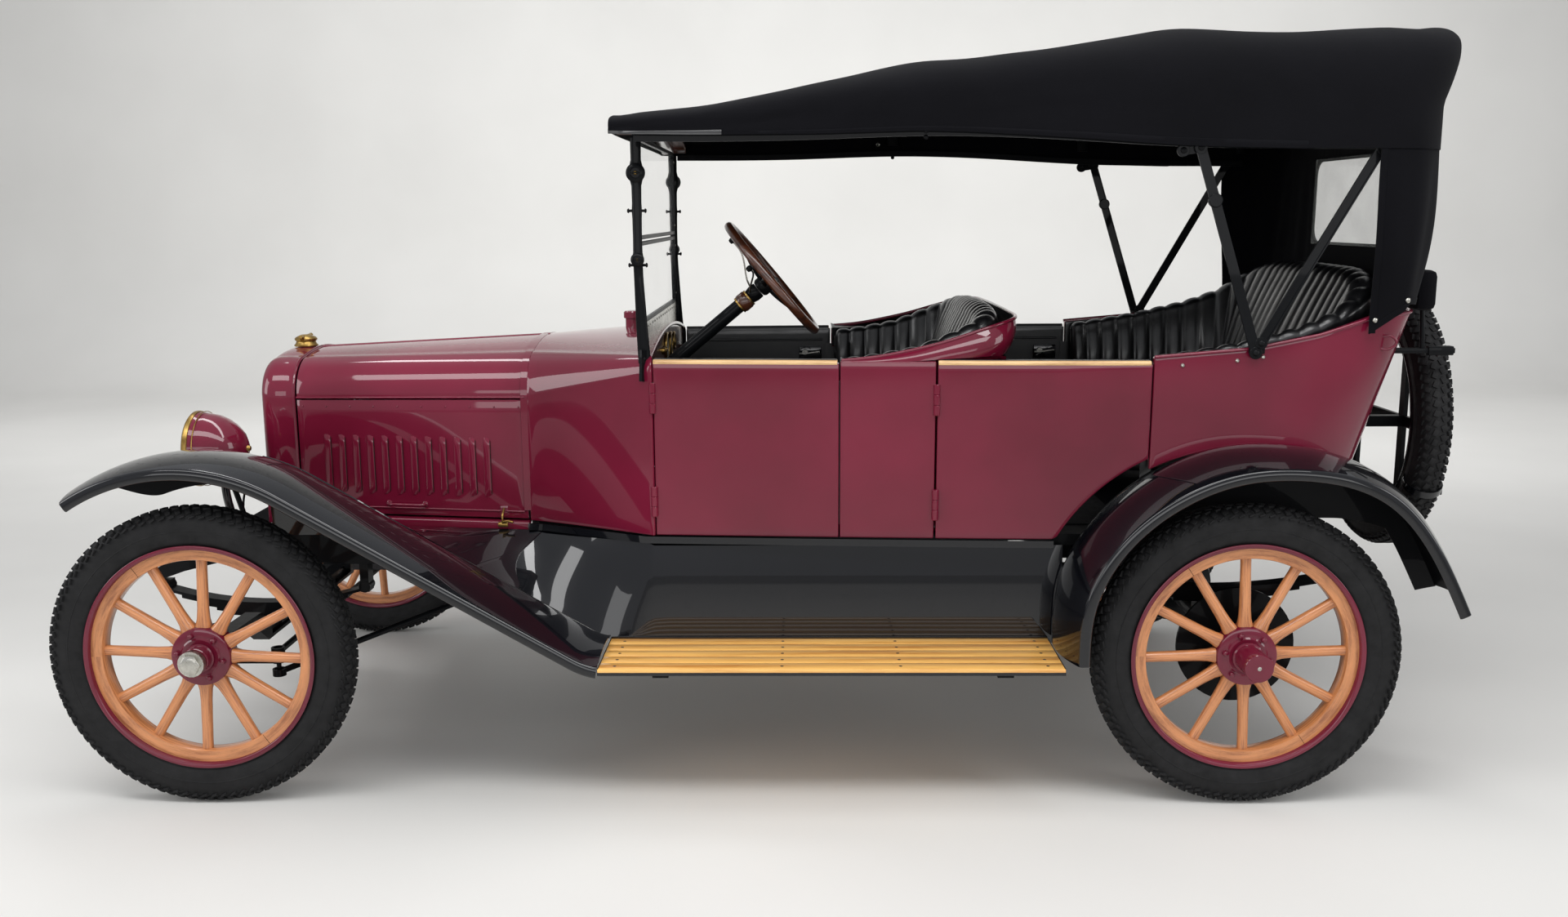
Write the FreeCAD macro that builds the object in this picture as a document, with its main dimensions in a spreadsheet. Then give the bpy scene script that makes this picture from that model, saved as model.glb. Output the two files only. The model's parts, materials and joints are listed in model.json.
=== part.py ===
import FreeCAD, Part
import math
import os

from FreeCAD import Placement, Rotation, Vector

# An open touring car of the 1920s. X points forward, Y to the car's left and Z up, in mm.
# Shapes are drawn about a point of the body; the rear axle keeps its place below the body,
# and the front axle, hood and front fenders follow the wheelbase. Each object's Placement
# then moves it so that the origin is on the ground below the middle of the whole car.

doc = FreeCAD.newDocument("TouringCar")

SIZES = {
    "wheelbase": 2591,
    "track": 1422,
    "tyre_diameter": 762,
    "tyre_section": 89,
    "felloe_radius": 275,
    "felloe_inner_radius": 248,
    "felloe_width": 44,
    "spoke_count": 12,
    "spoke_width": 30,
    "hub_flange_radius": 74,
    "hub_radius": 32,
    "front_hub_reach": 94,
    "rear_hub_reach": 119,
    "drum_radius": 150,
    "kingpin_y": 625,
    "kingpin_radius": 10,
    "steering_arm": 150,
    "steering_arm_z": 342,
    "rail_outer_y": 315,
    "rail_width": 43,
    "rail_top_z": 610,
    "rail_height": 100,
    "floor_thickness": 30,
    "wall": 28,
    "door_top_z": 1089,
    "door_gap": 5,
    "front_door_front_x": 183,
    "front_door_rear_x": -292,
    "rear_door_front_x": -541,
    "rear_door_rear_x": -1068,
    "dash_x": 540,
    "engine_clearance": 100,
    "engine_width": 300,
    "engine_height": 480,
    "engine_bottom_z": 450,
    "radiator_setback": 95.5,
    "radiator_depth": 85,
    "radiator_half_width": 247,
    "radiator_top_z": 1085,
    "hood_rear_half_width": 345,
    "hood_rear_top_z": 1119,
    "hood_hinge_front_z": 966,
    "hood_hinge_rear_z": 978,
    "hood_bottom_z": 645,
    "louvre_count": 12,
    "louvre_bottom_z": 728,
    "louvre_top_z": 884,
    "louvre_margin": 120,
    "sheet_metal": 4,
    "fender_inner_y": 553,
    "fender_outer_y": 800,
    "board_top_z": 375,
    "board_thickness": 20,
    "board_setback": 995.5,
    "board_rear_gap": 456,
    "board_width": 248,
    "lamp_radius": 100,
    "lamp_y": 350,
    "lamp_z": 842,
    "glass": 5,
    "windshield_x": 212,
    "windshield_half_width": 500,
    "windshield_top_z": 1655,
    "wheel_tilt": 50.3,
    "steering_wheel_radius": 181,
    "column_y": 248,
    "column_radius": 19,
    "canvas": 8,
    "top_half_width": 627,
    "spare_x": -1892,
    "spare_z": 880,
}

sheet = doc.addObject("Spreadsheet::Sheet", "Sizes")
for row, (name, size) in enumerate(SIZES.items(), start=1):
    sheet.set("A%d" % row, name)
    sheet.set("B%d" % row, str(size))
    sheet.setAlias("B%d" % row, name)
doc.recompute()


def size(name):
    return float(sheet.get(name))


REAR_AXLE_X = -1295.5
AXLE_X = REAR_AXLE_X + size("wheelbase")
WHEEL_Y = size("track") / 2
TYRE_R = size("tyre_diameter") / 2
SECTION_R = size("tyre_section") / 2
RAIL_Y = size("rail_outer_y")
RAIL_Z = size("rail_top_z")
BODY_Z = RAIL_Z + size("floor_thickness")
GAP = size("door_gap")
WALL = size("wall")
METAL = size("sheet_metal")
FENDER_IN = size("fender_inner_y")
FENDER_OUT = size("fender_outer_y")
FIT = 0.3
PIN_FIT = 0.3
ENGINE_REAR = size("dash_x") + 6
RIM_SEAT = size("felloe_radius") + 17
BEAD_HALF = 24
REAR_END = size("spare_x") - SECTION_R
FRONT_END = AXLE_X + TYRE_R
SHIFT = Placement(Vector(-(FRONT_END + REAR_END) / 2, 0, 0), Rotation())
Y_AXIS = Vector(0, 1, 0)
X_AXIS = Vector(1, 0, 0)
Z_AXIS = Vector(0, 0, 1)
ORIGIN = Vector(0, 0, 0)
nodes = []


def node(label, shape):
    """Adds one sub-part, with its place in the car's frame."""
    item = doc.addObject("Part::Feature", label)
    item.Shape = shape
    item.Label = label
    item.Placement = SHIFT.multiply(item.Placement)
    nodes.append(item)
    return item


def place_of(centre, axis):
    """The place of a turned piece: its own Z runs along the axis, through the centre."""
    return SHIFT.multiply(Placement(centre, Rotation(Z_AXIS, axis)))


def new_body(label, place=SHIFT, listed=True):
    """A PartDesign body; a listed one is a sub-part of its own."""
    item = doc.addObject("PartDesign::Body", label)
    item.Label = label
    item.AllowCompound = True
    item.Placement = place
    if listed:
        nodes.append(item)
    return item


def sketch(body, role, geometry, lift=0):
    """A sketch on one of the body's own origin planes, or lifted off it."""
    drawing = body.newObject("Sketcher::SketchObject", body.Name + "Sketch")
    plane = next(f for f in body.Origin.OriginFeatures if f.Role == role)
    drawing.AttachmentSupport = [(plane, "")]
    drawing.MapMode = "FlatFace"
    drawing.AttachmentOffset = Placement(Vector(0, 0, lift), Rotation())
    for piece in geometry:
        drawing.addGeometry(piece, False)
    return drawing


def outline(points):
    corners = [Vector(a, b, 0) for a, b in points]
    return [Part.LineSegment(p, q) for p, q in zip(corners, corners[1:] + corners[:1])]


def revolve(body, geometry):
    """Turns an outline of (radius, place along the axis) about the body's own Z."""
    drawing = sketch(body, "XZ_Plane", geometry)
    turned = body.newObject("PartDesign::Revolution", body.Name + "Turned")
    turned.Profile = drawing
    turned.ReferenceAxis = (drawing, ["V_Axis"])
    turned.Angle = 360
    body.Tip = turned
    return turned


def round_pattern(body, feature, count):
    """Repeats a feature about the body's own Z."""
    axis = next(f for f in body.Origin.OriginFeatures if f.Role == "Z_Axis")
    pattern = body.newObject("PartDesign::PolarPattern", body.Name + "Pattern")
    pattern.Originals = [feature]
    pattern.Axis = (axis, [""])
    pattern.Angle = 360
    pattern.Occurrences = count
    body.Tip = pattern
    return pattern


def pair(label, half):
    """One sub-part made of a left piece and its mirror image."""
    other = doc.addObject("Part::Mirroring", label + "Right")
    other.Source = half
    other.Base = (0, 0, 0)
    other.Normal = (0, 1, 0)
    both_sides = doc.addObject("Part::Compound", label)
    both_sides.Label = label
    both_sides.Links = [half, other]
    nodes.append(both_sides)
    return both_sides


def bound_box(label, corner, lengths, listed=True):
    """A Part::Box whose lengths are expressions on the sheet's cells."""
    item = doc.addObject("Part::Box", label)
    item.Label = label
    for name, formula in zip(("Length", "Width", "Height"), lengths):
        item.setExpression(name, formula)
    item.Placement = SHIFT.multiply(Placement(Vector(*corner), Rotation()))
    if listed:
        nodes.append(item)
    return item


def mirrored(shape):
    return shape.mirror(ORIGIN, Y_AXIS)


def both(shape):
    """The same piece on the left and the right, as two solids."""
    return Part.makeCompound([shape, mirrored(shape)])


def box(x0, x1, y0, y1, z0, z1):
    return Part.makeBox(x1 - x0, y1 - y0, z1 - z0, Vector(x0, y0, z0))


def rod(start, end, radius):
    return Part.makeCylinder(radius, (end - start).Length, start, end - start)


def fused(shapes):
    whole = shapes[0].multiFuse(shapes[1:])
    return whole.removeSplitter()


def side_prism(points, y0, y1):
    """A flat outline in side view, extruded across the car."""
    corners = [Vector(x, y0, z) for x, z in points]
    face = Part.Face(Part.makePolygon(corners + corners[:1]))
    return face.extrude(Vector(0, y1 - y0, 0))


def front_prism(points, x0, x1):
    """A flat outline in front view, extruded along the car."""
    corners = [Vector(x0, y, z) for y, z in points]
    face = Part.Face(Part.makePolygon(corners + corners[:1]))
    return face.extrude(Vector(x1 - x0, 0, 0))


def spline(points):
    curve = Part.BSplineCurve()
    curve.interpolate(points)
    return curve.toShape()


def revolved(points, centre, axis):
    """A closed outline of (distance along the axis, radius), turned about the axis."""
    side = Z_AXIS if abs(axis.z) < 0.9 else X_AXIS
    corners = [centre + axis * along + side * radius for along, radius in points]
    face = Part.Face(Part.makePolygon(corners + corners[:1]))
    return face.revolve(centre, axis, 360)


# Wheels and tyres

def add_tyre(label, centre, axis):
    """Casing with round sides, narrowing to the beads that sit on the rim."""
    bead = RIM_SEAT + FIT
    side = SECTION_R * 0.78
    shoulder = [Vector(bead + 13, -side, 0), Vector(TYRE_R, 0, 0), Vector(bead + 13, side, 0)]
    corners = [shoulder[2], Vector(bead, BEAD_HALF, 0), Vector(bead, -BEAD_HALF, 0), shoulder[0]]
    lines = [Part.LineSegment(p, q) for p, q in zip(corners, corners[1:])]
    revolve(new_body(label, place_of(centre, axis)), [Part.Arc(*shoulder)] + lines)


def rim_outline():
    """Clincher rim: a flat seat between two hooked edges."""
    inner = size("felloe_radius")
    edge = BEAD_HALF + 12
    hook = RIM_SEAT + 5
    return outline([(inner, -edge), (inner, edge), (hook, edge), (hook, edge - 4),
                    (RIM_SEAT, edge - 4), (RIM_SEAT, 4 - edge), (hook, 4 - edge), (hook, -edge)])


def add_wheel(label, side, x, reach, drum):
    """Steel rim, wood felloe and spokes, and a hub with its flanges and cap."""
    body = new_body(label, place_of(Vector(x, side * WHEEL_Y, TYRE_R), Vector(0, side, 0)))
    half = size("felloe_width") / 2
    flange = size("hub_flange_radius")
    hub_r = size("hub_radius")
    inner = size("felloe_inner_radius")
    bore = 14
    revolve(body, rim_outline())
    revolve(body, outline([(inner, -half), (inner, half), (size("felloe_radius") + 1, half),
                           (size("felloe_radius") + 1, -half)]))
    revolve(body, outline([(bore, -38), (hub_r + 6, -38), (hub_r + 6, -24), (flange, -24), (flange, 22),
                           (flange - 4, 26), (hub_r + 4, 26), (hub_r, 34), (hub_r, reach - 30),
                           (hub_r + 3, reach - 28), (hub_r + 3, reach - 3), (hub_r, reach), (0, reach),
                           (0, reach - 12), (bore, reach - 12)]))
    if drum:
        r = size("drum_radius")
        revolve(body, outline([(r - 8, -66), (r, -66), (r, -30), (r - 12, -24), (hub_r, -24),
                               (hub_r, -32), (r - 14, -32), (r - 8, -40)]))
    thick = size("spoke_width") / 2
    rings = []
    for radius, wide in ((flange - 8, thick * 1.1), (flange + 45, thick * 0.86), (inner + 4, thick * 0.92)):
        ring = [Part.Ellipse(Vector(0, 0, 0), thick, wide)] if wide < thick else \
            [Part.Circle(Vector(0, 0, 0), Z_AXIS, wide)]
        rings.append(sketch(body, "XZ_Plane", ring, radius))
    spoke = body.newObject("PartDesign::AdditiveLoft", label + "Spoke")
    spoke.Profile = rings[0]
    spoke.Sections = rings[1:]
    spoke.Ruled = True
    round_pattern(body, spoke, int(size("spoke_count")))


for side, hand in ((1, "left"), (-1, "right")):
    for x, end, reach in ((AXLE_X, "front", size("front_hub_reach")),
                          (REAR_AXLE_X, "rear", size("rear_hub_reach"))):
        add_tyre("tyre_%s_%s" % (end, hand), Vector(x, side * WHEEL_Y, TYRE_R), Y_AXIS)
        add_wheel("wheel_%s_%s" % (end, hand), side, x, reach, end == "rear")


# Frame, axles and springs

RAIL_IN = RAIL_Y - size("rail_width")
RAIL_BOTTOM = RAIL_Z - size("rail_height")
HORN_X = AXLE_X + 280
HORN_Z = 480
RAIL_END = -1640
BOARD_Z = size("board_top_z")
BOARD_UNDER = BOARD_Z - size("board_thickness")


def rail():
    outline = [(RAIL_END, RAIL_BOTTOM + 20), (AXLE_X - 250, RAIL_BOTTOM), (AXLE_X + 60, RAIL_BOTTOM + 20),
               (HORN_X - 60, HORN_Z + 10), (HORN_X + 18, HORN_Z - 18), (HORN_X + 18, HORN_Z + 18),
               (HORN_X - 70, HORN_Z + 66), (AXLE_X + 90, RAIL_Z - 18), (AXLE_X - 60, RAIL_Z),
               (RAIL_END, RAIL_Z)]
    solid = side_prism(outline, RAIL_IN, RAIL_Y)
    hollow = box(RAIL_END - 5, AXLE_X - 250, RAIL_IN - 1, RAIL_Y - 6, RAIL_BOTTOM + 26, RAIL_Z - 6)
    return solid.cut(hollow)


def cross_member(x, depth):
    return box(x - 30, x + 30, -RAIL_IN - 8, RAIL_IN + 8, RAIL_Z - depth, RAIL_Z - FIT)


def board_bracket(x):
    """Carries the running board from the rail."""
    drop = box(x - 20, x + 20, RAIL_Y - 8, RAIL_Y, BOARD_UNDER - 20, RAIL_BOTTOM + 30)
    arm = box(x - 20, x + 20, RAIL_Y - 8, FENDER_OUT - 40, BOARD_UNDER - 20, BOARD_UNDER)
    return drop.fuse(arm)


frame_pieces = [rail(), mirrored(rail())]
for x, depth in ((AXLE_X - 70, 70), (430, 50), (-250, 60), (-950, 60), (RAIL_END + 30, 70)):
    frame_pieces.append(cross_member(x, depth))
for x in (150, -700):
    frame_pieces.append(board_bracket(x))
    frame_pieces.append(mirrored(board_bracket(x)))
node("chassis_frame", fused(frame_pieces))

KINGPIN = size("kingpin_y")
AXLE_TOP = 352
EYE_HALF = 30
EYE_R = 24


def front_axle():
    ends = KINGPIN - 12
    beam = [(-ends, TYRE_R - 20), (-430, TYRE_R - 26), (-360, AXLE_TOP - 45), (360, AXLE_TOP - 45),
            (430, TYRE_R - 26), (ends, TYRE_R - 20), (ends, TYRE_R + 20), (400, TYRE_R + 16),
            (345, AXLE_TOP), (-345, AXLE_TOP), (-400, TYRE_R + 16), (-ends, TYRE_R + 20)]
    web = [(-335, AXLE_TOP - 36), (335, AXLE_TOP - 36), (335, AXLE_TOP - 9), (-335, AXLE_TOP - 9)]
    solid = front_prism(beam, AXLE_X - 22, AXLE_X + 22)
    for x in (AXLE_X - 30, AXLE_X + 7):
        solid = solid.cut(front_prism(web, x, x + 23))
    pieces = [solid]
    for side in (1, -1):
        eye = Vector(AXLE_X, side * KINGPIN, TYRE_R - EYE_HALF)
        pieces.append(Part.makeCylinder(EYE_R, 2 * EYE_HALF, eye))
        seat_y = side * (RAIL_Y - size("rail_width") / 2)
        pieces.append(box(AXLE_X - 45, AXLE_X + 45, seat_y - 28, seat_y + 28, AXLE_TOP - 8, AXLE_TOP + 8))
    beam = fused(pieces)
    for side in (1, -1):
        hole = Part.makeCylinder(size("kingpin_radius") + PIN_FIT, 200,
                                 Vector(AXLE_X, side * KINGPIN, TYRE_R - 100))
        beam = beam.cut(hole)
    return beam


node("front_axle", front_axle())


def knuckle(side):
    """Yoke round the axle's eye, with kingpin, spindle and steering arm."""
    k = side * KINGPIN
    top = TYRE_R + EYE_HALF + 2
    low = TYRE_R - EYE_HALF - 2
    out = k + side * (EYE_R + 3)
    y0, y1 = sorted((out, out + side * 14))
    pieces = [Part.makeCylinder(EYE_R - 2, 18, Vector(AXLE_X, k, top)),
              Part.makeCylinder(EYE_R - 2, 18, Vector(AXLE_X, k, low - 18)),
              Part.makeCylinder(size("kingpin_radius"), top - low + 30, Vector(AXLE_X, k, low - 15)),
              box(AXLE_X - 20, AXLE_X + 20, y0, y1, low - 18, top + 18)]
    for z in (top, low - 18):
        a, b = sorted((k, out + side * 4))
        pieces.append(box(AXLE_X - 20, AXLE_X + 20, a, b, z, z + 18))
    spindle_end = side * (WHEEL_Y + size("front_hub_reach") - 20)
    pieces.append(rod(Vector(AXLE_X, out, TYRE_R), Vector(AXLE_X, spindle_end, TYRE_R), 14 - PIN_FIT))
    arm_z = size("steering_arm_z")
    arm_x = AXLE_X - size("steering_arm")
    pieces.append(box(arm_x, AXLE_X - 8, k - 12, k + 12, low - 18, low - 4))
    pieces.append(Part.makeCylinder(16, 14, Vector(arm_x, k, low - 18)))
    pieces.append(Part.makeSphere(11, Vector(arm_x, k, TIE_Z)))
    pieces.append(Part.makeCylinder(6, TIE_Z - low + 10, Vector(arm_x, k, low - 10)))
    if side > 0:
        pieces.append(Part.makeSphere(11, Vector(arm_x, k, DRAG_Z)))
        pieces.append(Part.makeCylinder(6, low - 10 - DRAG_Z, Vector(arm_x, k, DRAG_Z)))
    return fused(pieces)


TIE_Z = TYRE_R - EYE_HALF - 2 + 8
DRAG_Z = TYRE_R - EYE_HALF - 2 - 44
ARM_X = AXLE_X - size("steering_arm")
node("knuckle_left", knuckle(1))
node("knuckle_right", knuckle(-1))


def socket(centre, radius):
    """The cup of a ball joint, open round the ball."""
    cup = Part.makeSphere(radius + 6, centre)
    return cup.cut(Part.makeSphere(radius + PIN_FIT, centre))


def tie_rod():
    ends = [Vector(ARM_X, s * KINGPIN, TIE_Z) for s in (1, -1)]
    bar = rod(ends[1], ends[0], 8)
    for end in ends:
        bar = bar.fuse(Part.makeCylinder(17, 20, end - Vector(0, 0, 6)))
    for end in ends:
        bar = bar.cut(Part.makeCylinder(12, 60, end - Vector(0, 0, 30)))
    return bar


node("tie_rod", tie_rod())

BOX_X = 745
PITMAN_X = BOX_X - size("steering_arm")
PITMAN_Z = 452


def drag_link():
    ends = [Vector(PITMAN_X, size("column_y"), PITMAN_Z), Vector(ARM_X, KINGPIN, DRAG_Z)]
    bar = rod(ends[0], ends[1], 8)
    for end in ends:
        bar = bar.fuse(Part.makeCylinder(17, 18, end - Vector(0, 0, 9)))
    for end in ends:
        bar = bar.cut(Part.makeCylinder(12, 60, end - Vector(0, 0, 30)))
    return bar


node("drag_link", drag_link())

BOX_BOTTOM = 500
COLUMN_Y = size("column_y")


def pitman_arm():
    ball = Vector(PITMAN_X, COLUMN_Y, PITMAN_Z)
    arm_z = PITMAN_Z + 16
    pieces = [box(PITMAN_X, BOX_X, COLUMN_Y - 12, COLUMN_Y + 12, arm_z, arm_z + 14),
              Part.makeCylinder(18, 14, Vector(BOX_X, COLUMN_Y, arm_z)),
              Part.makeCylinder(14, 14, Vector(PITMAN_X, COLUMN_Y, arm_z)),
              Part.makeCylinder(6, 20, ball),
              Part.makeSphere(11, ball),
              Part.makeCylinder(12, BOX_BOTTOM - arm_z + 20, Vector(BOX_X, COLUMN_Y, arm_z))]
    return fused(pieces)


node("pitman_arm", pitman_arm())

# The steering column runs down and forward from the wheel to the gear box on the rail.
TILT = math.radians(size("wheel_tilt"))
COLUMN_AXIS = Vector(-math.sin(TILT), 0, math.cos(TILT))
WHEEL_CENTRE = Vector(-121, COLUMN_Y, 1289)
COLUMN_LOW = WHEEL_CENTRE - COLUMN_AXIS * ((BOX_X + 121) / math.sin(TILT))


def steering_column():
    top = WHEEL_CENTRE - COLUMN_AXIS * 40
    gear_box = box(BOX_X - 45, BOX_X + 45, COLUMN_Y - 35, RAIL_IN, BOX_BOTTOM, 600)
    pieces = [rod(COLUMN_LOW, top, size("column_radius")), gear_box]
    whole = fused(pieces)
    bore = Part.makeCylinder(12 + PIN_FIT, 40, Vector(BOX_X, COLUMN_Y, BOX_BOTTOM - 1))
    whole = whole.cut(bore)
    shaft_hole = rod(top + COLUMN_AXIS * 5, top - COLUMN_AXIS * 45, 10 + PIN_FIT)
    return whole.cut(shaft_hole)


node("steering_column", steering_column())


def add_steering_wheel():
    """Wood rim on four bent spokes, with a hub and the shaft that turns in the column."""
    radius = size("steering_wheel_radius")
    body = new_body("steering_wheel", place_of(WHEEL_CENTRE, COLUMN_AXIS))
    revolve(body, [Part.Circle(Vector(radius, 0, 0), Z_AXIS, 11)])
    revolve(body, outline([(0, -80), (10, -80), (10, -38), (24, -38), (26, -14), (24, 4), (12, 8), (0, 8)]))
    rings = []
    for out, wide in ((14, 8), (radius - 4, 6)):
        rings.append(sketch(body, "XZ_Plane", [Part.Circle(Vector(0, -12 + 12 * out / radius, 0), Z_AXIS, wide)],
                            out))
    spoke = body.newObject("PartDesign::AdditiveLoft", "RimSpoke")
    spoke.Profile = rings[0]
    spoke.Sections = rings[1:]
    round_pattern(body, spoke, 4)


add_steering_wheel()


def rear_axle():
    centre = Vector(REAR_AXLE_X, 0, TYRE_R)
    tube_end = WHEEL_Y - 75
    bulge = [(-110, 0), (-105, 60), (-60, 110), (0, 125), (60, 110), (105, 60), (110, 0)]
    pieces = [revolved(bulge, centre, Y_AXIS),
              rod(Vector(REAR_AXLE_X, -tube_end, TYRE_R), Vector(REAR_AXLE_X, tube_end, TYRE_R), 34),
              rod(Vector(REAR_AXLE_X + 60, 0, TYRE_R), Vector(ENGINE_REAR - 4, 0, 492), 34)]
    for side in (1, -1):
        plate = Vector(REAR_AXLE_X, side * (WHEEL_Y - 80), TYRE_R)
        pieces.append(rod(plate, plate + Vector(0, side * 8, 0), size("drum_radius") - 2))
        stub = Vector(REAR_AXLE_X, side * (WHEEL_Y + size("rear_hub_reach") - 20), TYRE_R)
        pieces.append(rod(plate, stub, 14 - PIN_FIT))
        seat = side * REAR_SPRING_Y
        pieces.append(box(REAR_AXLE_X - 45, REAR_AXLE_X + 45, seat - 28, seat + 28, TYRE_R + 20, REAR_SEAT_Z))
    return fused(pieces)


REAR_SPRING_Y = 430
REAR_SEAT_Z = 440
node("rear_axle", rear_axle())


def leaf_pack(x, y, seat_z, end_z, half_length, count):
    """A semi-elliptic spring, its main leaf on top and each leaf below it shorter."""
    leaf = 8
    rise = end_z - (seat_z + leaf * count)
    radius = (half_length ** 2 + rise ** 2) / (2 * rise)
    centre_z = seat_z + leaf * count + radius
    pieces = []
    for index in range(count):
        r0 = radius + leaf * index
        ring = Part.makeCylinder(r0 + leaf, 45, Vector(x, y - 22.5, centre_z), Y_AXIS)
        ring = ring.cut(Part.makeCylinder(r0, 45, Vector(x, y - 22.5, centre_z), Y_AXIS))
        half = half_length * (1 - 0.17 * index)
        pieces.append(ring.common(box(x - half, x + half, y - 30, y + 30, seat_z - 40, end_z + 40)))
    pieces[0] = pieces[0].fuse([Part.makeCylinder(16, 45, Vector(x + s * half_length, y - 22.5, end_z), Y_AXIS)
                                for s in (1, -1)])
    return fused(pieces)


def leaf_springs():
    spring_y = RAIL_Y - size("rail_width") / 2
    front = leaf_pack(AXLE_X, spring_y, AXLE_TOP + 8, HORN_Z - 36, 280, 5)
    rear = leaf_pack(REAR_AXLE_X, REAR_SPRING_Y, REAR_SEAT_Z, 520, 340, 5)
    hangers = [box(AXLE_X - 292, AXLE_X - 268, spring_y - 22, spring_y + 21, HORN_Z - 50, RAIL_BOTTOM)]
    for x in (REAR_AXLE_X - 340, REAR_AXLE_X + 340):
        hangers.append(box(x - 18, x + 18, RAIL_Y, REAR_SPRING_Y + 22, 515, 560))
    horn = box(AXLE_X + 268, AXLE_X + 292, spring_y - 22, spring_y + 21, HORN_Z - 50, HORN_Z - 19)
    front = fused([front, hangers[0], horn])
    rear = fused([rear] + hangers[1:])
    return Part.makeCompound([front, rear, mirrored(front), mirrored(rear)])


node("leaf_springs", leaf_springs())
bound_box("engine", (ENGINE_REAR, -size("engine_width") / 2, size("engine_bottom_z")),
          ("Sizes.wheelbase + %s - Sizes.radiator_setback - Sizes.engine_clearance" % (REAR_AXLE_X - ENGINE_REAR),
           "Sizes.engine_width", "Sizes.engine_height"))


def exhaust():
    y = -190
    pieces = [rod(Vector(620, y, 470), Vector(-300, y, 470), 22),
              rod(Vector(-300, y, 470), Vector(-760, y, 470), 65),
              rod(Vector(-760, y, 470), Vector(-1120, y, 470), 18),
              rod(Vector(598, y, 470), Vector(598, -150 - FIT, 470), 22)]
    for x in (-250, -950):
        pieces.append(box(x - 12, x + 12, y - 5, y + 5, 470, RAIL_Z - 60 - FIT))
    return fused(pieces)


node("exhaust", exhaust())

# Radiator, lamps and hood

SHELL_REAR = AXLE_X - size("radiator_setback")
SHELL_FRONT = SHELL_REAR + size("radiator_depth")
SHELL_TOP = size("radiator_top_z")
SHELL_HALF = size("radiator_half_width")


def arch(half, bottom, top, corner):
    """A radiator outline in front view: straight sides, round shoulders, slightly crowned top."""
    rise = 14
    low = top - rise - corner
    turn = (half - corner * 0.293, top - rise - corner * 0.293)

    def at(y, z):
        return Vector(y, z, 0)

    return [Part.LineSegment(at(half, bottom), at(half, low)),
            Part.Arc(at(half, low), at(*turn), at(half - corner, top - rise)),
            Part.Arc(at(half - corner, top - rise), at(0, top), at(corner - half, top - rise)),
            Part.Arc(at(corner - half, top - rise), at(-turn[0], turn[1]), at(-half, low)),
            Part.LineSegment(at(-half, low), at(-half, bottom)),
            Part.LineSegment(at(-half, bottom), at(half, bottom))]


def upright(x):
    """A place whose own X runs across the car, Y up and Z forward."""
    return SHIFT.multiply(Placement(Vector(x, 0, 0), Rotation(Vector(1, 1, 1), 120)))


def padded_outline(body, geometry, length, lift=0):
    drawing = sketch(body, "XY_Plane", geometry, lift)
    pad = body.newObject("PartDesign::Pad", body.Name + "Pad")
    pad.Profile = drawing
    pad.Length = length
    body.Tip = pad
    return pad


def pocketed(body, geometry, depth, lift):
    """Cuts backwards from a sketch that is lifted off the body's XY plane."""
    drawing = sketch(body, "XY_Plane", geometry, lift)
    pocket = body.newObject("PartDesign::Pocket", body.Name + "Pocket")
    pocket.Profile = drawing
    pocket.Length = depth
    body.Tip = pocket
    return pocket


SHELL_DEPTH = SHELL_FRONT - SHELL_REAR
SHELL_LIP = 12
SHELL_SHEET = 6


def add_radiator_shell():
    body = new_body("radiator_shell", upright(SHELL_REAR))
    shell = padded_outline(body, arch(SHELL_HALF, RAIL_Z, SHELL_TOP, 105), SHELL_DEPTH)
    shell.setExpression("Length", "Sizes.radiator_depth")
    pocketed(body, arch(SHELL_HALF - SHELL_SHEET, RAIL_Z - 5, SHELL_TOP - SHELL_SHEET, 99),
             SHELL_DEPTH - SHELL_LIP, SHELL_DEPTH - SHELL_LIP)
    pocketed(body, arch(SHELL_HALF - 38, RAIL_Z + 60, SHELL_TOP - 70, 90), SHELL_DEPTH, SHELL_DEPTH)


def add_radiator_core():
    """The core fills the shell, with upright rows of tubes standing out of its front."""
    inset = SHELL_SHEET + FIT
    depth = SHELL_DEPTH - SHELL_LIP - FIT
    body = new_body("radiator_core", upright(SHELL_REAR + 8))
    padded_outline(body, arch(SHELL_HALF - inset, RAIL_Z, SHELL_TOP - inset, 99), depth - 8)
    pitch = 20
    rows = int(2 * (SHELL_HALF - 48) / pitch)
    slots = []
    for row in range(rows):
        left = -rows * pitch / 2 + pitch * (row + 0.5) - 5
        slots += outline([(left, RAIL_Z + 70), (left + 10, RAIL_Z + 70), (left + 10, SHELL_TOP - 165),
                          (left, SHELL_TOP - 165)])
    pocketed(body, slots, 6, depth - 8)


add_radiator_shell()
add_radiator_core()
CAP_X = SHELL_REAR + 48


def add_radiator_cap():
    """Filler neck, a stepped cap and a pair of wings to turn it by."""
    body = new_body("radiator_cap", place_of(Vector(CAP_X, 0, SHELL_TOP), Z_AXIS))
    revolve(body, outline([(0, 0), (30, 0), (30, 16), (24, 20), (22, 34), (12, 40), (0, 42)]))
    wings = padded_outline(body, outline([(-42, -7), (42, -7), (42, 7), (-42, 7)]), 12, 6)
    body.Tip = wings


add_radiator_cap()

LAMP_X = AXLE_X + 170
LAMP = Vector(LAMP_X, size("lamp_y"), size("lamp_z"))


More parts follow.
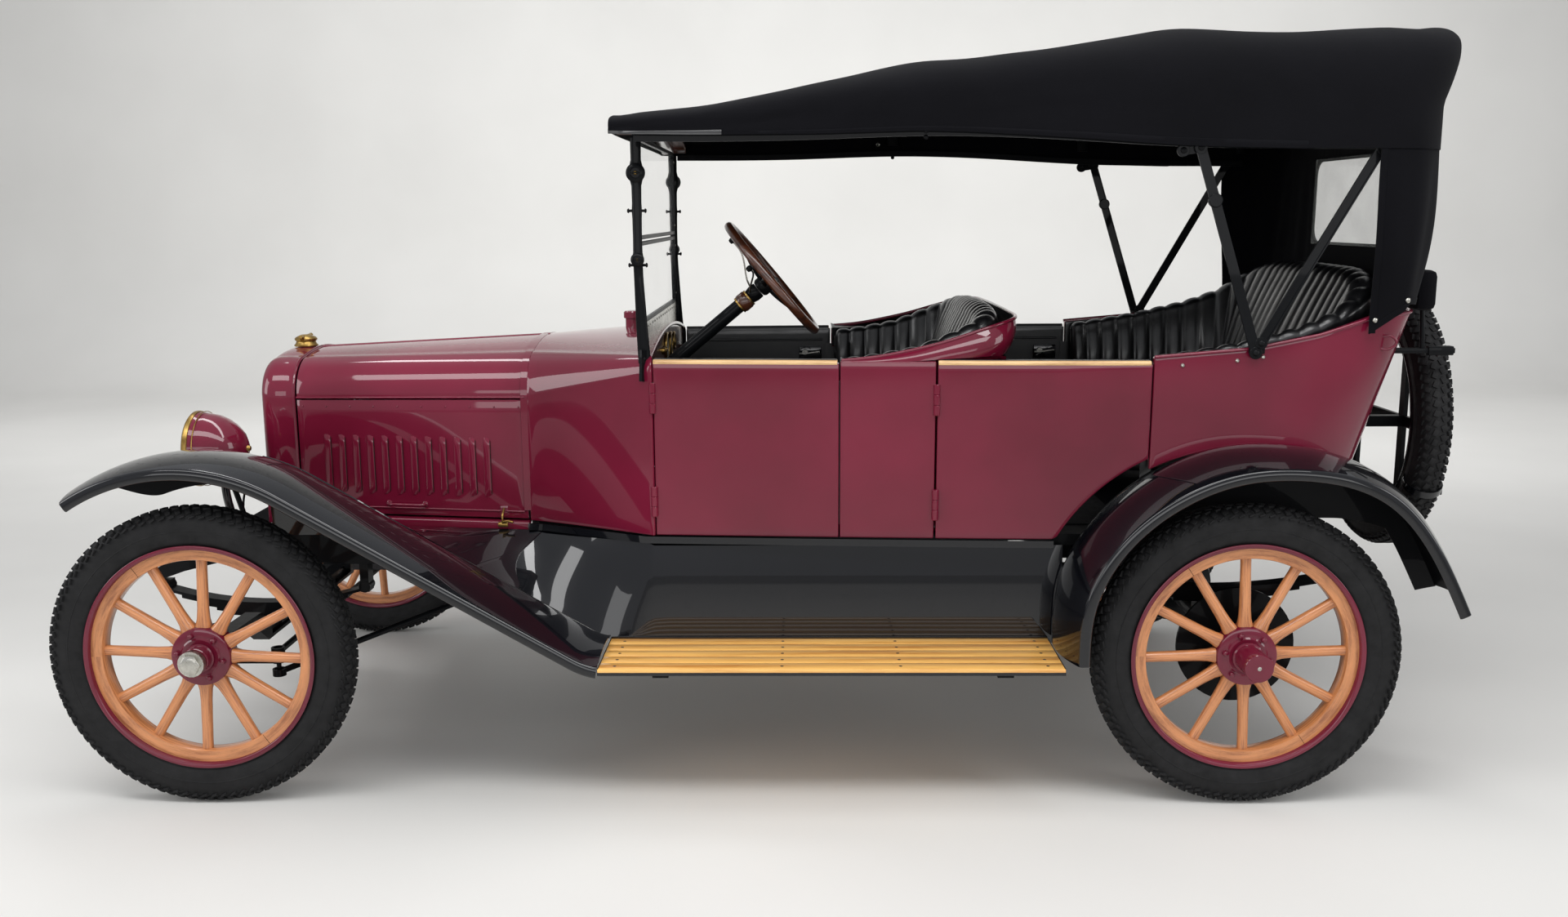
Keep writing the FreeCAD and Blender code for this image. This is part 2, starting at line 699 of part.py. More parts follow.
def headlamp():
    """Deep bowl with a rolled rim, on a bent post whose foot is bolted to the frame's rail."""
    r = size("lamp_radius")
    profile = [(0, r - 8), (0, r), (-22, r), (-24, r - 6), (-70, r - 16), (-120, r - 42), (-160, r - 72),
               (-182, 0), (-176, 0), (-152, r - 76), (-115, r - 50), (-68, r - 22), (-12, r - 12), (-12, r - 8)]
    bowl = revolved(profile, LAMP, X_AXIS)
    hollow = revolved([(0, 0), (0, r - 12), (-68, r - 22), (-115, r - 50), (-176, 0)], LAMP, X_AXIS)
    seat = Vector(LAMP.x - 96, LAMP.y, LAMP.z - 60)
    bend = Vector(LAMP.x - 100, LAMP.y - 6, LAMP.z - 150)
    foot = Vector(AXLE_X + 50, RAIL_Y - 20, RAIL_Z - 10)
    post = [rod(seat, bend, 11), rod(bend, foot, 11), Part.makeSphere(11, bend),
            box(foot.x - 30, foot.x + 30, RAIL_IN, RAIL_Y, foot.z - 4, foot.z + 10)]
    post = fused(post).cut([hollow, rail().translated(Vector(0, 0, FIT))])
    return fused([bowl, post])


node("headlamps", both(headlamp()))
lens_profile = [(-8, 0), (-8, size("lamp_radius") - 9), (-2, size("lamp_radius") - 9), (8, 40), (10, 0)]
node("headlamp_lenses", both(revolved(lens_profile, LAMP, X_AXIS)))

HOOD_FRONT = SHELL_REAR - GAP
DASH_X = size("dash_x")
HOOD_REAR = DASH_X + GAP


def between(front, rear, x):
    share = (SHELL_REAR - x) / (SHELL_REAR - DASH_X)
    return front + (rear - front) * share


def hood_half(x):
    return between(SHELL_HALF, size("hood_rear_half_width"), x)


def hood_hinge_z(x):
    return between(size("hood_hinge_front_z"), size("hood_hinge_rear_z"), x)


def hood_top_z(x):
    return between(SHELL_TOP, size("hood_rear_top_z"), x)


HINGE_R = 3


def crown_rise(x):
    return between(14, 26, x)


def crown_points(x, half, low, top, rise):
    """Half of a crowned section: a round shoulder from the side, then a gentle rise to the middle."""
    corner = top - rise - low
    turn = Vector(x, half - corner * 0.293, low + corner * 0.707)
    shoulder = Vector(x, half - corner, top - rise)
    reach = half - corner
    mid = Vector(x, reach * 0.52, top - rise * 0.27)
    return [Vector(x, half, low), turn, shoulder, mid, Vector(x, HINGE_R + FIT, top - FIT)]


def crown_edges(points):
    low, turn, shoulder, mid, middle = points
    return [Part.Arc(low, turn, shoulder).toShape(), Part.Arc(shoulder, mid, middle).toShape()]


def hood_top():
    wires = []
    for x in (HOOD_FRONT, HOOD_REAR):
        low = hood_hinge_z(x)
        out = crown_points(x, hood_half(x), low, hood_top_z(x), crown_rise(x))
        inn = crown_points(x, hood_half(x) - METAL, low, hood_top_z(x) - METAL, crown_rise(x))
        wires.append(Part.Wire(crown_edges(out) + [Part.LineSegment(out[4], inn[4]).toShape()]
                               + crown_edges(inn)[::-1] + [Part.LineSegment(inn[0], out[0]).toShape()]))
    hinge = rod(*[Vector(x, hood_half(x) - METAL / 2, hood_hinge_z(x)) for x in (HOOD_REAR, HOOD_FRONT)],
                HINGE_R)
    return Part.makeLoft(wires, True, True).fuse(hinge)


LOUVRES = int(size("louvre_count"))
LOUVRE_LOW = size("louvre_bottom_z")
LOUVRE_HIGH = size("louvre_top_z")


def louvre(x):
    """One pressed louvre: a raised lip that opens to the rear, and the slot behind it."""
    skin = hood_half(x)
    tall = LOUVRE_HIGH - LOUVRE_LOW
    plan = [(x + 13, skin - METAL), (x + 13, skin - 1), (x - 6, skin + 7), (x - 9, skin + 6),
            (x - 9, skin + 4), (x + 6, skin - METAL)]
    plan = [Vector(a, b, LOUVRE_LOW) for a, b in plan]
    lip = Part.Face(Part.makePolygon(plan + plan[:1])).extrude(Vector(0, 0, tall))
    for end, way in ((LOUVRE_LOW, 1), (LOUVRE_HIGH, -1)):
        slope = [(skin - 1, end), (skin + 12, end), (skin + 12, end + way * 14)]
        lip = lip.cut(front_prism(slope, x - 20, x + 20))
    slot = box(x - 8, x + 3, skin - METAL - 5, skin + 1, LOUVRE_LOW + 6, LOUVRE_HIGH - 6)
    return lip, slot


def hood_side():
    wires = []
    for x in (HOOD_FRONT, HOOD_REAR):
        half = hood_half(x)
        top = hood_hinge_z(x) - HINGE_R - FIT
        low = size("hood_bottom_z")
        wires.append(Part.makePolygon([Vector(x, half, low), Vector(x, half, top),
                                       Vector(x, half - METAL, top), Vector(x, half - METAL, low),
                                       Vector(x, half, low)]))
    panel = Part.makeLoft(wires, True, True)
    first = HOOD_FRONT - size("louvre_margin")
    pitch = (first - HOOD_REAR - size("louvre_margin") + 50) / (LOUVRES - 1)
    lips = []
    slots = []
    for index in range(LOUVRES):
        lip, slot = louvre(first - pitch * index)
        lips.append(lip)
        slots.append(slot)
    return fused([panel.cut(slots)] + lips)


node("hood_top_left", hood_top())
node("hood_top_right", mirrored(hood_top()))
node("hood_side_left", hood_side())
node("hood_side_right", mirrored(hood_side()))

# Body tub: one shell in plan, cut into cowl sides, doors, centre panels and rear quarters

BODY_TOP = 1230
# Half widths of the body in plan at its sill and at its rim, as (x, y) points.
RIM = [(183, 530), (-292, 562), (-541, 578), (-1068, 600), (-1400, 590), (-1600, 530), (-1705, 400),
       (-1742, 200)]
SILL = [(183, 522), (-292, 552), (-541, 566), (-1068, 585), (-1300, 580), (-1450, 520), (-1525, 400),
        (-1555, 200)]


def plan_wire(points, z, inset):
    """A U-shaped plan outline, closed across its front end."""
    full = [Vector(x, y, z) for x, y in points]
    full += [Vector(v.x, -v.y, z) for v in reversed(full)]
    curve = Part.BSplineCurve()
    curve.interpolate(full)
    if inset:
        moved = []
        for v in full:
            at = curve.parameter(v)
            tangent = curve.tangent(at)[0]
            normal = Vector(-tangent.y, tangent.x, 0)
            moved.append(v + normal * inset)
        moved[0] = Vector(full[0].x + 2, full[0].y - inset, z)
        moved[-1] = Vector(full[0].x + 2, -full[0].y + inset, z)
        curve = Part.BSplineCurve()
        curve.interpolate(moved)
        full = moved
    return Part.Wire([curve.toShape(), Part.LineSegment(full[-1], full[0]).toShape()])


def tub_volume(inset, low, high):
    lower = plan_wire(SILL, low, inset)
    upper = plan_wire(RIM, high, inset)
    return Part.makeLoft([lower, upper], True, True)


tub = tub_volume(0, BODY_Z, BODY_TOP).cut(tub_volume(WALL, BODY_Z, BODY_TOP))
LEFT = (300, 700)
DOOR_TOP = size("door_top_z")
ARCH_CENTRE = Vector(REAR_AXLE_X, 0, TYRE_R)
ARCH_R = 520


def panel(outline):
    return tub.common(side_prism(outline, *LEFT))


def arch_cylinder(radius):
    return Part.makeCylinder(radius, 800, ARCH_CENTRE, Y_AXIS)


BARREL_R = 9
BARREL = 26
FRONT_HINGE = (size("front_door_front_x") - GAP / 2, RIM[0][1] - 3)
REAR_HINGE = (size("rear_door_front_x") + GAP / 2, RIM[2][1] - 3)


def door_outline(front, rear):
    return [(front, BODY_Z - 5), (front, DOOR_TOP), (rear, DOOR_TOP), (rear, BODY_Z - 5)]


def barrels(place, radius, grow, on_door):
    """Hinge barrels round a door's pin: the middle one is the door's, the outer two the body's."""
    x, y = place
    found = []
    for z in (BODY_Z + 90, DOOR_TOP - 90):
        if on_door:
            spans = [(z - BARREL / 2, BARREL)]
        else:
            spans = [(z - BARREL * 1.5 - FIT, BARREL), (z + BARREL / 2 + FIT, BARREL)]
        for low, tall in spans:
            found.append(Part.makeCylinder(radius, tall + 2 * grow, Vector(x, y, low - grow)))
    return found


def hinged_door(door, place):
    door = door.cut(barrels(place, BARREL_R + FIT, FIT, False))
    return fused([door] + barrels(place, BARREL_R, 0, True))


def hinge_post(body, place):
    """The body's side of a door hinge."""
    body = body.cut(barrels(place, BARREL_R + FIT, FIT, True))
    return fused([body] + barrels(place, BARREL_R, 0, False))


front_door = panel(door_outline(size("front_door_front_x") - GAP, size("front_door_rear_x") + 0))
front_door = hinged_door(front_door, FRONT_HINGE)
rear_door = panel(door_outline(size("rear_door_front_x"), size("rear_door_rear_x")))
rear_door = hinged_door(rear_door.cut(arch_cylinder(ARCH_R)), REAR_HINGE)
node("door_front_left", front_door)
node("door_front_right", mirrored(front_door))
node("door_rear_left", rear_door)
node("door_rear_right", mirrored(rear_door))

SEAT_WING_Y = 470


def front_seat_shell():
    """Centre panels between the doors, joined by the seat box and the seat's back."""
    front = size("front_door_rear_x") - GAP
    rear = size("rear_door_front_x") + GAP
    side = panel([(front, BODY_Z), (front, DOOR_TOP + 6), (rear, DOOR_TOP + 6), (rear, BODY_Z)])
    side = hinge_post(side, REAR_HINGE)
    wing_line = [(front, BODY_Z), (front, 1096), (-430, 1112), (-560, 1140), (-660, 1172), (-742, 1190),
                 (-762, 1176), (-700, 1089), (-560, BODY_Z)]
    wing = side_prism(wing_line, SEAT_WING_Y, SEAT_WING_Y + 12)
    web = box(rear + 20, front - 20, SEAT_WING_Y, 560, BODY_Z, BODY_Z + 14)
    left = [side, wing, web]
    back = side_prism([(-545, BODY_Z), (-560, BODY_Z), (-762, 1176), (-742, 1190), (-730, 1185)],
                      -SEAT_WING_Y, SEAT_WING_Y)
    box_front = box(-112, -100, -SEAT_WING_Y, SEAT_WING_Y, BODY_Z, 820)
    box_top = box(-620, -100, -SEAT_WING_Y, SEAT_WING_Y, 808, 820)
    middle = [back, box_front, box_top.cut(side_prism([(-560, 640), (-650, 640), (-650, 900), (-618, 820)],
                                                      -500, 500))]
    return fused(left + [mirrored(piece) for piece in left] + middle)


node("front_seat_shell", front_seat_shell())


def rear_tonneau():
    keep = [(-860, BODY_Z - 1), (-860, 900), (size("rear_door_rear_x") - GAP, 900),
            (size("rear_door_rear_x") - GAP, 1106), (-1310, 1126), (-1480, 1160), (-1620, 1204),
            (-1900, 1214), (-1900, BODY_Z - 1)]
    back = tub.common(side_prism(keep, -700, 700))
    door_zone = box(size("rear_door_rear_x") - GAP, size("rear_door_front_x"), -700, 700, BODY_Z - 2, 1300)
    swept = Part.makeCylinder(ARCH_R - GAP, 1400, ARCH_CENTRE - Vector(0, 700, 0), Y_AXIS)
    return back.cut(door_zone.cut(swept))


node("rear_tonneau", rear_tonneau())


def cowl_volume(inset, x0, x1):
    """The scuttle: from the hood's section back to the full body width."""
    wires = []
    for share in (0.0, 0.33, 0.66, 1.0):
        x = x0 + (x1 - x0) * share
        half = size("hood_rear_half_width") + (RIM[0][1] - size("hood_rear_half_width")) * share ** 1.1 - inset
        low = BODY_Z
        top = size("hood_rear_top_z") + 27 * share - inset
        shoulder = size("hood_hinge_rear_z") + 88 * share
        points = crown_points(x, half, shoulder, top, 26 + 14 * share)
        points[4] = Vector(x, 0, top)
        left = [Part.LineSegment(Vector(x, half, low), points[0]).toShape()] + crown_edges(points)
        flip = [Vector(v.x, -v.y, v.z) for v in points]
        right = crown_edges(flip)[::-1]
        right.append(Part.LineSegment(flip[0], Vector(x, -half, low)).toShape())
        base = Part.LineSegment(Vector(x, -half, low), Vector(x, half, low)).toShape()
        wires.append(Part.Wire(left + right + [base]))
    return Part.makeLoft(wires, True, False)


COWL_REAR = size("front_door_front_x")


def hood_sill():
    """The ledge that the hood's side rests above, from the cowl to the radiator."""
    sections = []
    for x in (DASH_X + FIT, SHELL_REAR - FIT):
        half = hood_half(x)
        low = RAIL_Z + FIT
        top = size("hood_bottom_z") - GAP
        corners = [Vector(x, y, z) for y, z in ((half - 26, low), (half + 14, low), (half + 22, low + 6),
                                                (half + 22, top - 4), (half + 18, top), (half - 26, top))]
        sections.append(Part.makePolygon(corners + corners[:1]))
    return Part.makeLoft(sections, True, True)


node("hood_sills", both(hood_sill()))
FILLER_X = 290
FILLER_Z = size("hood_rear_top_z") + 10
FILLER_TALL = 56


def cowl():
    outer = cowl_volume(0, DASH_X, COWL_REAR)
    inner = cowl_volume(10, DASH_X - 18, COWL_REAR - 1)
    shell = outer.cut(inner)
    shell = hinge_post(shell.cut(column_clearance()), FRONT_HINGE)
    shell = mirrored(hinge_post(mirrored(shell), FRONT_HINGE))
    line = [Vector(x, 0, hood_top_z(x)) for x in (DASH_X - 10, SHELL_REAR - FIT)]
    neck = revolved([(0, 0), (0, 21), (FILLER_TALL - 22, 21), (FILLER_TALL - 20, 26), (FILLER_TALL - 4, 26),
                     (FILLER_TALL, 20), (FILLER_TALL, 0)], Vector(FILLER_X, 0, FILLER_Z), Z_AXIS)
    return fused([shell, rod(line[0], line[1], HINGE_R), neck])


def column_clearance():
    return rod(COLUMN_LOW, WHEEL_CENTRE, size("column_radius") + 8)


node("cowl", cowl())
board = box(COWL_REAR + 6, COWL_REAR + 24, -600, 600, 1020, 1200)
board = board.common(cowl_volume(11, DASH_X - 18, COWL_REAR - 1))
node("instrument_board", board.cut(column_clearance()))


def floor():
    half = 494
    flat = [Vector(DASH_X - 20, 330, RAIL_Z), Vector(300, 420, RAIL_Z), Vector(150, half, RAIL_Z),
            Vector(-1060, half + 24, RAIL_Z), Vector(-1300, half + 24, RAIL_Z), Vector(-1480, 400, RAIL_Z)]
    outline = flat + [Vector(v.x, -v.y, v.z) for v in reversed(flat)]
    plate = Part.Face(Part.makePolygon(outline + outline[:1])).extrude(Vector(0, 0, BODY_Z - RAIL_Z))
    toe = side_prism([(250, BODY_Z - 2), (272, BODY_Z - 2), (515, 840), (515, 862)], -330, 330)
    return fused([plate, toe]).cut(column_clearance())


node("floor", floor())

# Fenders, running boards and aprons

CROWN_R = 505
CROWN_X = AXLE_X + 10
BOARD_FRONT = AXLE_X - size("board_setback")
BOARD_REAR = REAR_AXLE_X + size("board_rear_gap")


def fender_path_front():
    """Crown arc over the wheel, then a straight slope, easing out on the running board."""
    centre_z = 872 - CROWN_R
    slope = math.radians(30.2)
    tip = math.radians(-33)

    def on_arc(angle):
        return Vector(CROWN_X - CROWN_R * math.sin(angle), 0, centre_z + CROWN_R * math.cos(angle))

    bend = on_arc(slope)
    foot_z = BOARD_Z + 26
    run = (bend.z - foot_z) / math.tan(slope)
    foot = Vector(bend.x - run, 0, foot_z)
    end = Vector(foot.x - 88, 0, BOARD_Z)
    ease = Vector(foot.x - 42, 0, BOARD_Z + 6.5)
    return Part.Wire([Part.Arc(on_arc(tip), on_arc(0), bend).toShape(),
                      Part.LineSegment(bend, foot).toShape(),
                      Part.Arc(foot, ease, end).toShape()])


def fender_path_rear():
    points = [(430.5, BOARD_Z), (421, 514), (360.5, 687), (192.5, 826), (2.5, 858), (-193.5, 811),
              (-376.5, 655), (-516.5, 516)]
    return Part.Wire([spline([Vector(REAR_AXLE_X + x, 0, z) for x, z in points])])


def swept_fender(path, inner, outer, inner_rise):
    """A crowned sheet with a turned-down outer edge, swept along the path."""
    start = path.Edges[0].Vertexes[0].Point
    first = path.Edges[0]
    tangent = first.tangentAt(first.FirstParameter)
    normal = Vector(-tangent.z, 0, tangent.x)
    if normal.z < 0:
        normal = normal * -1

    def at(y, n):
        return Vector(start.x, 0, start.z) + Vector(0, y, 0) + normal * n

    mid = (inner + outer) / 2
    crown = 16 + inner_rise / 2
    profile = Part.Wire([
        Part.Arc(at(inner, inner_rise), at(mid, crown), at(outer, -6)).toShape(),
        Part.LineSegment(at(outer, -6), at(outer, -20)).toShape(),
        Part.LineSegment(at(outer, -20), at(outer - 12, -20)).toShape(),
        Part.LineSegment(at(outer - 12, -20), at(outer - 12, -6 - METAL)).toShape(),
        Part.Arc(at(outer - 12, -6 - METAL), at(mid, crown - METAL), at(inner, inner_rise - METAL)).toShape(),
        Part.LineSegment(at(inner, inner_rise - METAL), at(inner, inner_rise)).toShape()])
    pipe = Part.BRepOffsetAPI.MakePipeShell(path)
    pipe.setBiNormalMode(Y_AXIS)
    pipe.add(profile, False, False)
    pipe.setTransitionMode(1)
    pipe.build()
    pipe.makeSolid()
    return pipe.shape()


front_fender = swept_fender(fender_path_front(), FENDER_IN, FENDER_OUT, 0)
past_board = box(BOARD_FRONT - 200, BOARD_FRONT + FIT, FENDER_IN - 20, FENDER_OUT + 20, 0, BOARD_Z + 100)
front_fender = front_fender.cut(past_board)
node("front_fenders", both(front_fender))
REAR_FENDER_IN = 560
rear_fender = swept_fender(fender_path_rear(), REAR_FENDER_IN, FENDER_OUT, 18)
rear_fender = rear_fender.cut(tub_volume(-FIT, BODY_Z - 20, BODY_TOP))
node("rear_fenders", both(rear_fender))

board = bound_box("left_board", (BOARD_REAR, FENDER_OUT - size("board_width"), BOARD_UNDER),
                  ("Sizes.wheelbase - Sizes.board_setback - Sizes.board_rear_gap", "Sizes.board_width",
                   "Sizes.board_thickness - Sizes.sheet_metal"), False)
pair("running_boards", board)


def fender_line_z(x):
    """Height of the front fender's path, along its straight slope or on its crown."""
    bend, foot = fender_path_front().Edges[1].Vertexes
    if x > bend.X:
        return 872 - CROWN_R + math.sqrt(CROWN_R ** 2 - (x - CROWN_X) ** 2)
    return bend.Z + (foot.Z - bend.Z) * (bend.X - x) / (bend.X - foot.X)


def splash_apron():
    """Sheet from the running board and the front fender's inner edge up to the body and the hood's sill.

    Ahead of the dash it first drops to a knee, which leaves room for the hood's side to swing out.
    """
    sections = []
    for x in (BOARD_REAR - 34, COWL_REAR, BOARD_FRONT + 10, DASH_X - 35, BOARD_FRONT + 340, AXLE_X - 245,
              SHELL_REAR - 20):
        kneed = x > DASH_X + 150
        low = Vector(x, FENDER_IN - 3 - (METAL + 1 if kneed else 0), max(fender_line_z(x), BOARD_UNDER + 1))
        if x < COWL_REAR + 1:
            high = Vector(x, 530, BODY_Z - 26)
        else:
            side = max(hood_half(x), size("hood_rear_half_width") if x < DASH_X else 0)
            high = Vector(x, max(side + 25, 530 - (x - COWL_REAR) * 0.5), RAIL_Z + 10)
        knee = (low + high) / 2
        if kneed:
            knee = Vector(x, low.y - 40, high.z + 20)
        corners = [low, knee, high]
        inner = []
        for p, q in ((low, knee), (knee, high), (knee, high)):
            across = (q - p).normalize()
            inner.append(Vector(0, -across.z, across.y) * METAL)
        back = [corner + step for corner, step in zip(corners, inner)]
        sections.append(Part.makePolygon(corners + back[::-1] + corners[:1]))
    return Part.makeLoft(sections, True, True)


node("splash_aprons", both(splash_apron()))

# Seats

def cushion(x0, x1, half, z0, z1, round_edge):
    block = box(x0, x1, -half, half, z0, z1)
    return block.makeFillet(round_edge, block.Edges)


def leaning_back(x_low, x_high, z0, z1, depth, half, round_edge):
    block = side_prism([(x_low, z0), (x_high, z1), (x_high + depth, z1), (x_low + depth, z0)], -half, half)
    return block.makeFillet(round_edge, block.Edges)


def seat_arm(line, y, width, round_edge):
    """A padded arm with a round top, from its side outline."""
    block = side_prism(line, y, y + width)
    tops = [e for e in block.Edges if min(v.Z for v in e.Vertexes) > 1000]
    return block.makeFillet(round_edge, tops)


front_cushion = cushion(-590, -96, 455, 820 + FIT, 940, 35)
front_back = leaning_back(-646.5, -749.0, 940 + FIT, 1243, 110, 455, 44)
node("front_seat", Part.makeCompound([front_cushion, front_back]))

inside = tub_volume(WALL + FIT, BODY_Z, BODY_TOP).fuse(box(-1740, -1000, -560, 560, BODY_TOP, 1400))
rear_cushion = cushion(-1600, -1040, 520, 790, 925, 35).common(inside)
rear_back = leaning_back(-1575, -1712, 925 + FIT, 1318, 120, 430, 46)
arm_line = [(-1560, 925 + FIT), (-1100, 925 + FIT), (-1078, 1102), (-1270, 1150), (-1480, 1205), (-1560, 1250)]
arm = seat_arm(arm_line, 470, 90, 34).cut(rear_back)
lowered = arm.common(inside)
node("rear_seat", Part.makeCompound([rear_cushion, rear_back.common(inside), lowered, mirrored(lowered)]))

# Windshield

POST_R = 8
LOWER_PANE = (1180, 1392)
UPPER_PANE = (1396, size("windshield_top_z"))
KNOBS = (1348, 1562)


def pane_frame(low, high):
    """A channel round one pane of glass."""
    x = size("windshield_x")
    half = size("windshield_half_width") - POST_R - 2
    outer = box(x - 6, x + 6, -half, half, low, high)
    return outer.cut(box(x - 7, x + 7, -half + 11, half - 11, low + 11, high - 11))


def windshield_frame():
    x = size("windshield_x")
    half = size("windshield_half_width")
    top = size("windshield_top_z")
    pieces = [box(x - 4, x + 4, -half, half, 1085, LOWER_PANE[0]), pane_frame(*LOWER_PANE),
              pane_frame(*UPPER_PANE)]
    for side in (1, -1):
        pieces.append(rod(Vector(x, side * half, 1040), Vector(x, side * half, top), POST_R))
        for z in KNOBS:
            y0, y1 = sorted((side * (half - 14), side * (half + 20)))
            pieces.append(rod(Vector(x, y0, z), Vector(x, y1, z), 9))
            knob = Vector(x, side * (half + 20), z)
            pieces.append(rod(knob, knob + Vector(0, side * 10, 0), 15))
    return fused(pieces).cut(cowl_volume(-FIT, DASH_X, COWL_REAR))


node("windshield_frame", windshield_frame())
glass_half = size("windshield_half_width") - POST_R - 13 - FIT
glass_x = size("windshield_x") - size("glass") / 2
panes = [box(glass_x, glass_x + size("glass"), -glass_half, glass_half, low + 11 + FIT, high - 11 - FIT)
         for low, high in (LOWER_PANE, UPPER_PANE)]
node("windshield_glass", Part.makeCompound(panes))

# Soft top: canvas over four bows, with back and quarter curtains

TOP_HALF = size("top_half_width")
TOP_REAR = -1816
CURTAIN_REAR = TOP_REAR + 52
CURTAIN_FRONT = -1578
CURTAIN_LOW = 1220
TOP_LIFT = size("windshield_top_z") - 1655
# Each station is (x, lower edge, ridge height), before the lift of a taller windshield.
TOP_STATIONS = [(262, 1652, 1704), (215, 1650, 1711), (40, 1648, 1731), (-240, 1649, 1791),
                (-485, 1655, 1838), (-620, 1651, 1848), (-870, 1636, 1884), (-1120, 1617, 1918),
                (-1410, 1609, 1914), (TOP_REAR + 216, 1608, 1917), (TOP_REAR + 18, 1606, 1923),
                (TOP_REAR - 12, 1606, 1921)]
TOP_STATIONS = [(x, edge + TOP_LIFT, ridge + TOP_LIFT) for x, edge, ridge in TOP_STATIONS]


def rear_plan(rear, inset, z):
    """The outline of the top in plan, with round rear corners."""
    corner = 120
    half = TOP_HALF + 5 - inset
    rear = rear + inset
    plan = [Vector(400, half, z), Vector(rear + corner, half, z), Vector(rear, half - corner, z)]
    bend = Vector(rear + corner * 0.29, half - corner * 0.29, z)
    edges = [Part.LineSegment(plan[0], plan[1]), Part.Arc(plan[1], bend, plan[2]),
             Part.LineSegment(plan[2], Vector(rear, -plan[2].y, z)),
             Part.Arc(Vector(rear, -plan[2].y, z), Vector(bend.x, -bend.y, z), Vector(plan[1].x, -half, z)),
             Part.LineSegment(Vector(plan[1].x, -half, z), Vector(400, -half, z)),
             Part.LineSegment(Vector(400, -half, z), plan[0])]
    return Part.Wire([edge.toShape() for edge in edges])


def top_volume(inset):
    """The filled outline of the raised top, moved inwards by the inset.

    Below the rear bow the back leans in from the bow's edge to the curtain's line.
    """
    wires = []
    for x, edge, ridge in TOP_STATIONS:
        half = TOP_HALF - inset
        top = ridge - inset
        drop = ridge - edge
        side = [Vector(x, half - 18, CURTAIN_LOW - 40), Vector(x, half, edge),
                Vector(x, half - 6, edge + drop * 0.55)]
        turn = Vector(x, half - 30, edge + drop * 0.77 - inset * 0.6)
        shoulder = Vector(x, half - 95, edge + drop * 0.9 - inset)
        flip = [Vector(x, -v.y, v.z) for v in side]
        left = [Part.LineSegment(side[0], side[1]).toShape(), Part.LineSegment(side[1], side[2]).toShape(),
                Part.Arc(side[2], turn, shoulder).toShape()]
        crown = [Part.Arc(shoulder, Vector(x, 0, top), Vector(x, -shoulder.y, shoulder.z)).toShape()]
        right = [Part.Arc(Vector(x, -shoulder.y, shoulder.z), Vector(x, -turn.y, turn.z), flip[2]).toShape(),
                 Part.LineSegment(flip[2], flip[1]).toShape(), Part.LineSegment(flip[1], flip[0]).toShape(),
                 Part.LineSegment(flip[0], side[0]).toShape()]
        wires.append(Part.Wire(left + crown + right))
    volume = Part.makeLoft(wires, True, True)
    levels = [(CURTAIN_REAR, CURTAIN_LOW - 60), (CURTAIN_REAR, 1710 + TOP_LIFT), (TOP_REAR, 1850 + TOP_LIFT),
              (TOP_REAR, 2100 + TOP_LIFT)]
    wall = Part.makeLoft([rear_plan(rear, inset, z) for rear, z in levels], True, True)
    return volume.common(wall)


def under_edge():
    """What lies below the side edge of the top, ahead of the quarter curtains."""
    line = [(CURTAIN_FRONT, 1000)]
    line += [(x, edge) for x, edge, ridge in reversed(TOP_STATIONS) if x > CURTAIN_FRONT]
    line[1:1] = [(CURTAIN_FRONT, TOP_STATIONS[-3][1])]
    line += [(400, TOP_STATIONS[0][1]), (400, 1000)]
    return side_prism(line, -800, 800)


WINDOW_HALF = 260
WINDOW_LOW = 1370
WINDOW_HIGH = 1610


def window_block(inset, x0, x1):
    block = box(x0, x1, -WINDOW_HALF + inset, WINDOW_HALF - inset, WINDOW_LOW + inset, WINDOW_HIGH - inset)
    edges = [e for e in block.Edges if abs(e.tangentAt(e.FirstParameter).x) > 0.9]
    return block.makeFillet(40 - inset, edges)


def soft_top():
    canvas = size("canvas")
    shell = top_volume(0).cut(top_volume(canvas))
    shell = shell.cut(under_edge())
    shell = shell.cut(box(-2100, 400, -800, 800, 900, CURTAIN_LOW))
    return shell.cut(window_block(0, CURTAIN_REAR - 50, CURTAIN_REAR + 50))


node("soft_top", soft_top())
node("rear_window", window_block(0.3, CURTAIN_REAR + 2, CURTAIN_REAR + 6))


BOWS = (200, -500, -1120, TOP_REAR + 176)


def top_frame():
    """Bows under the canvas, a rail along each side, and two irons from the body up to each rail."""
    canvas = size("canvas")
    rib = top_volume(canvas + 1).cut(top_volume(canvas + 17))
    low = 1604 + TOP_LIFT
    high = low + 22
    rear = BOWS[-1] - 16
    pieces = []
    for x in BOWS:
        pieces.append(rib.common(box(x - 18, x + 18, -800, 800, low + 8, 2100 + TOP_LIFT)))
    for side in (1, -1):
        y0, y1 = sorted((side * 594, side * 602))
        pieces.append(side_prism([(225, low + 36), (225, low + 14), (-1160, low), (rear, low), (rear, high),
                                  (-1160, high)], y0, y1))
        pieces.append(side_prism([(-1302, 1120), (-1326, 1120), (-1172, low + 12), (-1148, low + 12)],
                                 *sorted((side * 606, side * 612))))
        pieces.append(side_prism([(-1310, 1140), (-1340, 1160), (-1600, low + 12), (-1574, low + 12)],
                                 *sorted((side * 606, side * 612))))
        for x in (-1160, -1588):
            pieces.append(rod(Vector(x, side * 594, low + 11), Vector(x, side * 614, low + 11), 8))
        pieces.append(rod(Vector(-1318, side * 595, 1140), Vector(-1318, side * 614, 1140), 14))
        for x in BOWS:
            pieces.append(box(x - 18, x + 18, *sorted((side * 594, side * 614)), low + 8, high))
    return fused(pieces)


node("top_frame", top_frame())

# Spare

SPARE = Vector(size("spare_x"), 0, size("spare_z"))
add_tyre("spare_tyre", SPARE, X_AXIS)


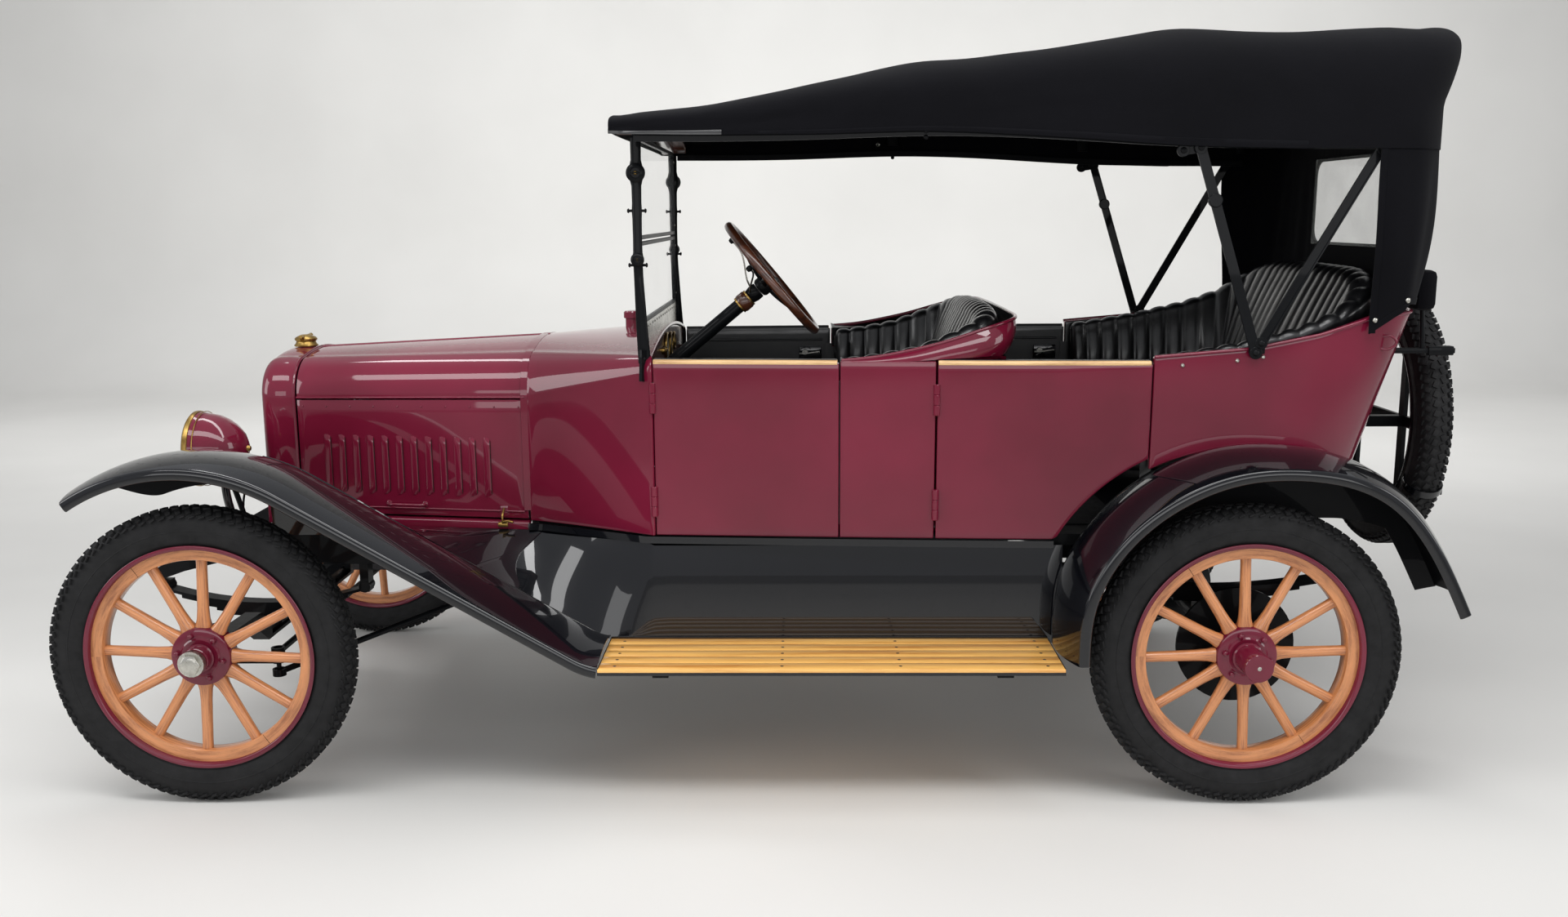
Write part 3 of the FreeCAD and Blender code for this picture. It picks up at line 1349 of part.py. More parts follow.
def spare_carrier():
    """The spare's own rim, held by a cross of bars on struts from the frame and the body."""
    rim = Part.Face(Part.Wire([line.toShape() for line in rim_outline()]))
    rim.rotate(ORIGIN, X_AXIS, 90)
    rim = rim.revolve(ORIGIN, Z_AXIS, 360)
    rim.rotate(ORIGIN, Y_AXIS, 90)
    rim.translate(SPARE)
    pieces = [rim]
    inner = size("felloe_radius")
    for side in (1, -1):
        pieces.append(box(SPARE.x - 6, SPARE.x + 6, side * 150 - 15, side * 150 + 15, SPARE.z - inner + 43,
                          SPARE.z + inner - 43))
        pieces.append(box(SPARE.x - 6, -1600, side * 150 - 15, side * 150 + 15, SPARE.z - 15, SPARE.z + 15))
        strut = [Vector(SPARE.x, side * 150, SPARE.z - 190), Vector(-1610, side * 150, RAIL_Z + 14)]
        pieces.append(rod(strut[0], strut[1], 11))
        pieces.append(box(-1634, -1586, side * 150 - 15, side * 150 + 15, RAIL_Z, RAIL_Z + 16))
    pieces.append(box(SPARE.x - 6, SPARE.x + 6, -inner, inner, SPARE.z - 15, SPARE.z + 15))
    carrier = fused(pieces)
    return carrier.cut(tub_volume(-FIT, BODY_Z, BODY_TOP))


node("spare_carrier", spare_carrier())

# Export

doc.recompute()
os.makedirs("parts", exist_ok=True)
for item in doc.Objects:
    for state in item.State:
        if state in ("Invalid", "Error"):
            raise RuntimeError("%s is %s" % (item.Label, state))
for item in nodes:
    if item.Shape.isNull() or not item.Shape.isValid():
        raise RuntimeError("%s has no valid shape" % item.Label)
    item.Shape.exportStep("parts/%s.step" % item.Label)
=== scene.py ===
import json
from math import atan, atan2, copysign, cos, dist, hypot, pi, radians, sin, sqrt, tan

import bmesh
import bpy
import numpy as np
from mathutils import Matrix, Vector, noise


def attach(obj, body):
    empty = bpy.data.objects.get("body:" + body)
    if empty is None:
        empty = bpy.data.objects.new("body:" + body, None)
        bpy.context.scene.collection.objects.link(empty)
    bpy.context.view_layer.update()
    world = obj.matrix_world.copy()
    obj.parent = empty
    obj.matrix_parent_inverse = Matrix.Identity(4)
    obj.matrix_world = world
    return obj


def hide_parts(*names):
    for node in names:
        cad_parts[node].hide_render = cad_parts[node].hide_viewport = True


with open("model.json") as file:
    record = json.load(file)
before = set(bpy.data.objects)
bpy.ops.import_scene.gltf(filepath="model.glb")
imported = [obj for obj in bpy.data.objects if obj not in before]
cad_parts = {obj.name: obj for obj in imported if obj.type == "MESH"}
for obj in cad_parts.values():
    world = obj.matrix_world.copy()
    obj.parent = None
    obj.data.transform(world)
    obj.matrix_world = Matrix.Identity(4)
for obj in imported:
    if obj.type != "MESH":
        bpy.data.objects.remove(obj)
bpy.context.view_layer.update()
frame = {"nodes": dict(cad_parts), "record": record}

NODES = frame["nodes"]

# Places below are in millimetres about the same point of the body as in the part's source:
# x forward, y to the car's left, z up. The record's origin lies 130 mm further back.
ORIGIN_X = 130.0
FRONT_AXLE_X = 1295.5
REAR_AXLE_X = -1295.5
WHEEL_Y = 711.0
TYRE_R = 381.0


def at(x, y, z):
    return Vector(((x + ORIGIN_X) / 1000, y / 1000, z / 1000))


# Materials

def tone(red, green, blue):
    """A colour as the eye reads it, turned into the linear values that the shader takes."""
    parts = []
    for value in (red, green, blue):
        v = value / 255
        parts.append(v / 12.92 if v <= 0.04045 else ((v + 0.055) / 1.055) ** 2.4)
    return (*parts, 1.0)


class Finish:
    """One procedural material, built node by node."""

    def __init__(self, name, rough=0.5, metallic=0.0, coat=0.0, coat_rough=0.05, sheen=0.0, spec=0.5):
        self.material = bpy.data.materials.new(name)
        self.material.use_nodes = True
        self.tree = self.material.node_tree
        self.shader = self.tree.nodes["Principled BSDF"]
        self.set("Roughness", rough)
        self.set("Metallic", metallic)
        self.set("Coat Weight", coat)
        self.set("Coat Roughness", coat_rough)
        self.set("Sheen Weight", sheen)
        self.set("Specular IOR Level", spec)
        coords = self.tree.nodes.new("ShaderNodeTexCoord")
        self.place = coords.outputs["Object"]
        self.bump_height = None

    def set(self, socket, value):
        self.shader.inputs[socket].default_value = value

    def link(self, source, target):
        self.tree.links.new(source, target)

    def math(self, kind, a, b=0.0):
        node = self.tree.nodes.new("ShaderNodeMath")
        node.operation = kind
        for socket, value in zip(node.inputs, (a, b)):
            if isinstance(value, (int, float)):
                socket.default_value = value
            else:
                self.link(value, socket)
        return node.outputs[0]

    def stretched(self, sx, sy, sz):
        node = self.tree.nodes.new("ShaderNodeMapping")
        node.inputs["Scale"].default_value = (sx, sy, sz)
        self.link(self.place, node.inputs["Vector"])
        return node.outputs[0]

    def noise(self, scale, detail=3.0, rough=0.5, vector=None):
        node = self.tree.nodes.new("ShaderNodeTexNoise")
        node.inputs["Scale"].default_value = scale
        node.inputs["Detail"].default_value = detail
        node.inputs["Roughness"].default_value = rough
        self.link(vector or self.place, node.inputs["Vector"])
        return node.outputs[0]

    def wave(self, scale, direction, distortion):
        node = self.tree.nodes.new("ShaderNodeTexWave")
        node.bands_direction = direction
        node.inputs["Scale"].default_value = scale
        node.inputs["Distortion"].default_value = distortion
        self.link(self.place, node.inputs["Vector"])
        return node.outputs["Fac"]

    def ramp(self, source, stops):
        node = self.tree.nodes.new("ShaderNodeValToRGB")
        self.link(source, node.inputs[0])
        ends = node.color_ramp.elements
        while len(ends) < len(stops):
            ends.new(0.5)
        for end, (where, colour) in zip(ends, stops):
            end.position = where
            end.color = colour
        return node.outputs[0]

    def colour(self, source):
        self.link(source, self.shader.inputs["Base Color"])

    def rough(self, source, low, high):
        node = self.tree.nodes.new("ShaderNodeMapRange")
        node.inputs["To Min"].default_value = low
        node.inputs["To Max"].default_value = high
        self.link(source, node.inputs["Value"])
        self.link(node.outputs[0], self.shader.inputs["Roughness"])

    def bump(self, height, strength, distance):
        node = self.tree.nodes.new("ShaderNodeBump")
        node.inputs["Strength"].default_value = strength
        node.inputs["Distance"].default_value = distance
        self.link(height, node.inputs["Height"])
        if self.bump_height is not None:
            self.link(self.bump_height, node.inputs["Normal"])
        self.bump_height = node.outputs[0]
        self.link(node.outputs[0], self.shader.inputs["Normal"])


def lacquer(name, low, high, coat=1.0, rough=0.34):
    """Hand-rubbed body lacquer: deep colour under a clear coat, with a faint unevenness."""
    f = Finish(name, rough=rough, coat=coat, coat_rough=0.03, spec=0.06)
    cloud = f.noise(2.2, 4)
    f.colour(f.ramp(cloud, [(0.35, low), (0.68, high)]))
    f.rough(f.noise(38, 5, 0.6), rough - 0.05, rough + 0.09)
    f.bump(f.noise(9, 2), 0.05, 0.004)
    f.bump(f.noise(420, 2), 0.035, 0.0004)
    return f.material


def rubber():
    f = Finish("tyre_rubber", rough=0.72, spec=0.25)
    f.colour(f.ramp(f.noise(26, 6, 0.65), [(0.3, tone(17, 17, 18)), (0.7, tone(32, 32, 33))]))
    f.rough(f.noise(60, 4), 0.58, 0.82)
    f.bump(f.noise(900, 3), 0.12, 0.0006)
    return f.material


def lighter(colour, by):
    return tuple(min(1, v * by) for v in colour[:3]) + (1,)


def wood(name, dark, light, streaks, coat=0.6, rough=0.36, own_grain=False):
    """Varnished wood: long growth streaks with fine pores along the grain.
    A turned piece carries its grain's direction with it, in a layer of its own."""
    f = Finish(name, rough=rough, coat=coat, coat_rough=0.12)
    if own_grain:
        layer = f.tree.nodes.new("ShaderNodeUVMap")
        layer.uv_map = "grain"
        f.place = layer.outputs[0]
    grain = f.stretched(0.06, 1, 1)
    bands = f.noise(streaks, 5, 0.62, grain)
    pores = f.noise(streaks * 9, 3, 0.7, grain)
    share = f.math("ADD", f.math("MULTIPLY", bands, 0.78), f.math("MULTIPLY", pores, 0.22))
    f.colour(f.ramp(share, [(0.36, dark), (0.52, light), (0.66, lighter(light, 1.18))]))
    f.rough(pores, rough - 0.08, rough + 0.12)
    f.bump(pores, 0.10, 0.0008)
    return f.material


def canvas_cloth(name, low, high):
    """Rubberised black top cloth: a fine twill that takes lint and fades a little."""
    f = Finish(name, rough=0.9, sheen=0.02, spec=0.1)
    f.set("Sheen Roughness", 0.6)
    fade = f.noise(3.5, 5, 0.6)
    lint = f.noise(300, 2, 0.7)
    share = f.math("ADD", f.math("MULTIPLY", fade, 0.7), f.math("MULTIPLY", lint, 0.3))
    f.colour(f.ramp(share, [(0.3, low), (0.72, high)]))
    warp = f.wave(520, "X", 0.6)
    weft = f.wave(520, "Z", 0.6)
    f.bump(f.math("MULTIPLY", warp, weft), 0.22, 0.0007)
    f.bump(f.noise(16, 4), 0.16, 0.004)
    return f.material


def leather(name, low, high, rough=0.36):
    f = Finish(name, rough=rough, coat=0.55, coat_rough=0.16, spec=0.5)
    f.colour(f.ramp(f.noise(14, 4), [(0.3, low), (0.75, high)]))
    grain = f.tree.nodes.new("ShaderNodeTexVoronoi")
    grain.feature = "DISTANCE_TO_EDGE"
    grain.inputs["Scale"].default_value = 420
    f.link(f.place, grain.inputs["Vector"])
    f.bump(grain.outputs["Distance"], 0.30, 0.0008)
    f.bump(f.noise(55, 4, 0.6), 0.22, 0.002)
    f.rough(f.noise(40, 4), rough - 0.08, rough + 0.14)
    return f.material


def metal(name, low, high, rough, tarnish=0.5):
    f = Finish(name, rough=rough, metallic=1.0)
    f.colour(f.ramp(f.noise(24, 5, 0.65), [(tarnish - 0.2, low), (tarnish + 0.2, high)]))
    f.rough(f.noise(120, 4), rough - 0.07, rough + 0.14)
    f.bump(f.noise(260, 3), 0.05, 0.0004)
    return f.material


def clear(name, tint, rough=0.02, alpha=0.16):
    """Glass or celluloid: mostly seen through, with its own gloss and a little dust."""
    f = Finish(name, rough=rough, spec=0.6)
    f.colour(f.ramp(f.noise(6, 4), [(0.3, tint), (0.8, lighter(tint, 1.1))]))
    node = f.tree.nodes.new("ShaderNodeMapRange")
    node.inputs["To Min"].default_value = alpha * 0.7
    node.inputs["To Max"].default_value = alpha * 1.4
    f.link(f.noise(9, 5, 0.6), node.inputs["Value"])
    f.link(node.outputs[0], f.shader.inputs["Alpha"])
    return f.material


MAROON = lacquer("maroon_lacquer", tone(94, 13, 36), tone(114, 21, 48))
BLACK = lacquer("black_enamel", tone(7, 8, 12), tone(12, 13, 18), rough=0.24)
CHASSIS = lacquer("chassis_black", tone(10, 11, 13), tone(18, 19, 21), coat=0.12, rough=0.46)
RUBBER = rubber()
SPOKE = wood("spoke_hickory", tone(150, 88, 50), tone(202, 134, 84), 150, own_grain=True)
BOARD = wood("board_planks", tone(204, 134, 54), tone(240, 184, 100), 30, coat=0.8, rough=0.3)
WALNUT = wood("dark_walnut", tone(40, 18, 10), tone(76, 38, 20), 60, coat=0.7, rough=0.3)
CAP_RAIL = wood("door_cap_ash", tone(172, 128, 78), tone(214, 176, 124), 50, coat=0.4, rough=0.4)
CANVAS = canvas_cloth("black_top_cloth", tone(2, 2, 5), tone(7, 7, 12))
LEATHER = leather("black_pleated_leather", tone(3, 3, 5), tone(8, 8, 11), 0.37)
BRASS = metal("aged_brass", tone(112, 84, 40), tone(190, 158, 92), 0.34)
NICKEL = metal("dull_nickel", tone(150, 148, 140), tone(212, 210, 202), 0.26)
STEEL = metal("cast_iron_grey", tone(52, 52, 54), tone(92, 92, 94), 0.5)
CORE = metal("radiator_tubes", tone(30, 28, 26), tone(64, 60, 54), 0.55)
PANE = clear("window_glass", tone(205, 214, 212), alpha=0.10)
CELLULOID = clear("rear_window_sheet", tone(214, 218, 214), rough=0.12, alpha=0.22)
LENS = clear("lamp_lens", tone(226, 232, 232), rough=0.08, alpha=0.4)
SLOTS = {"maroon_paint": MAROON, "black_paint": BLACK, "tyre_rubber": RUBBER, "spoke_wood": SPOKE,
    "board_wood": BOARD, "dark_wood": WALNUT, "black_leather": LEATHER, "black_canvas": CANVAS,
    "pane": PANE, "brass": BRASS, "lens": LENS, "core_metal": CORE, "cast_metal": STEEL}



def paint(name, material):
    """Gives a node of the construction its finish."""
    NODES[name].data.materials.clear()
    NODES[name].data.materials.append(material)


for row in frame["record"]["subparts"]:
    paint(row["node"], SLOTS[row["material_slot"]])
for name in ("chassis_frame", "front_axle", "rear_axle", "leaf_springs", "knuckle_left",
        "knuckle_right", "tie_rod", "drag_link", "pitman_arm", "spare_carrier", "exhaust", "floor"):
    paint(name, CHASSIS)
paint("rear_window", CELLULOID)

# Making meshes

def add_object(name, mesh):
    item = bpy.data.objects.new(name, mesh)
    bpy.context.scene.collection.objects.link(item)
    return item


def piece(name, points, faces, *materials, crease=38):
    """A finished mesh, its faces turned outwards and its sharp edges kept."""
    mesh = bpy.data.meshes.new(name)
    mesh.from_pydata([tuple(p) for p in points], [], faces)
    item = add_object(name, mesh)
    tidy(item, crease)
    for material in materials:
        mesh.materials.append(material)
    return item


def tidy(item, crease):
    """Merges points that fall together, turns the faces outwards and keeps the sharp edges."""
    shape = bmesh.new()
    shape.from_mesh(item.data)
    bmesh.ops.remove_doubles(shape, verts=shape.verts, dist=0.00002)
    bmesh.ops.recalc_face_normals(shape, faces=shape.faces)
    shape.to_mesh(item.data)
    shape.free()
    item.data.shade_smooth()
    item.data.set_sharp_from_angle(angle=radians(crease))


def settle(item, crease=None):
    """Turns an object's modifiers into its mesh."""
    graph = bpy.context.evaluated_depsgraph_get()
    mesh = bpy.data.meshes.new_from_object(item.evaluated_get(graph))
    item.modifiers.clear()
    item.data = mesh
    if crease:
        mesh.shade_smooth()
        mesh.set_sharp_from_angle(angle=radians(crease))
    return item


def rounded(item, width, segments=2):
    edge = item.modifiers.new("edges", "BEVEL")
    edge.width = width / 1000
    edge.segments = segments
    edge.limit_method = "ANGLE"
    edge.angle_limit = radians(40)
    return item


def thickened(item, depth, offset=-1.0, second=0):
    wall = item.modifiers.new("thickness", "SOLIDIFY")
    wall.thickness = depth / 1000
    wall.offset = offset
    wall.use_even_offset = True
    wall.material_offset = second
    return item


def walled(item, depth, soft=0, crease=35):
    """A sheet given its depth, with its own second finish inside, and edges rounded by soft."""
    thickened(item, depth, second=1)
    if soft:
        rounded(item, soft, 3 if soft > 2 else 2)
    return settle(item, crease)


def grid_faces(rows, columns, closed_rows=False, closed_columns=False):
    faces = []
    for i in range(rows if closed_rows else rows - 1):
        for j in range(columns if closed_columns else columns - 1):
            a, b = i * columns + j, i * columns + (j + 1) % columns
            c, d = ((i + 1) % rows) * columns + (j + 1) % columns, ((i + 1) % rows) * columns + j
            faces.append((a, b, c, d))
    return faces


def skin(name, rows, *materials, crease=38, closed_rows=False, closed_columns=False):
    """A surface through rows of points."""
    points = [p for row in rows for p in row]
    return piece(name, points, grid_faces(len(rows), len(rows[0]), closed_rows, closed_columns),
        *materials, crease=crease)


def capped(name, rows, material, crease=38):
    """A closed section carried through rows of points, with both of its ends shut."""
    count = len(rows[0])
    last = (len(rows) - 1) * count
    faces = grid_faces(len(rows), count, False, True)
    faces += [tuple(range(count)), tuple(last + k for k in range(count))[::-1]]
    return piece(name, [p for row in rows for p in row], faces, material, crease=crease)


def turned(name, profile, material, steps=96, crease=38, grain=False):
    """A ring or shaft about the Y axis, from (radius, place along Y) points in millimetres."""
    points = []
    for k in range(steps):
        angle = 2 * pi * k / steps
        for radius, along in profile:
            points.append((radius * cos(angle) / 1000, along / 1000, radius * sin(angle) / 1000))
    faces = grid_faces(steps, len(profile), True, True)
    mesh = bpy.data.meshes.new(name)
    mesh.from_pydata(points, [], faces)
    if grain:
        layer = mesh.uv_layers.new(name="grain")
        around = 2 * pi * profile[0][0] / 1000
        for face in mesh.polygons:
            for corner in face.loop_indices:
                index = mesh.loops[corner].vertex_index
                k, j = divmod(index, len(profile))
                if k == 0 and face.index >= (steps - 1) * len(profile):
                    k = steps
                layer.data[corner].uv = (around * k / steps, 0.012 * j)
    item = add_object(name, mesh)
    tidy(item, crease)
    mesh.materials.append(material)
    return item


def joined(name, items):
    """One mesh out of several."""
    bpy.ops.object.select_all(action="DESELECT")
    for item in items:
        item.select_set(True)
    bpy.context.view_layer.objects.active = items[0]
    if len(items) > 1:
        bpy.ops.object.join()
    items[0].name = name
    items[0].data.name = name
    return items[0]


def moved(item, matrix):
    """Puts a piece's place into its mesh."""
    item.data.transform(matrix)
    if matrix.determinant() < 0:
        item.data.flip_normals()
    item.data.update()
    return item


def copy_of(item, name, matrix):
    twin = add_object(name, item.data.copy())
    return moved(twin, matrix)


ACROSS = Matrix.Diagonal((1, -1, 1, 1))
UPRIGHT = Matrix.Rotation(pi / 2, 4, "X")
QUARTER_TURN = Matrix.Rotation(pi / 2, 4, "Z")


def to_place(x, y, z):
    return Matrix.Translation(at(x, y, z))


def placed(item, x, y, z):
    """Moves a piece made about the origin to its place on the car."""
    return moved(item, to_place(x, y, z))


def turn_to(way):
    """Turns a piece made along +Y to look along another way."""
    return Vector((0, 1, 0)).rotation_difference(Vector(way)).to_matrix().to_4x4()


def both_sides(half):
    """One side's (y, z) points and, mirrored, the other's; the last one lies on the middle."""
    return half + [(-y, z) for y, z in reversed(half[:-1])]


def other_side(item, name):
    """The same piece mirrored to the car's right."""
    return copy_of(item, name, ACROSS)


def on_both_sides(name, parts):
    """Parts of the left side and their mirror images as one piece."""
    left = joined(name, parts)
    return joined(name, [left, other_side(left, name + "_right")])


def fitted(item, body, slot, *replaced):
    """Hands a finished piece to the frame: what it rides on and what it stands for; the slot that names its
    finish is not used.
    """
    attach(item, body)
    if replaced:
        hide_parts(*replaced)
    return item


# Geometry Nodes for what repeats

def repeat_tree(name, setting, kind):
    """Sets a mesh on each of Count points; how they lie is wired by ring_tree or row_tree."""
    tree = bpy.data.node_groups.new(name, "GeometryNodeTree")
    inputs = [("Geometry", "NodeSocketGeometry"), ("Count", "NodeSocketInt"), (setting, kind),
        ("Finish", "NodeSocketMaterial")]
    for label, socket in inputs:
        tree.interface.new_socket(label, in_out="INPUT", socket_type=socket)
    tree.interface.new_socket("Geometry", in_out="OUTPUT", socket_type="NodeSocketGeometry")
    kinds = ("NodeGroupInput", "NodeGroupOutput", "GeometryNodePoints", "GeometryNodeInputIndex",
        "GeometryNodeInstanceOnPoints", "GeometryNodeRealizeInstances", "GeometryNodeSetMaterial")
    start, end, spots, number, place, real, dress = [tree.nodes.new(node) for node in kinds]
    wire = tree.links.new
    wire(start.outputs["Count"], spots.inputs["Count"])
    wire(spots.outputs[0], place.inputs["Points"])
    wire(start.outputs["Geometry"], place.inputs["Instance"])
    wire(place.outputs[0], real.inputs[0])
    wire(real.outputs[0], dress.inputs["Geometry"])
    wire(start.outputs["Finish"], dress.inputs["Material"])
    wire(dress.outputs[0], end.inputs[0])
    return tree, start, spots, number, place


def ring_tree():
    """Repeats a mesh round the Y axis."""
    tree, start, spots, number, place = repeat_tree("ring_of_pieces", "First Angle", "NodeSocketFloat")
    share = tree.nodes.new("ShaderNodeMath")
    share.operation = "DIVIDE"
    angle = tree.nodes.new("ShaderNodeMath")
    angle.operation = "MULTIPLY_ADD"
    angle.inputs[1].default_value = 2 * pi
    turn = tree.nodes.new("ShaderNodeCombineXYZ")
    wire = tree.links.new
    wire(number.outputs[0], share.inputs[0])
    wire(start.outputs["Count"], share.inputs[1])
    wire(share.outputs[0], angle.inputs[0])
    wire(start.outputs["First Angle"], angle.inputs[2])
    wire(angle.outputs[0], turn.inputs["Y"])
    wire(turn.outputs[0], place.inputs["Rotation"])
    return tree


def row_tree():
    """Repeats a mesh along a straight step."""
    tree, start, spots, number, place = repeat_tree("row_of_pieces", "Step", "NodeSocketVector")
    along = tree.nodes.new("ShaderNodeVectorMath")
    along.operation = "SCALE"
    tree.links.new(start.outputs["Step"], along.inputs[0])
    tree.links.new(number.outputs[0], along.inputs["Scale"])
    tree.links.new(along.outputs[0], spots.inputs["Position"])
    return tree


def repeated(item, tree, settings, crease):
    """Runs a tree on a piece and keeps the result as its mesh."""
    modifier = item.modifiers.new("repeat", "NODES")
    modifier.node_group = tree
    names = {socket.name: socket.identifier for socket in tree.interface.items_tree
        if socket.in_out == "INPUT"}
    for label, value in settings.items():
        modifier[names[label]] = value
    return settle(item, crease)


RING = ring_tree()
ROW = row_tree()


def ring_of(item, count, material, first=0.0):
    return repeated(item, RING, {"Count": count, "First Angle": first, "Finish": material}, 38)


def row_of(item, count, step, material):
    return repeated(item, ROW, {"Count": count, "Step": step, "Finish": material}, 60)


# Wheels and tyres, made about the Y axis with the outside at +Y

def spoke(radii):
    """One turned spoke with a wedge-shaped foot, standing along Z from the hub to the felloe."""
    sides = 12
    rows = []
    for radius, wide, deep in radii:
        row = []
        for k in range(sides):
            angle = 2 * pi * k / sides
            square = 1 + 0.10 * abs(sin(2 * angle)) if radius < 80 else 1
            row.append((wide / 2 * cos(angle) * square / 1000, deep / 2 * sin(angle) * square / 1000,
                radius / 1000))
        rows.append(row)
    item = capped("spoke", rows, SPOKE, 50)
    layer = item.data.uv_layers.new(name="grain")
    for face in item.data.polygons:
        for corner in face.loop_indices:
            spot = item.data.vertices[item.data.loops[corner].vertex_index].co
            layer.data[corner].uv = (spot.z, atan2(spot.y, spot.x) * 0.014)
    return item


def rounded_block(name, size, place, round_by, material):
    """A small block with soft edges, sizes and place in millimetres."""
    mesh = bpy.data.meshes.new(name)
    shape = bmesh.new()
    bmesh.ops.create_cube(shape, size=1)
    shape.to_mesh(mesh)
    shape.free()
    mesh.transform(Matrix.Translation(Vector(place) / 1000) @ Matrix.Diagonal(
        (*[s / 1000 for s in size], 1)))
    mesh.materials.append(material)
    item = add_object(name, mesh)
    if round_by:
        rounded(item, round_by, 2)
        settle(item, 40)
    return item


def body_block(name, size, place, round_by, material):
    """The same block at a place on the car."""
    x, y, z = place
    return rounded_block(name, size, (x + ORIGIN_X, y, z), round_by, material)


def hex_bolt(name, radius, height, material):
    """A bolt head with a washer and a domed end, along +Y from the origin."""
    parts = [turned("washer", [(0, 0), (radius * 1.25, 0), (radius * 1.25, height * 0.18),
        (0, height * 0.18)], material, 18)]
    points = []
    for along, size in ((0.18, 1.0), (0.72, 1.0), (0.9, 0.86), (1.0, 0.55)):
        for k in range(6):
            angle = pi / 3 * k
            points.append((radius * size * cos(angle) / 1000, height * along / 1000,
                radius * size * sin(angle) / 1000))
    faces = grid_faces(4, 6, False, True) + [tuple(range(18, 24))]
    parts.append(piece("head", points, faces, material, crease=30))
    return joined(name, parts)


def tyre(name):
    """A straight-sided casing with a blocky tread moulded round it."""
    bead = 292.6
    half = 38.0
    top = bead + 82
    count = 92
    profile = [(bead - 9, -24), (bead - 7, -30), (bead + 5, -36), (bead + 28, -half - 2),
        (bead + 46, -half - 1.5), (bead + 61, -half + 1), (bead + 70, -half + 5),
        (bead + 77, -half + 12), (bead + 82.5, -18), (bead + 84.2, -8), (bead + 84.8, 0)]
    profile += [(r, -y) for r, y in profile[-2::-1]]
    parts = [turned("casing", profile, RUBBER, 120, crease=70)]
    tread_rows = ((11, 14, 17, 5.4, 0, 0.0), (28, 14, 13, -0.6, 38, 0.5), (38.0, 4, 15, -11.5, 68, 0.0))
    for out, wide, long, lift, lean, shift in tread_rows:
        for side in (-1, 1):
            block = rounded_block("tread", (long, wide, 9), (0, 0, 0), 1.0, RUBBER)
            block.data.transform(Matrix.Rotation(radians(24 * side), 4, "Z"))
            block.data.transform(Matrix.Rotation(radians(-lean * side), 4, "X"))
            block.data.transform(Matrix.Translation((0, side * out / 1000, (top + lift - 4.2) / 1000)))
            offset = shift if side < 0 else 0.5 - shift
            parts.append(ring_of(block, count, RUBBER, 2 * pi * offset / count))
    for y in (-1, 1):
        rib = [(bead + 30, y * 39.5), (bead + 32, y * 41), (bead + 34, y * 39.5)]
        parts.append(turned("rib", rib, RUBBER, 120))
    return joined(name, parts)


def steel_rim(name, material):
    """The channel that the tyre's beads sit in, its lips rolled outwards."""
    half = [(275.6, -34), (277, -36), (285, -38), (287.4, -36.5), (286.4, -33.5), (283, -31), (282.6, -26)]
    return turned(name, half + [(r, -y) for r, y in reversed(half)], material, 140, crease=50)


def wheel_parts(front):
    """Wood, rim and hub of one wheel."""
    twist = radians(-2.5 if front else 2.0)
    wood_parts = [ring_of(spoke([(62, 36, 38), (76, 37, 36), (92, 32, 32), (120, 28.5, 28),
        (185, 27, 26), (232, 26, 26), (252, 27, 28)]), 12, SPOKE, twist)]
    wood_parts.append(turned("felloe", [(247, -20), (248.5, -22), (276, -22), (276, 22), (248.5, 22),
        (247, 20)], SPOKE, 120, grain=True))
    gap = rounded_block("joint", (1.0, 44.6, 28.4), (0, 0, 262), 0, CHASSIS)
    wood_parts.append(ring_of(gap, 2, CHASSIS, 0.6))
    timber = joined("timber", wood_parts)
    steel = steel_rim("rim", MAROON)
    flange = [(14, 20), (14, 24), (40, 29), (46, 30), (50, 27), (69, 26.2), (73, 24.5), (74, 21),
        (74, -22), (70, -25), (14, -26)]
    hub = [turned("flange", flange, MAROON, 64, crease=30)]
    bolt = hex_bolt("bolt", 7.0, 11.0, MAROON)
    bolt.data.transform(Matrix.Translation((0, 0.0258, 0.057)))
    hub.append(ring_of(bolt, 6, MAROON, 0.35))
    if front:
        hub.append(turned("barrel", [(12, 20), (34, 27), (36, 30), (36, 33), (32.5, 34.5), (32, 56),
            (30, 58), (30, 62), (31.5, 63), (31.5, 66), (12, 67)], MAROON, 48, crease=30))
        cap = [turned("skirt", [(10, 64), (30, 65), (32, 67), (32, 80), (30, 83), (10, 83)], NICKEL, 48,
            crease=30), hex_bolt("nut", 26, 13.5, NICKEL)]
        cap[1].data.transform(Matrix.Translation((0, 0.0805, 0)))
        cap.append(turned("dome", [(1, 93.6), (12, 93.2), (15, 92.4), (1, 90)], NICKEL, 24))
        crown = joined("crown", cap)
    else:
        hub.append(turned("barrel", [(12, 20), (36, 27), (38, 30), (38, 36), (34.5, 38), (34, 92),
            (34.6, 93), (34.6, 117), (33.4, 118.6), (12, 119)], MAROON, 56, crease=30))
        hub.append(turned("face", [(0.5, 118.6), (33, 118.8), (33, 112), (0.5, 112)], MAROON, 56))
        crown = turned("dot", [(0.4, 120.4), (3.6, 120.0), (5.0, 118.8), (0.4, 118)], NICKEL, 20)
    return timber, steel, joined("hub", hub), crown


SPARE_X = -1892.0
SPARE_Z = 880.0
SPARE_PLACE = to_place(SPARE_X, 0, SPARE_Z) @ QUARTER_TURN


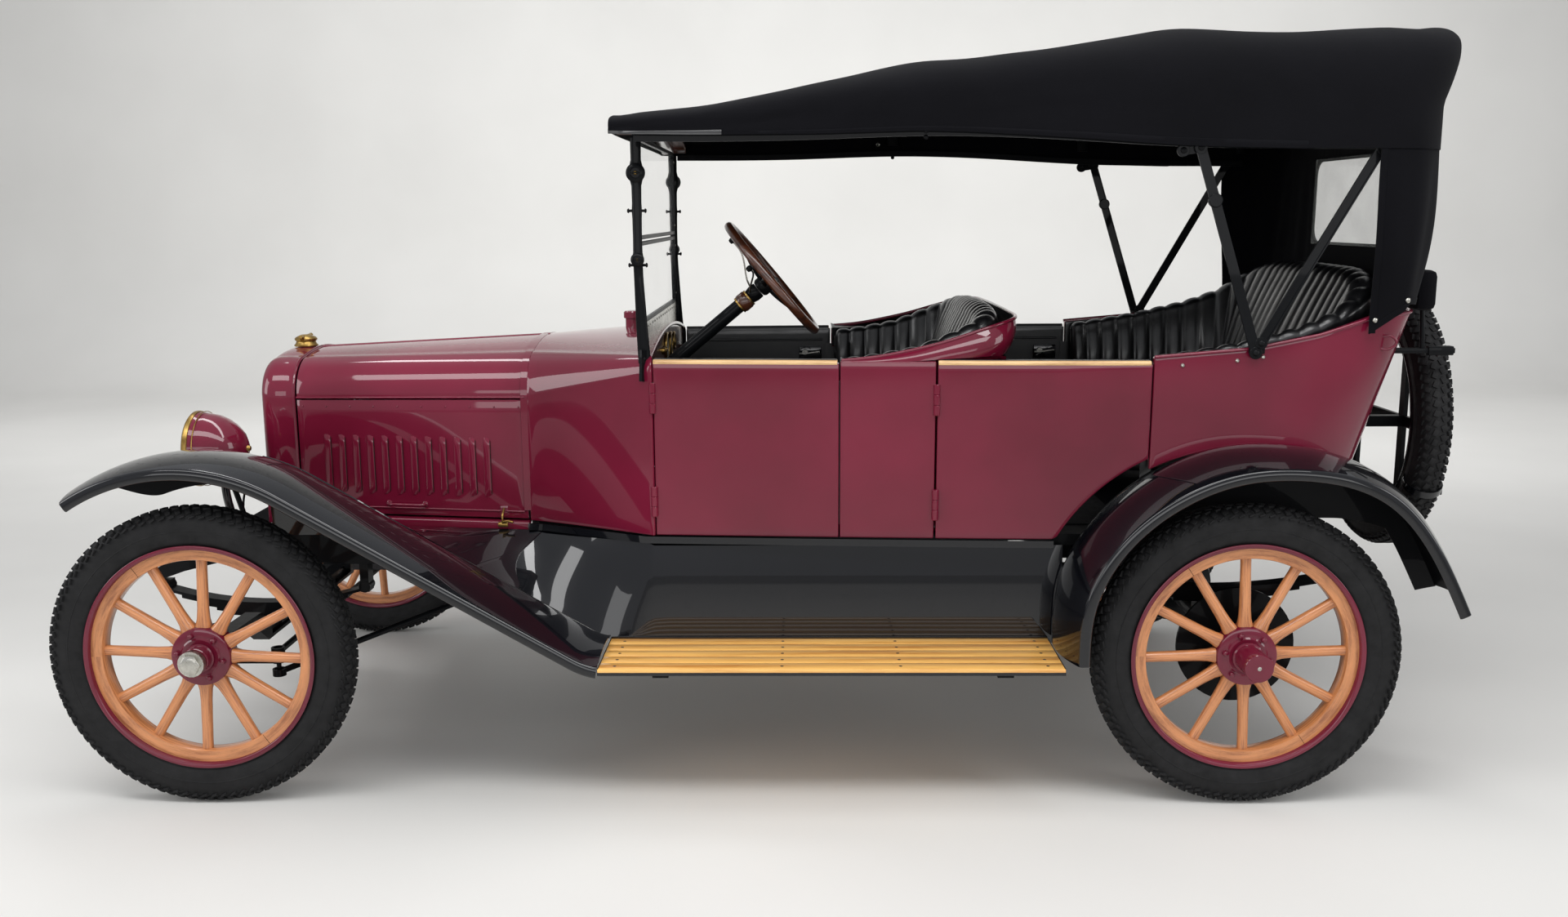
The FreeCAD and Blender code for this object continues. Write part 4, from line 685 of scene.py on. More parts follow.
def add_wheels():
    casing = tyre("tyre_master")
    for front in (True, False):
        masters = wheel_parts(front)
        end = "front" if front else "rear"
        for side, hand in ((1, "left"), (-1, "right")):
            axle = FRONT_AXLE_X if front else REAR_AXLE_X
            body = "%s_%s_wheel" % (end, hand)
            place = to_place(axle, side * WHEEL_Y, TYRE_R)
            if side < 0:
                place = place @ Matrix.Rotation(pi, 4, "Z")
            cad = "%s_%s" % (end, hand)
            names = ("wheel_timber_", "wheel_rim_", "wheel_hub_", "hub_cap_")
            slots = ("spoke_wood", "maroon_paint", "maroon_paint", "brass")
            for master, name, slot in zip(masters, names, slots):
                part = copy_of(master, name + cad, place)
                fitted(part, body, slot, *(["wheel_" + cad] if name == "wheel_timber_" else []))
            fitted(copy_of(casing, "tyre_casing_" + cad, place), body, "tyre_rubber", "tyre_" + cad)
        for master in masters:
            bpy.data.objects.remove(master)
    fitted(copy_of(casing, "spare_casing", SPARE_PLACE), "car", "tyre_rubber", "spare_tyre")
    bpy.data.objects.remove(casing)


add_wheels()

# Lines of the body

class Line:
    """A smooth line through points: a natural cubic in each of their values."""

    def __init__(self, knots, points):
        self.knots = np.array(knots, float)
        self.points = np.array(points, float)
        count = len(self.knots)
        step = np.diff(self.knots)
        left = np.zeros((count, count))
        right = np.zeros_like(self.points)
        left[0, 0] = left[-1, -1] = 1
        for i in range(1, count - 1):
            left[i, i - 1:i + 2] = step[i - 1], 2 * (step[i - 1] + step[i]), step[i]
            right[i] = 6 * ((self.points[i + 1] - self.points[i]) / step[i]
                - (self.points[i] - self.points[i - 1]) / step[i - 1])
        self.bend = np.linalg.solve(left, right)

    def __call__(self, t):
        i = int(np.clip(np.searchsorted(self.knots, t) - 1, 0, len(self.knots) - 2))
        h = self.knots[i + 1] - self.knots[i]
        a = (self.knots[i + 1] - t) / h
        b = (t - self.knots[i]) / h
        return (a * self.points[i] + b * self.points[i + 1]
            + ((a ** 3 - a) * self.bend[i] + (b ** 3 - b) * self.bend[i + 1]) * h * h / 6)


def lengths(points):
    """How far along each point lies."""
    found = [0.0]
    for p, q in zip(points, points[1:]):
        found.append(found[-1] + dist(p, q))
    return found


def spread(start, end, count):
    return [start + (end - start) * i / (count - 1) for i in range(count)]


def read_off(table, where, column=1):
    """A value from a table, in proportion between its rows."""
    return float(np.interp(where, [row[0] for row in table], [row[column] for row in table]))


def level(points, x):
    """Height of a broken line at x; the points run from front to rear."""
    xs = [-p[0] for p in points]
    return float(np.interp(-x, xs, [p[1] for p in points]))


FLOOR_Z = 640.0
RIM_Z = 1230.0
DOOR_TOP = 1089.0
WALL = 28.0
HALF_RIM = [(183, 530), (-292, 562), (-541, 578), (-1068, 600), (-1400, 600), (-1600, 584),
    (-1716, 534), (-1766, 442), (-1781, 300), (-1786, 120)]
HALF_SILL = [(183, 522), (-292, 552), (-541, 566), (-1068, 585), (-1290, 584), (-1446, 566),
    (-1540, 514), (-1582, 432), (-1597, 300), (-1602, 120)]
WHOLE_RIM = HALF_RIM + [(x, -y) for x, y in reversed(HALF_RIM)]
WHOLE_SILL = HALF_SILL + [(x, -y) for x, y in reversed(HALF_SILL)]
KNOTS = lengths(WHOLE_RIM)
RIM_LINE = Line(KNOTS, WHOLE_RIM)
SILL_LINE = Line(KNOTS, WHOLE_SILL)


def tub(t, z):
    """A point of the body's outside, as x and y, from how far round it is and its height."""
    share = (z - FLOOR_Z) / (RIM_Z - FLOOR_Z)
    return SILL_LINE(t) * (1 - share) + RIM_LINE(t) * share


def round_at(x, z):
    """How far round the left side a given x lies."""
    low, high = 0.0, KNOTS[-1] / 2
    for _ in range(26):
        middle = (low + high) / 2
        if tub(middle, z)[0] > x:
            low = middle
        else:
            high = middle
    return (low + high) / 2


def side_y(x, z):
    return float(tub(round_at(x, z), z)[1])


def arch_z(x, radius):
    """Height of the rear wheel's arch in the body side at x."""
    reach = x - REAR_AXLE_X
    if abs(reach) >= radius:
        return 0.0
    return TYRE_R + sqrt(radius ** 2 - reach ** 2)


def faced(item, toward):
    """Turns an open sheet so that it looks away from a point, in millimetres."""
    middle = at(*toward)
    share = sum(face.area * face.normal.dot(face.center - middle) for face in item.data.polygons)
    if share < 0:
        item.data.flip_normals()
    return item


def side_panel(name, x0, x1, top, low):
    """A body panel between two upright edges, lined on its inside."""
    rows = []
    for x in spread(x0, x1, 44):
        rows.append([at(x, side_y(x, z), z) for z in spread(low(x), top, 22)])
    return walled(faced(skin(name, rows, MAROON, LEATHER), ((x0 + x1) / 2, 0, 800)), WALL, 3)


def hinge_leaf(name, x, y, on_door):
    """Barrels of a door hinge: the middle one turns with the door."""
    parts = []
    for z in (FLOOR_Z + 90, DOOR_TOP - 90):
        spans = [(z - 13, z + 13)] if on_door else [(z - 39.3, z - 13.3), (z + 13.3, z + 39.3)]
        for low, high in spans:
            barrel = turned("barrel", [(0.5, low), (7.4, low), (8.6, low + 1.4), (8.6, high - 1.4),
                (7.4, high), (0.5, high)], MAROON, 20)
            barrel.data.transform(UPRIGHT)
            parts.append(placed(barrel, x, y, 0))
    return joined(name, parts)


def strip(name, points, section, material, crease=50):
    """A moulding: a closed section carried along a line of points, upright, in millimetres."""
    rows = []
    for i, p in enumerate(points):
        before = points[i - 1] if i else p
        after = points[i + 1] if i < len(points) - 1 else p
        ahead = (Vector(after) - Vector(before)).normalized()
        side = ahead.cross(Vector((0, 0, 1)))
        side = side.normalized() if side.length > 0.05 else Vector((0, 1, 0))
        up = side.cross(ahead).normalized()
        rows.append([at(*(Vector(p) + side * a + up * b)) for a, b in section])
    return capped(name, rows, material, crease)


def oval(wide, tall, sides):
    angles = [2 * pi * k / sides for k in range(sides)]
    return [(wide / 2 * cos(a), tall / 2 * sin(a)) for a in angles]


def bar(name, points, radius, material, sides=12):
    """A round bar or pipe through points."""
    return strip(name, points, oval(radius * 2, radius * 2, sides), material)


def smooth_points(points, steps=8):
    """More points on a smooth line through these."""
    knots = lengths(points)
    line = Line(knots, points)
    return [tuple(line(t)) for t in spread(0, knots[-1], (len(points) - 1) * steps + 1)]


def dome(name, radius, height, place, axis, material, steps=16):
    """A rivet or bolt head standing on a surface, along an axis."""
    head = turned(name, [(radius, 0), (radius * 0.94, height * 0.45), (radius * 0.66, height * 0.84),
        (0.05, height)], material, steps)
    return moved(head, to_place(*place) @ turn_to(axis))


def cap_rail(name, x0, x1, top):
    """The varnished strip on a door's top edge."""
    points = [(x, side_y(x, top) - 13, top + 1.5) for x in spread(x0, x1, 18)]
    section = [(-13, -4), (13, -4), (14, -1), (13, 4), (9, 6.5), (-9, 6.5), (-13, 4), (-14, -1)]
    return strip(name, points, section, CAP_RAIL, crease=60)


def add_door_stops():
    """Leather-covered strips on the body that the free edges of the doors shut against."""
    parts = []
    for x in (-294.5, -1071.0):
        rows = []
        for z in spread(668, 1040, 12):
            y = side_y(x, z) - WALL - 3.6
            rows.append([at(x + 14, y, z), at(x - 14, y, z)])
        parts.append(settle(thickened(faced(skin("stop", rows, LEATHER), (x, 0, 850)), 1.6), 40))
    fitted(on_both_sides("door_stops", parts), "car", "black_leather")


add_door_stops()


def door_foot(x):
    """The lower edge of doors and panels: the floor's height, or the wheel's arch where it is higher."""
    return max(FLOOR_Z, arch_z(x, 520))


def add_doors():
    """Four doors: skin, hinge, leather trim, lock case, map pocket and varnished cap rail."""
    spans = {"front": (178, -292), "rear": (-541, -1068)}
    hinges = {"front": (180.5, 527), "rear": (-538.5, 575)}
    for end, (x0, x1) in spans.items():
        parts = [side_panel("door_skin_%s" % end, x0, x1 - 1.6, DOOR_TOP, door_foot),
            hinge_leaf("hinge", *hinges[end], True)]
        seam = []
        for x in spread(x0 - 22, x1 + 22, 20):
            seam.append((x, side_y(x, 1052) - WALL - 1.2, 1052))
        parts.append(strip("welt", seam, oval(7, 7, 8), LEATHER))
        edge = [(x, side_y(x, DOOR_TOP) - 21.5, DOOR_TOP + 1.5) for x in spread(x0 - 3, x1 + 3, 18)]
        parts.append(strip("edge_binding", edge,
            [(-7.5, -6), (7.5, -6), (7.5, 6.2), (5.5, 8), (-5.5, 8), (-7.5, 6)], LEATHER))
        latch = [rounded_block("case", (74, 12, 46), (0, 0, 0), 2.5, BLACK),
            turned("boss", [(0.5, -17), (9, -17), (10, -15), (10, 0), (0.5, 0)], NICKEL, 24)]
        latch[1].data.transform(Matrix.Translation((0.018, 0, 0.004)))
        lever = bar("lever", [(0, 0, 0), (18, -2, -2), (52, -4, -7), (66, -5, -5)], 3.6, NICKEL)
        lever.data.transform(Matrix.Translation((-ORIGIN_X / 1000 - 0.03, -0.016, 0.006)))
        latch.append(lever)
        lock_x = x1 + 62
        lock = joined("lock", latch)
        placed(lock, lock_x, side_y(lock_x, 1008) - WALL - 5, 1008)
        parts.append(lock)
        pocket_x = (x0 + x1) / 2
        rows = []
        for x in spread(pocket_x - 120, pocket_x + 120, 15):
            bulge = 9 * (1 - ((x - pocket_x) / 122) ** 4)
            y = side_y(x, 800) - WALL
            top_y = side_y(x, 900) - WALL
            rows.append([at(x, y - 0.5, 760), at(x, y - bulge * 0.8, 768), at(x, y - bulge, 800),
                at(x, top_y - bulge - 3, 880), at(x, top_y - bulge - 3.5, 900),
                at(x, top_y - bulge + 0.5, 901), at(x, top_y - bulge, 890)])
        parts.append(skin("map_pocket", rows, LEATHER))
        whole = joined("door_panel_" + end, parts)
        rail = cap_rail("door_cap_" + end, x0 - 2, x1 + 2, DOOR_TOP)
        hand = other_side(whole, "door_panel_%s_right" % end)
        rail_hand = other_side(rail, "door_cap_%s_right" % end)
        for side, panel, cap in (("left", whole, rail), ("right", hand, rail_hand)):
            panel.name = "door_panel_%s_%s" % (end, side)
            cap.name = "door_cap_%s_%s" % (end, side)
            fitted(panel, "%s_%s_door" % (end, side), "maroon_paint", "door_%s_%s" % (end, side))
            fitted(cap, "%s_%s_door" % (end, side), "board_wood")


add_doors()


def quarter_top(x):
    """Height of the quarters' rim at x."""
    return level([(-1073, 1106), (-1310, 1126), (-1480, 1160), (-1620, 1204), (-1900, 1214)], x)


QUARTER_FRONT = -1073.0


def quarter_z(t):
    """The rim's height at a distance round the body, found in steps, as the body leans in with height."""
    z = 1106.0
    for _ in range(12):
        z = quarter_top(tub(t, z)[0])
    return z


def quarter_foot(t, top):
    """Where the quarter ends below: at the floor, or at the wheel's arch."""
    low, high = FLOOR_Z, top
    for _ in range(20):
        middle = (low + high) / 2
        if middle < arch_z(tub(t, middle)[0], 494):
            low = middle
        else:
            high = middle
    return high if high > FLOOR_Z + 1 else FLOOR_Z


def add_tonneau():
    """Rear quarters and back in one sweep, with a rolled rim and a leather lining."""
    rows = []
    first = round_at(QUARTER_FRONT, 900)
    for t in spread(first, KNOTS[-1] - first, 150):
        top = quarter_z(t)
        rows.append([at(*tub(t, z), z) for z in spread(quarter_foot(t, top), top, 26)])
    shell = walled(faced(skin("quarters", rows, MAROON, LEATHER), (-1300, 0, 800)), 26, 4)
    first = round_at(QUARTER_FRONT, 1106)
    heights = [(t, quarter_z(t)) for t in spread(first, KNOTS[-1] - first, 150)]
    rim = [(*tub(t, z), z + 1) for t, z in heights]
    parts = [shell, strip("rolled_rim", rim, oval(9, 9, 12), MAROON)]
    for x in (-1142, -1276, -1339):
        z = quarter_top(x) - 25
        for side in (1, -1):
            parts.append(dome("stud", 5.2, 5, (x, side * side_y(x, z), z), (0, side, 0), NICKEL))
    inner_arch = []
    for step in range(41):
        angle = radians(-68 + 118 * step / 40)
        x = REAR_AXLE_X - 514 * sin(angle)
        z = TYRE_R + 514 * cos(angle)
        if z < FLOOR_Z + 4 or x < -1470 or x > -1068:
            continue
        inner_arch.append([at(x, side_y(x, z) - 24, z - 1), at(x, 470, z - 1), at(x, 462, z - 14)])
    for side in (1, -1):
        rows = [[Vector((p.x, p.y * side, p.z)) for p in row] for row in inner_arch]
        parts.append(settle(thickened(skin("wheel_house", rows, CHASSIS), 3), 35))
    fitted(joined("tonneau_body", parts), "car", "maroon_paint", "rear_tonneau")


add_tonneau()


def add_front_seat_tub():
    """Centre panels between the doors, with the pressed seat tub that rises from them round the seat."""
    parts = []
    centre = side_panel("centre_panel", -297, -536, 1095, door_foot)
    parts += [centre, other_side(centre, "centre_panel_right")]
    pins = hinge_leaf("pins", -538.5, 575, False)
    parts += [pins, other_side(pins, "pins_right")]
    edge = [(-300, 556, 1097), (-380, 552, 1104), (-470, 548, 1120), (-560, 541, 1141),
        (-650, 524, 1168), (-722, 484, 1187), (-756, 410, 1194), (-762, 300, 1196), (-763, 150, 1197),
        (-763, 0, 1197)]
    foot = [(-297, 560, 1094), (-380, 563, 1094), (-470, 567, 1095), (-560, 560, 1100),
        (-640, 548, 1103), (-704, 508, 1104), (-730, 430, 1100), (-734, 300, 1098), (-734, 150, 1098),
        (-734, 0, 1098)]
    knots = lengths(edge)
    top_line = Line(knots, edge)
    low_line = Line(knots, foot)
    rows = []
    for t in spread(0, knots[-1], 64):
        top = Vector(top_line(t))
        low = Vector(low_line(t))
        out = Vector((0, 1, 0)) if top.x > -600 else Vector((top.x + 560, top.y * 0.5, 0)).normalized()
        swell = 0.14 * (top - low).length
        row = [top + (low - top) * s + out * sin(pi * s) * swell for s in spread(0, 1, 9)]
        if top.x > -725:
            inside = Vector((top.x, min(low.y - 20, 520), low.z - 6))
            foot_z = max(FLOOR_Z + 2, min(1088, 640 + (1089 - 640) * max(0, (-560 - top.x)) / 140))
            row.append(inside)
            if top.x < -470:
                row += [Vector((top.x, 482, foot_z)), Vector((top.x, 480, foot_z))]
            else:
                row += [Vector((top.x, 500, low.z - 30)), Vector((top.x, 480, low.z - 60))]
        else:
            row += [Vector((-700, min(low.y, 476), 1010)), Vector((-640, min(low.y, 474), 850)),
                Vector((-561, min(low.y, 470), 642))]
        rows.append(row)
    rows += [[Vector((p.x, -p.y, p.z)) for p in row] for row in reversed(rows[:-1])]
    tub_skin = faced(skin("tub", [[at(*p) for p in row] for row in rows], MAROON, LEATHER), (-420, 0, 1000))
    parts.append(walled(tub_skin, 5, crease=38))
    line = [tuple(top_line(t)) for t in spread(0, knots[-1], 64)]
    line += [(x, -y, z) for x, y, z in reversed(line[:-1])]
    parts.append(strip("rolled_edge", line, oval(9, 9, 12), MAROON))
    parts.append(body_block("seat_riser", (10, 936, 176), (-106, 0, 730), 3, BLACK))
    fitted(joined("front_seat_tub", parts), "car", "maroon_paint", "front_seat_shell")


add_front_seat_tub()


# Scuttle and hood

SHELL_REAR = FRONT_AXLE_X - 95.5
SHELL_FRONT = SHELL_REAR + 101
HOOD_FRONT = SHELL_REAR - 5
DASH_X = 540.0
SCUTTLE_REAR = 183.0
# Half width, height of the seam between top and side, and height of the ridge, at either end of the hood.
NOSE_HALF, NOSE_SEAM, NOSE_RIDGE = 247.0, 966.0, 1085.0
DASH_HALF, DASH_SEAM, DASH_RIDGE = 345.0, 978.0, 1119.0
HOOD_REAR = DASH_X + 5
CATCHES = (1120.0, 612.0)


def along_hood(front, rear, x):
    return front + (rear - front) * (SHELL_REAR - x) / (SHELL_REAR - DASH_X)


def hood_half(x):
    return along_hood(NOSE_HALF, DASH_HALF, x)


def hinge_z(x):
    return along_hood(NOSE_SEAM, DASH_SEAM, x)


def ridge_z(x):
    return along_hood(NOSE_RIDGE, DASH_RIDGE, x)


def arc_through(a, b, c, count):
    """Points on the circle through three flat points."""
    ax, ay, bx, by, cx, cy = *a, *b, *c
    d = 2 * (ax * (by - cy) + bx * (cy - ay) + cx * (ay - by))
    ux = ((ax ** 2 + ay ** 2) * (by - cy) + (bx ** 2 + by ** 2) * (cy - ay) + (cx ** 2 + cy ** 2)
        * (ay - by)) / d
    uy = ((ax ** 2 + ay ** 2) * (cx - bx) + (bx ** 2 + by ** 2) * (ax - cx) + (cx ** 2 + cy ** 2)
        * (bx - ax)) / d
    radius = hypot(ax - ux, ay - uy)
    first = atan2(ay - uy, ax - ux)
    last = atan2(cy - uy, cx - ux)
    middle = atan2(by - uy, bx - ux)
    turn = (last - first) % (2 * pi)
    if (middle - first) % (2 * pi) > turn:
        turn -= 2 * pi
    return [(ux + radius * cos(first + turn * i / (count - 1)),
        uy + radius * sin(first + turn * i / (count - 1))) for i in range(count)]


def crown(half, low, top, rise):
    """Half of a crowned section, as (y, z): a round shoulder, then a gentle rise to the middle."""
    count = 14
    corner = top - rise - low
    shoulder = arc_through((half, low), (half - corner * 0.293, low + corner * 0.707),
        (half - corner, top - rise), count)
    reach = half - corner
    return shoulder + arc_through((reach, top - rise), (reach * 0.52, top - rise * 0.27), (0, top),
        count)[1:]


def add_scuttle():
    """The scuttle swells from the hood's section to the full width of the body."""
    parts = []
    rows = []
    for share in spread(0, 1, 34):
        x = DASH_X + (SCUTTLE_REAR - DASH_X) * share
        half = DASH_HALF + 185 * share ** 1.1
        shoulder = DASH_SEAM + 88 * share
        top = DASH_RIDGE + 27 * share
        section = [(half, z) for z in spread(FLOOR_Z, shoulder, 12)[:-1]]
        section += crown(half, shoulder, top, 26 + 14 * share)
        rows.append([at(x, y, z) for y, z in both_sides(section)])
    shell = faced(skin("scuttle_skin", rows, MAROON, BLACK), (360, 0, 800))
    parts.append(walled(shell, 9, 2.5, 30))
    half = DASH_HALF + 1.5
    ring = [(half, z) for z in spread(668, DASH_SEAM, 8)[:-1]] + crown(half, DASH_SEAM,
        DASH_RIDGE + 1.5, 26)
    x = DASH_X + 7
    band_rows = []
    for y, z in both_sides(ring):
        band_rows.append([at(x + 9, y * 0.995, z - 1.5), at(x + 8, y, z + 0.4), at(x - 10, y, z + 0.6),
            at(x - 12, y * 0.994, z - 1.5)])
    lace = skin("hood_lace", band_rows, MAROON)
    thickened(faced(lace, (x, 0, 800)), 2.5)
    parts.append(settle(lace, 40))
    pins = hinge_leaf("pins", 180.5, 527, False)
    parts += [pins, other_side(pins, "pins_right")]
    parts.append(bar("hinge_rod", [(DASH_X - 8, 0, DASH_RIDGE), (SHELL_REAR - 1, 0, NOSE_RIDGE)], 3.4,
        MAROON))
    tall = 56
    neck = turned("filler", [(0.5, 0), (21, 0), (21, tall - 22), (26, tall - 20), (26, tall - 4),
        (22, tall), (8, tall + 2), (0.5, tall + 2)], MAROON, 40, crease=30)
    neck.data.transform(UPRIGHT)
    parts.append(placed(neck, 290, 0, 1129))
    fitted(joined("scuttle", parts), "car", "maroon_paint", "cowl")


add_scuttle()


def add_hood_ledges():
    """Narrow ledges along the frame on which the lids' lower edges rest."""
    parts = []
    for side in (1, -1):
        ledge = []
        for x in spread(DASH_X + 0.5, SHELL_REAR - 0.5, 12):
            half = hood_half(x)
            ledge.append([at(x, side * (half - 26), 610.4), at(x, side * (half + 14), 610.4),
                at(x, side * (half + 21.8), 616), at(x, side * (half + 21.8), 635.8),
                at(x, side * (half + 18), 639.8), at(x, side * (half - 26), 639.8)])
        item = capped("ledge", ledge, MAROON)
        rounded(item, 1.5, 2)
        parts.append(settle(item, 40))
    fitted(joined("hood_ledges", parts), "car", "maroon_paint", "hood_sills")


add_hood_ledges()


def add_hood():
    """The hood's two top panels, crowned and hinged along the middle."""
    rows = []
    for x in spread(HOOD_FRONT, HOOD_REAR, 30):
        section = crown(hood_half(x), hinge_z(x), ridge_z(x), along_hood(14, 26, x))
        section = [(y, z) for y, z in section if y > 3.5] + [(3.5, ridge_z(x))]
        rows.append([at(x, y, z) for y, z in section])
    top = faced(skin("lid", rows, MAROON, BLACK), (850, 100, 700))
    walled(top, 3.6, 1.2, 30)
    hinge = bar("bead", [(x, hood_half(x) + 0.6, hinge_z(x)) for x in (HOOD_REAR, HOOD_FRONT)], 3.2, MAROON)
    whole = joined("hood_lid", [top, hinge])
    right = other_side(whole, "hood_lid_right")
    whole.name = "hood_lid_left"
    fitted(whole, "hood_top_left", "maroon_paint", "hood_top_left")
    fitted(right, "hood_top_right", "maroon_paint", "hood_top_right")


def louvre_master():
    """One pressed louvre: a raised lip that opens to the rear, fading out at both ends, with a dark strip
    in its opening as painted shade.
    """
    low, high = 703.0, 866.0
    rows = []
    for z in spread(low, high, 17):
        share = abs(2 * (z - low) / (high - low) - 1)
        lift = max(0.0, 1 - share ** 7) ** 0.5
        section = [(10, -0.4), (7, 2.0), (2, 4.4), (-2.5, 6.4), (-6, 7.4), (-7.4, 6.6), (-7.4, 4.6),
            (-6.2, -0.6)]
        rows.append([Vector((x / 1000, (y if y < 0 else y * lift) / 1000, z / 1000)) for x, y in section])
    lip = faced(skin("lip", rows, MAROON, crease=60), (0, 0, 0))
    # The slot is a dark strip of core metal set into the louvre's opening: painted shade where the opening
    # lies in shadow under the lip.
    slot = rounded_block("slot", (1.6, 5.4, 146), (-8.2, 2.2, (low + high) / 2), 0, CORE)
    return lip, slot


def add_hood_sides():
    """The two louvred side panels with their handles, and the catches that hold them down."""
    rows = []
    for x in spread(HOOD_FRONT, HOOD_REAR, 24):
        rows.append([at(x, hood_half(x), z) for z in spread(645, hinge_z(x) - 6.4, 10)])
    panel = faced(skin("side", rows, MAROON, BLACK), (850, 0, 800))
    parts = [walled(panel, 3.6, 1.2, 30)]
    first = HOOD_FRONT - 84
    pitch = 41.5
    lean = (hood_half(first - 11 * pitch) - hood_half(first)) / 11
    # Each louvre comes with its dark slot strip, which is painted shade in its opening.
    for item, finish in zip(louvre_master(), (MAROON, CORE)):
        turn = Matrix.Rotation(atan(98 / 655), 4, "Z")
        item.data.transform(turn)
        placed(item, first, hood_half(first), 0)
        parts.append(row_of(item, 12, (-pitch / 1000, lean / 1000, 0), finish))
    rivet = dome("rivet", 2.6, 1.8, (0, 0, 0), (0, 1, 0), MAROON, 10)
    rivet.data.transform(Matrix.Translation((-ORIGIN_X / 1000, 0, 0)))
    start, end = 1178.0, 562.0
    placed(rivet, start, hood_half(start) + 0.1, 943)
    step = (end - start) / 9
    parts.append(row_of(rivet, 10, (step / 1000, (hood_half(end) - hood_half(start)) / 9000,
        0.9 / 1000), MAROON))
    ends = [(x, hood_half(x) + 0.4, 664) for x in (HOOD_FRONT - 10, HOOD_REAR + 10)]
    parts.append(bar("bead", ends, 2.6, MAROON, 10))
    handle_x, handle_z = 890.0, 676
    grip = [(52, 0), (50, 10), (42, 15), (20, 17), (-20, 17), (-42, 15), (-50, 10), (-52, 0)]
    points = [(handle_x + dx, hood_half(handle_x + dx) + out, handle_z) for dx, out in grip]
    parts.append(bar("handle", smooth_points(points, 3), 4.2, MAROON, 12))
    for x in (handle_x + 52, handle_x - 52):
        parts.append(dome("boss", 8.5, 3.5, (x, hood_half(x), handle_z), (0.15, 1, 0), MAROON, 20))
    for x in CATCHES:
        plate = rounded_block("latch_plate", (22, 3, 30), (0, 0, 0), 1, MAROON)
        moved(plate, to_place(x, hood_half(x) + 1.2, 664) @ Matrix.Rotation(atan(0.149), 4, "Z"))
        parts.append(plate)
    whole = joined("hood_side_panel", parts)
    right = other_side(whole, "hood_side_panel_right")
    whole.name = "hood_side_panel_left"
    fitted(whole, "hood_side_left", "maroon_paint", "hood_side_left")
    fitted(right, "hood_side_right", "maroon_paint", "hood_side_right")
    catches = []
    for side in (1, -1):
        for x in CATCHES:
            y = hood_half(x) + 18
            loop = bar("loop", smooth_points([(x, y, 626), (x, y + 12, 640), (x, y + 12, 656),
                (x, y - 4, 668), (x, y - 12, 672)], 4), 3.2, BRASS, 10)
            pivot = turned("pivot", [(0.4, -13), (6.5, -13), (7.5, -11.5), (7.5, 11.5), (6.5, 13),
                (0.4, 13)], BRASS, 18)
            pivot.data.transform(QUARTER_TURN)
            placed(pivot, x, y + 6, 632)
            thumb = bar("thumb", [(x, y + 12, 640), (x - 16, y + 18, 644), (x - 30, y + 22, 641)], 3.6,
                BRASS, 10)
            part = joined("catch", [loop, pivot, thumb])
            catches.append(part if side > 0 else moved(part, ACROSS))
    fitted(joined("hood_catches", catches), "car", "brass")


add_hood()
add_hood_sides()


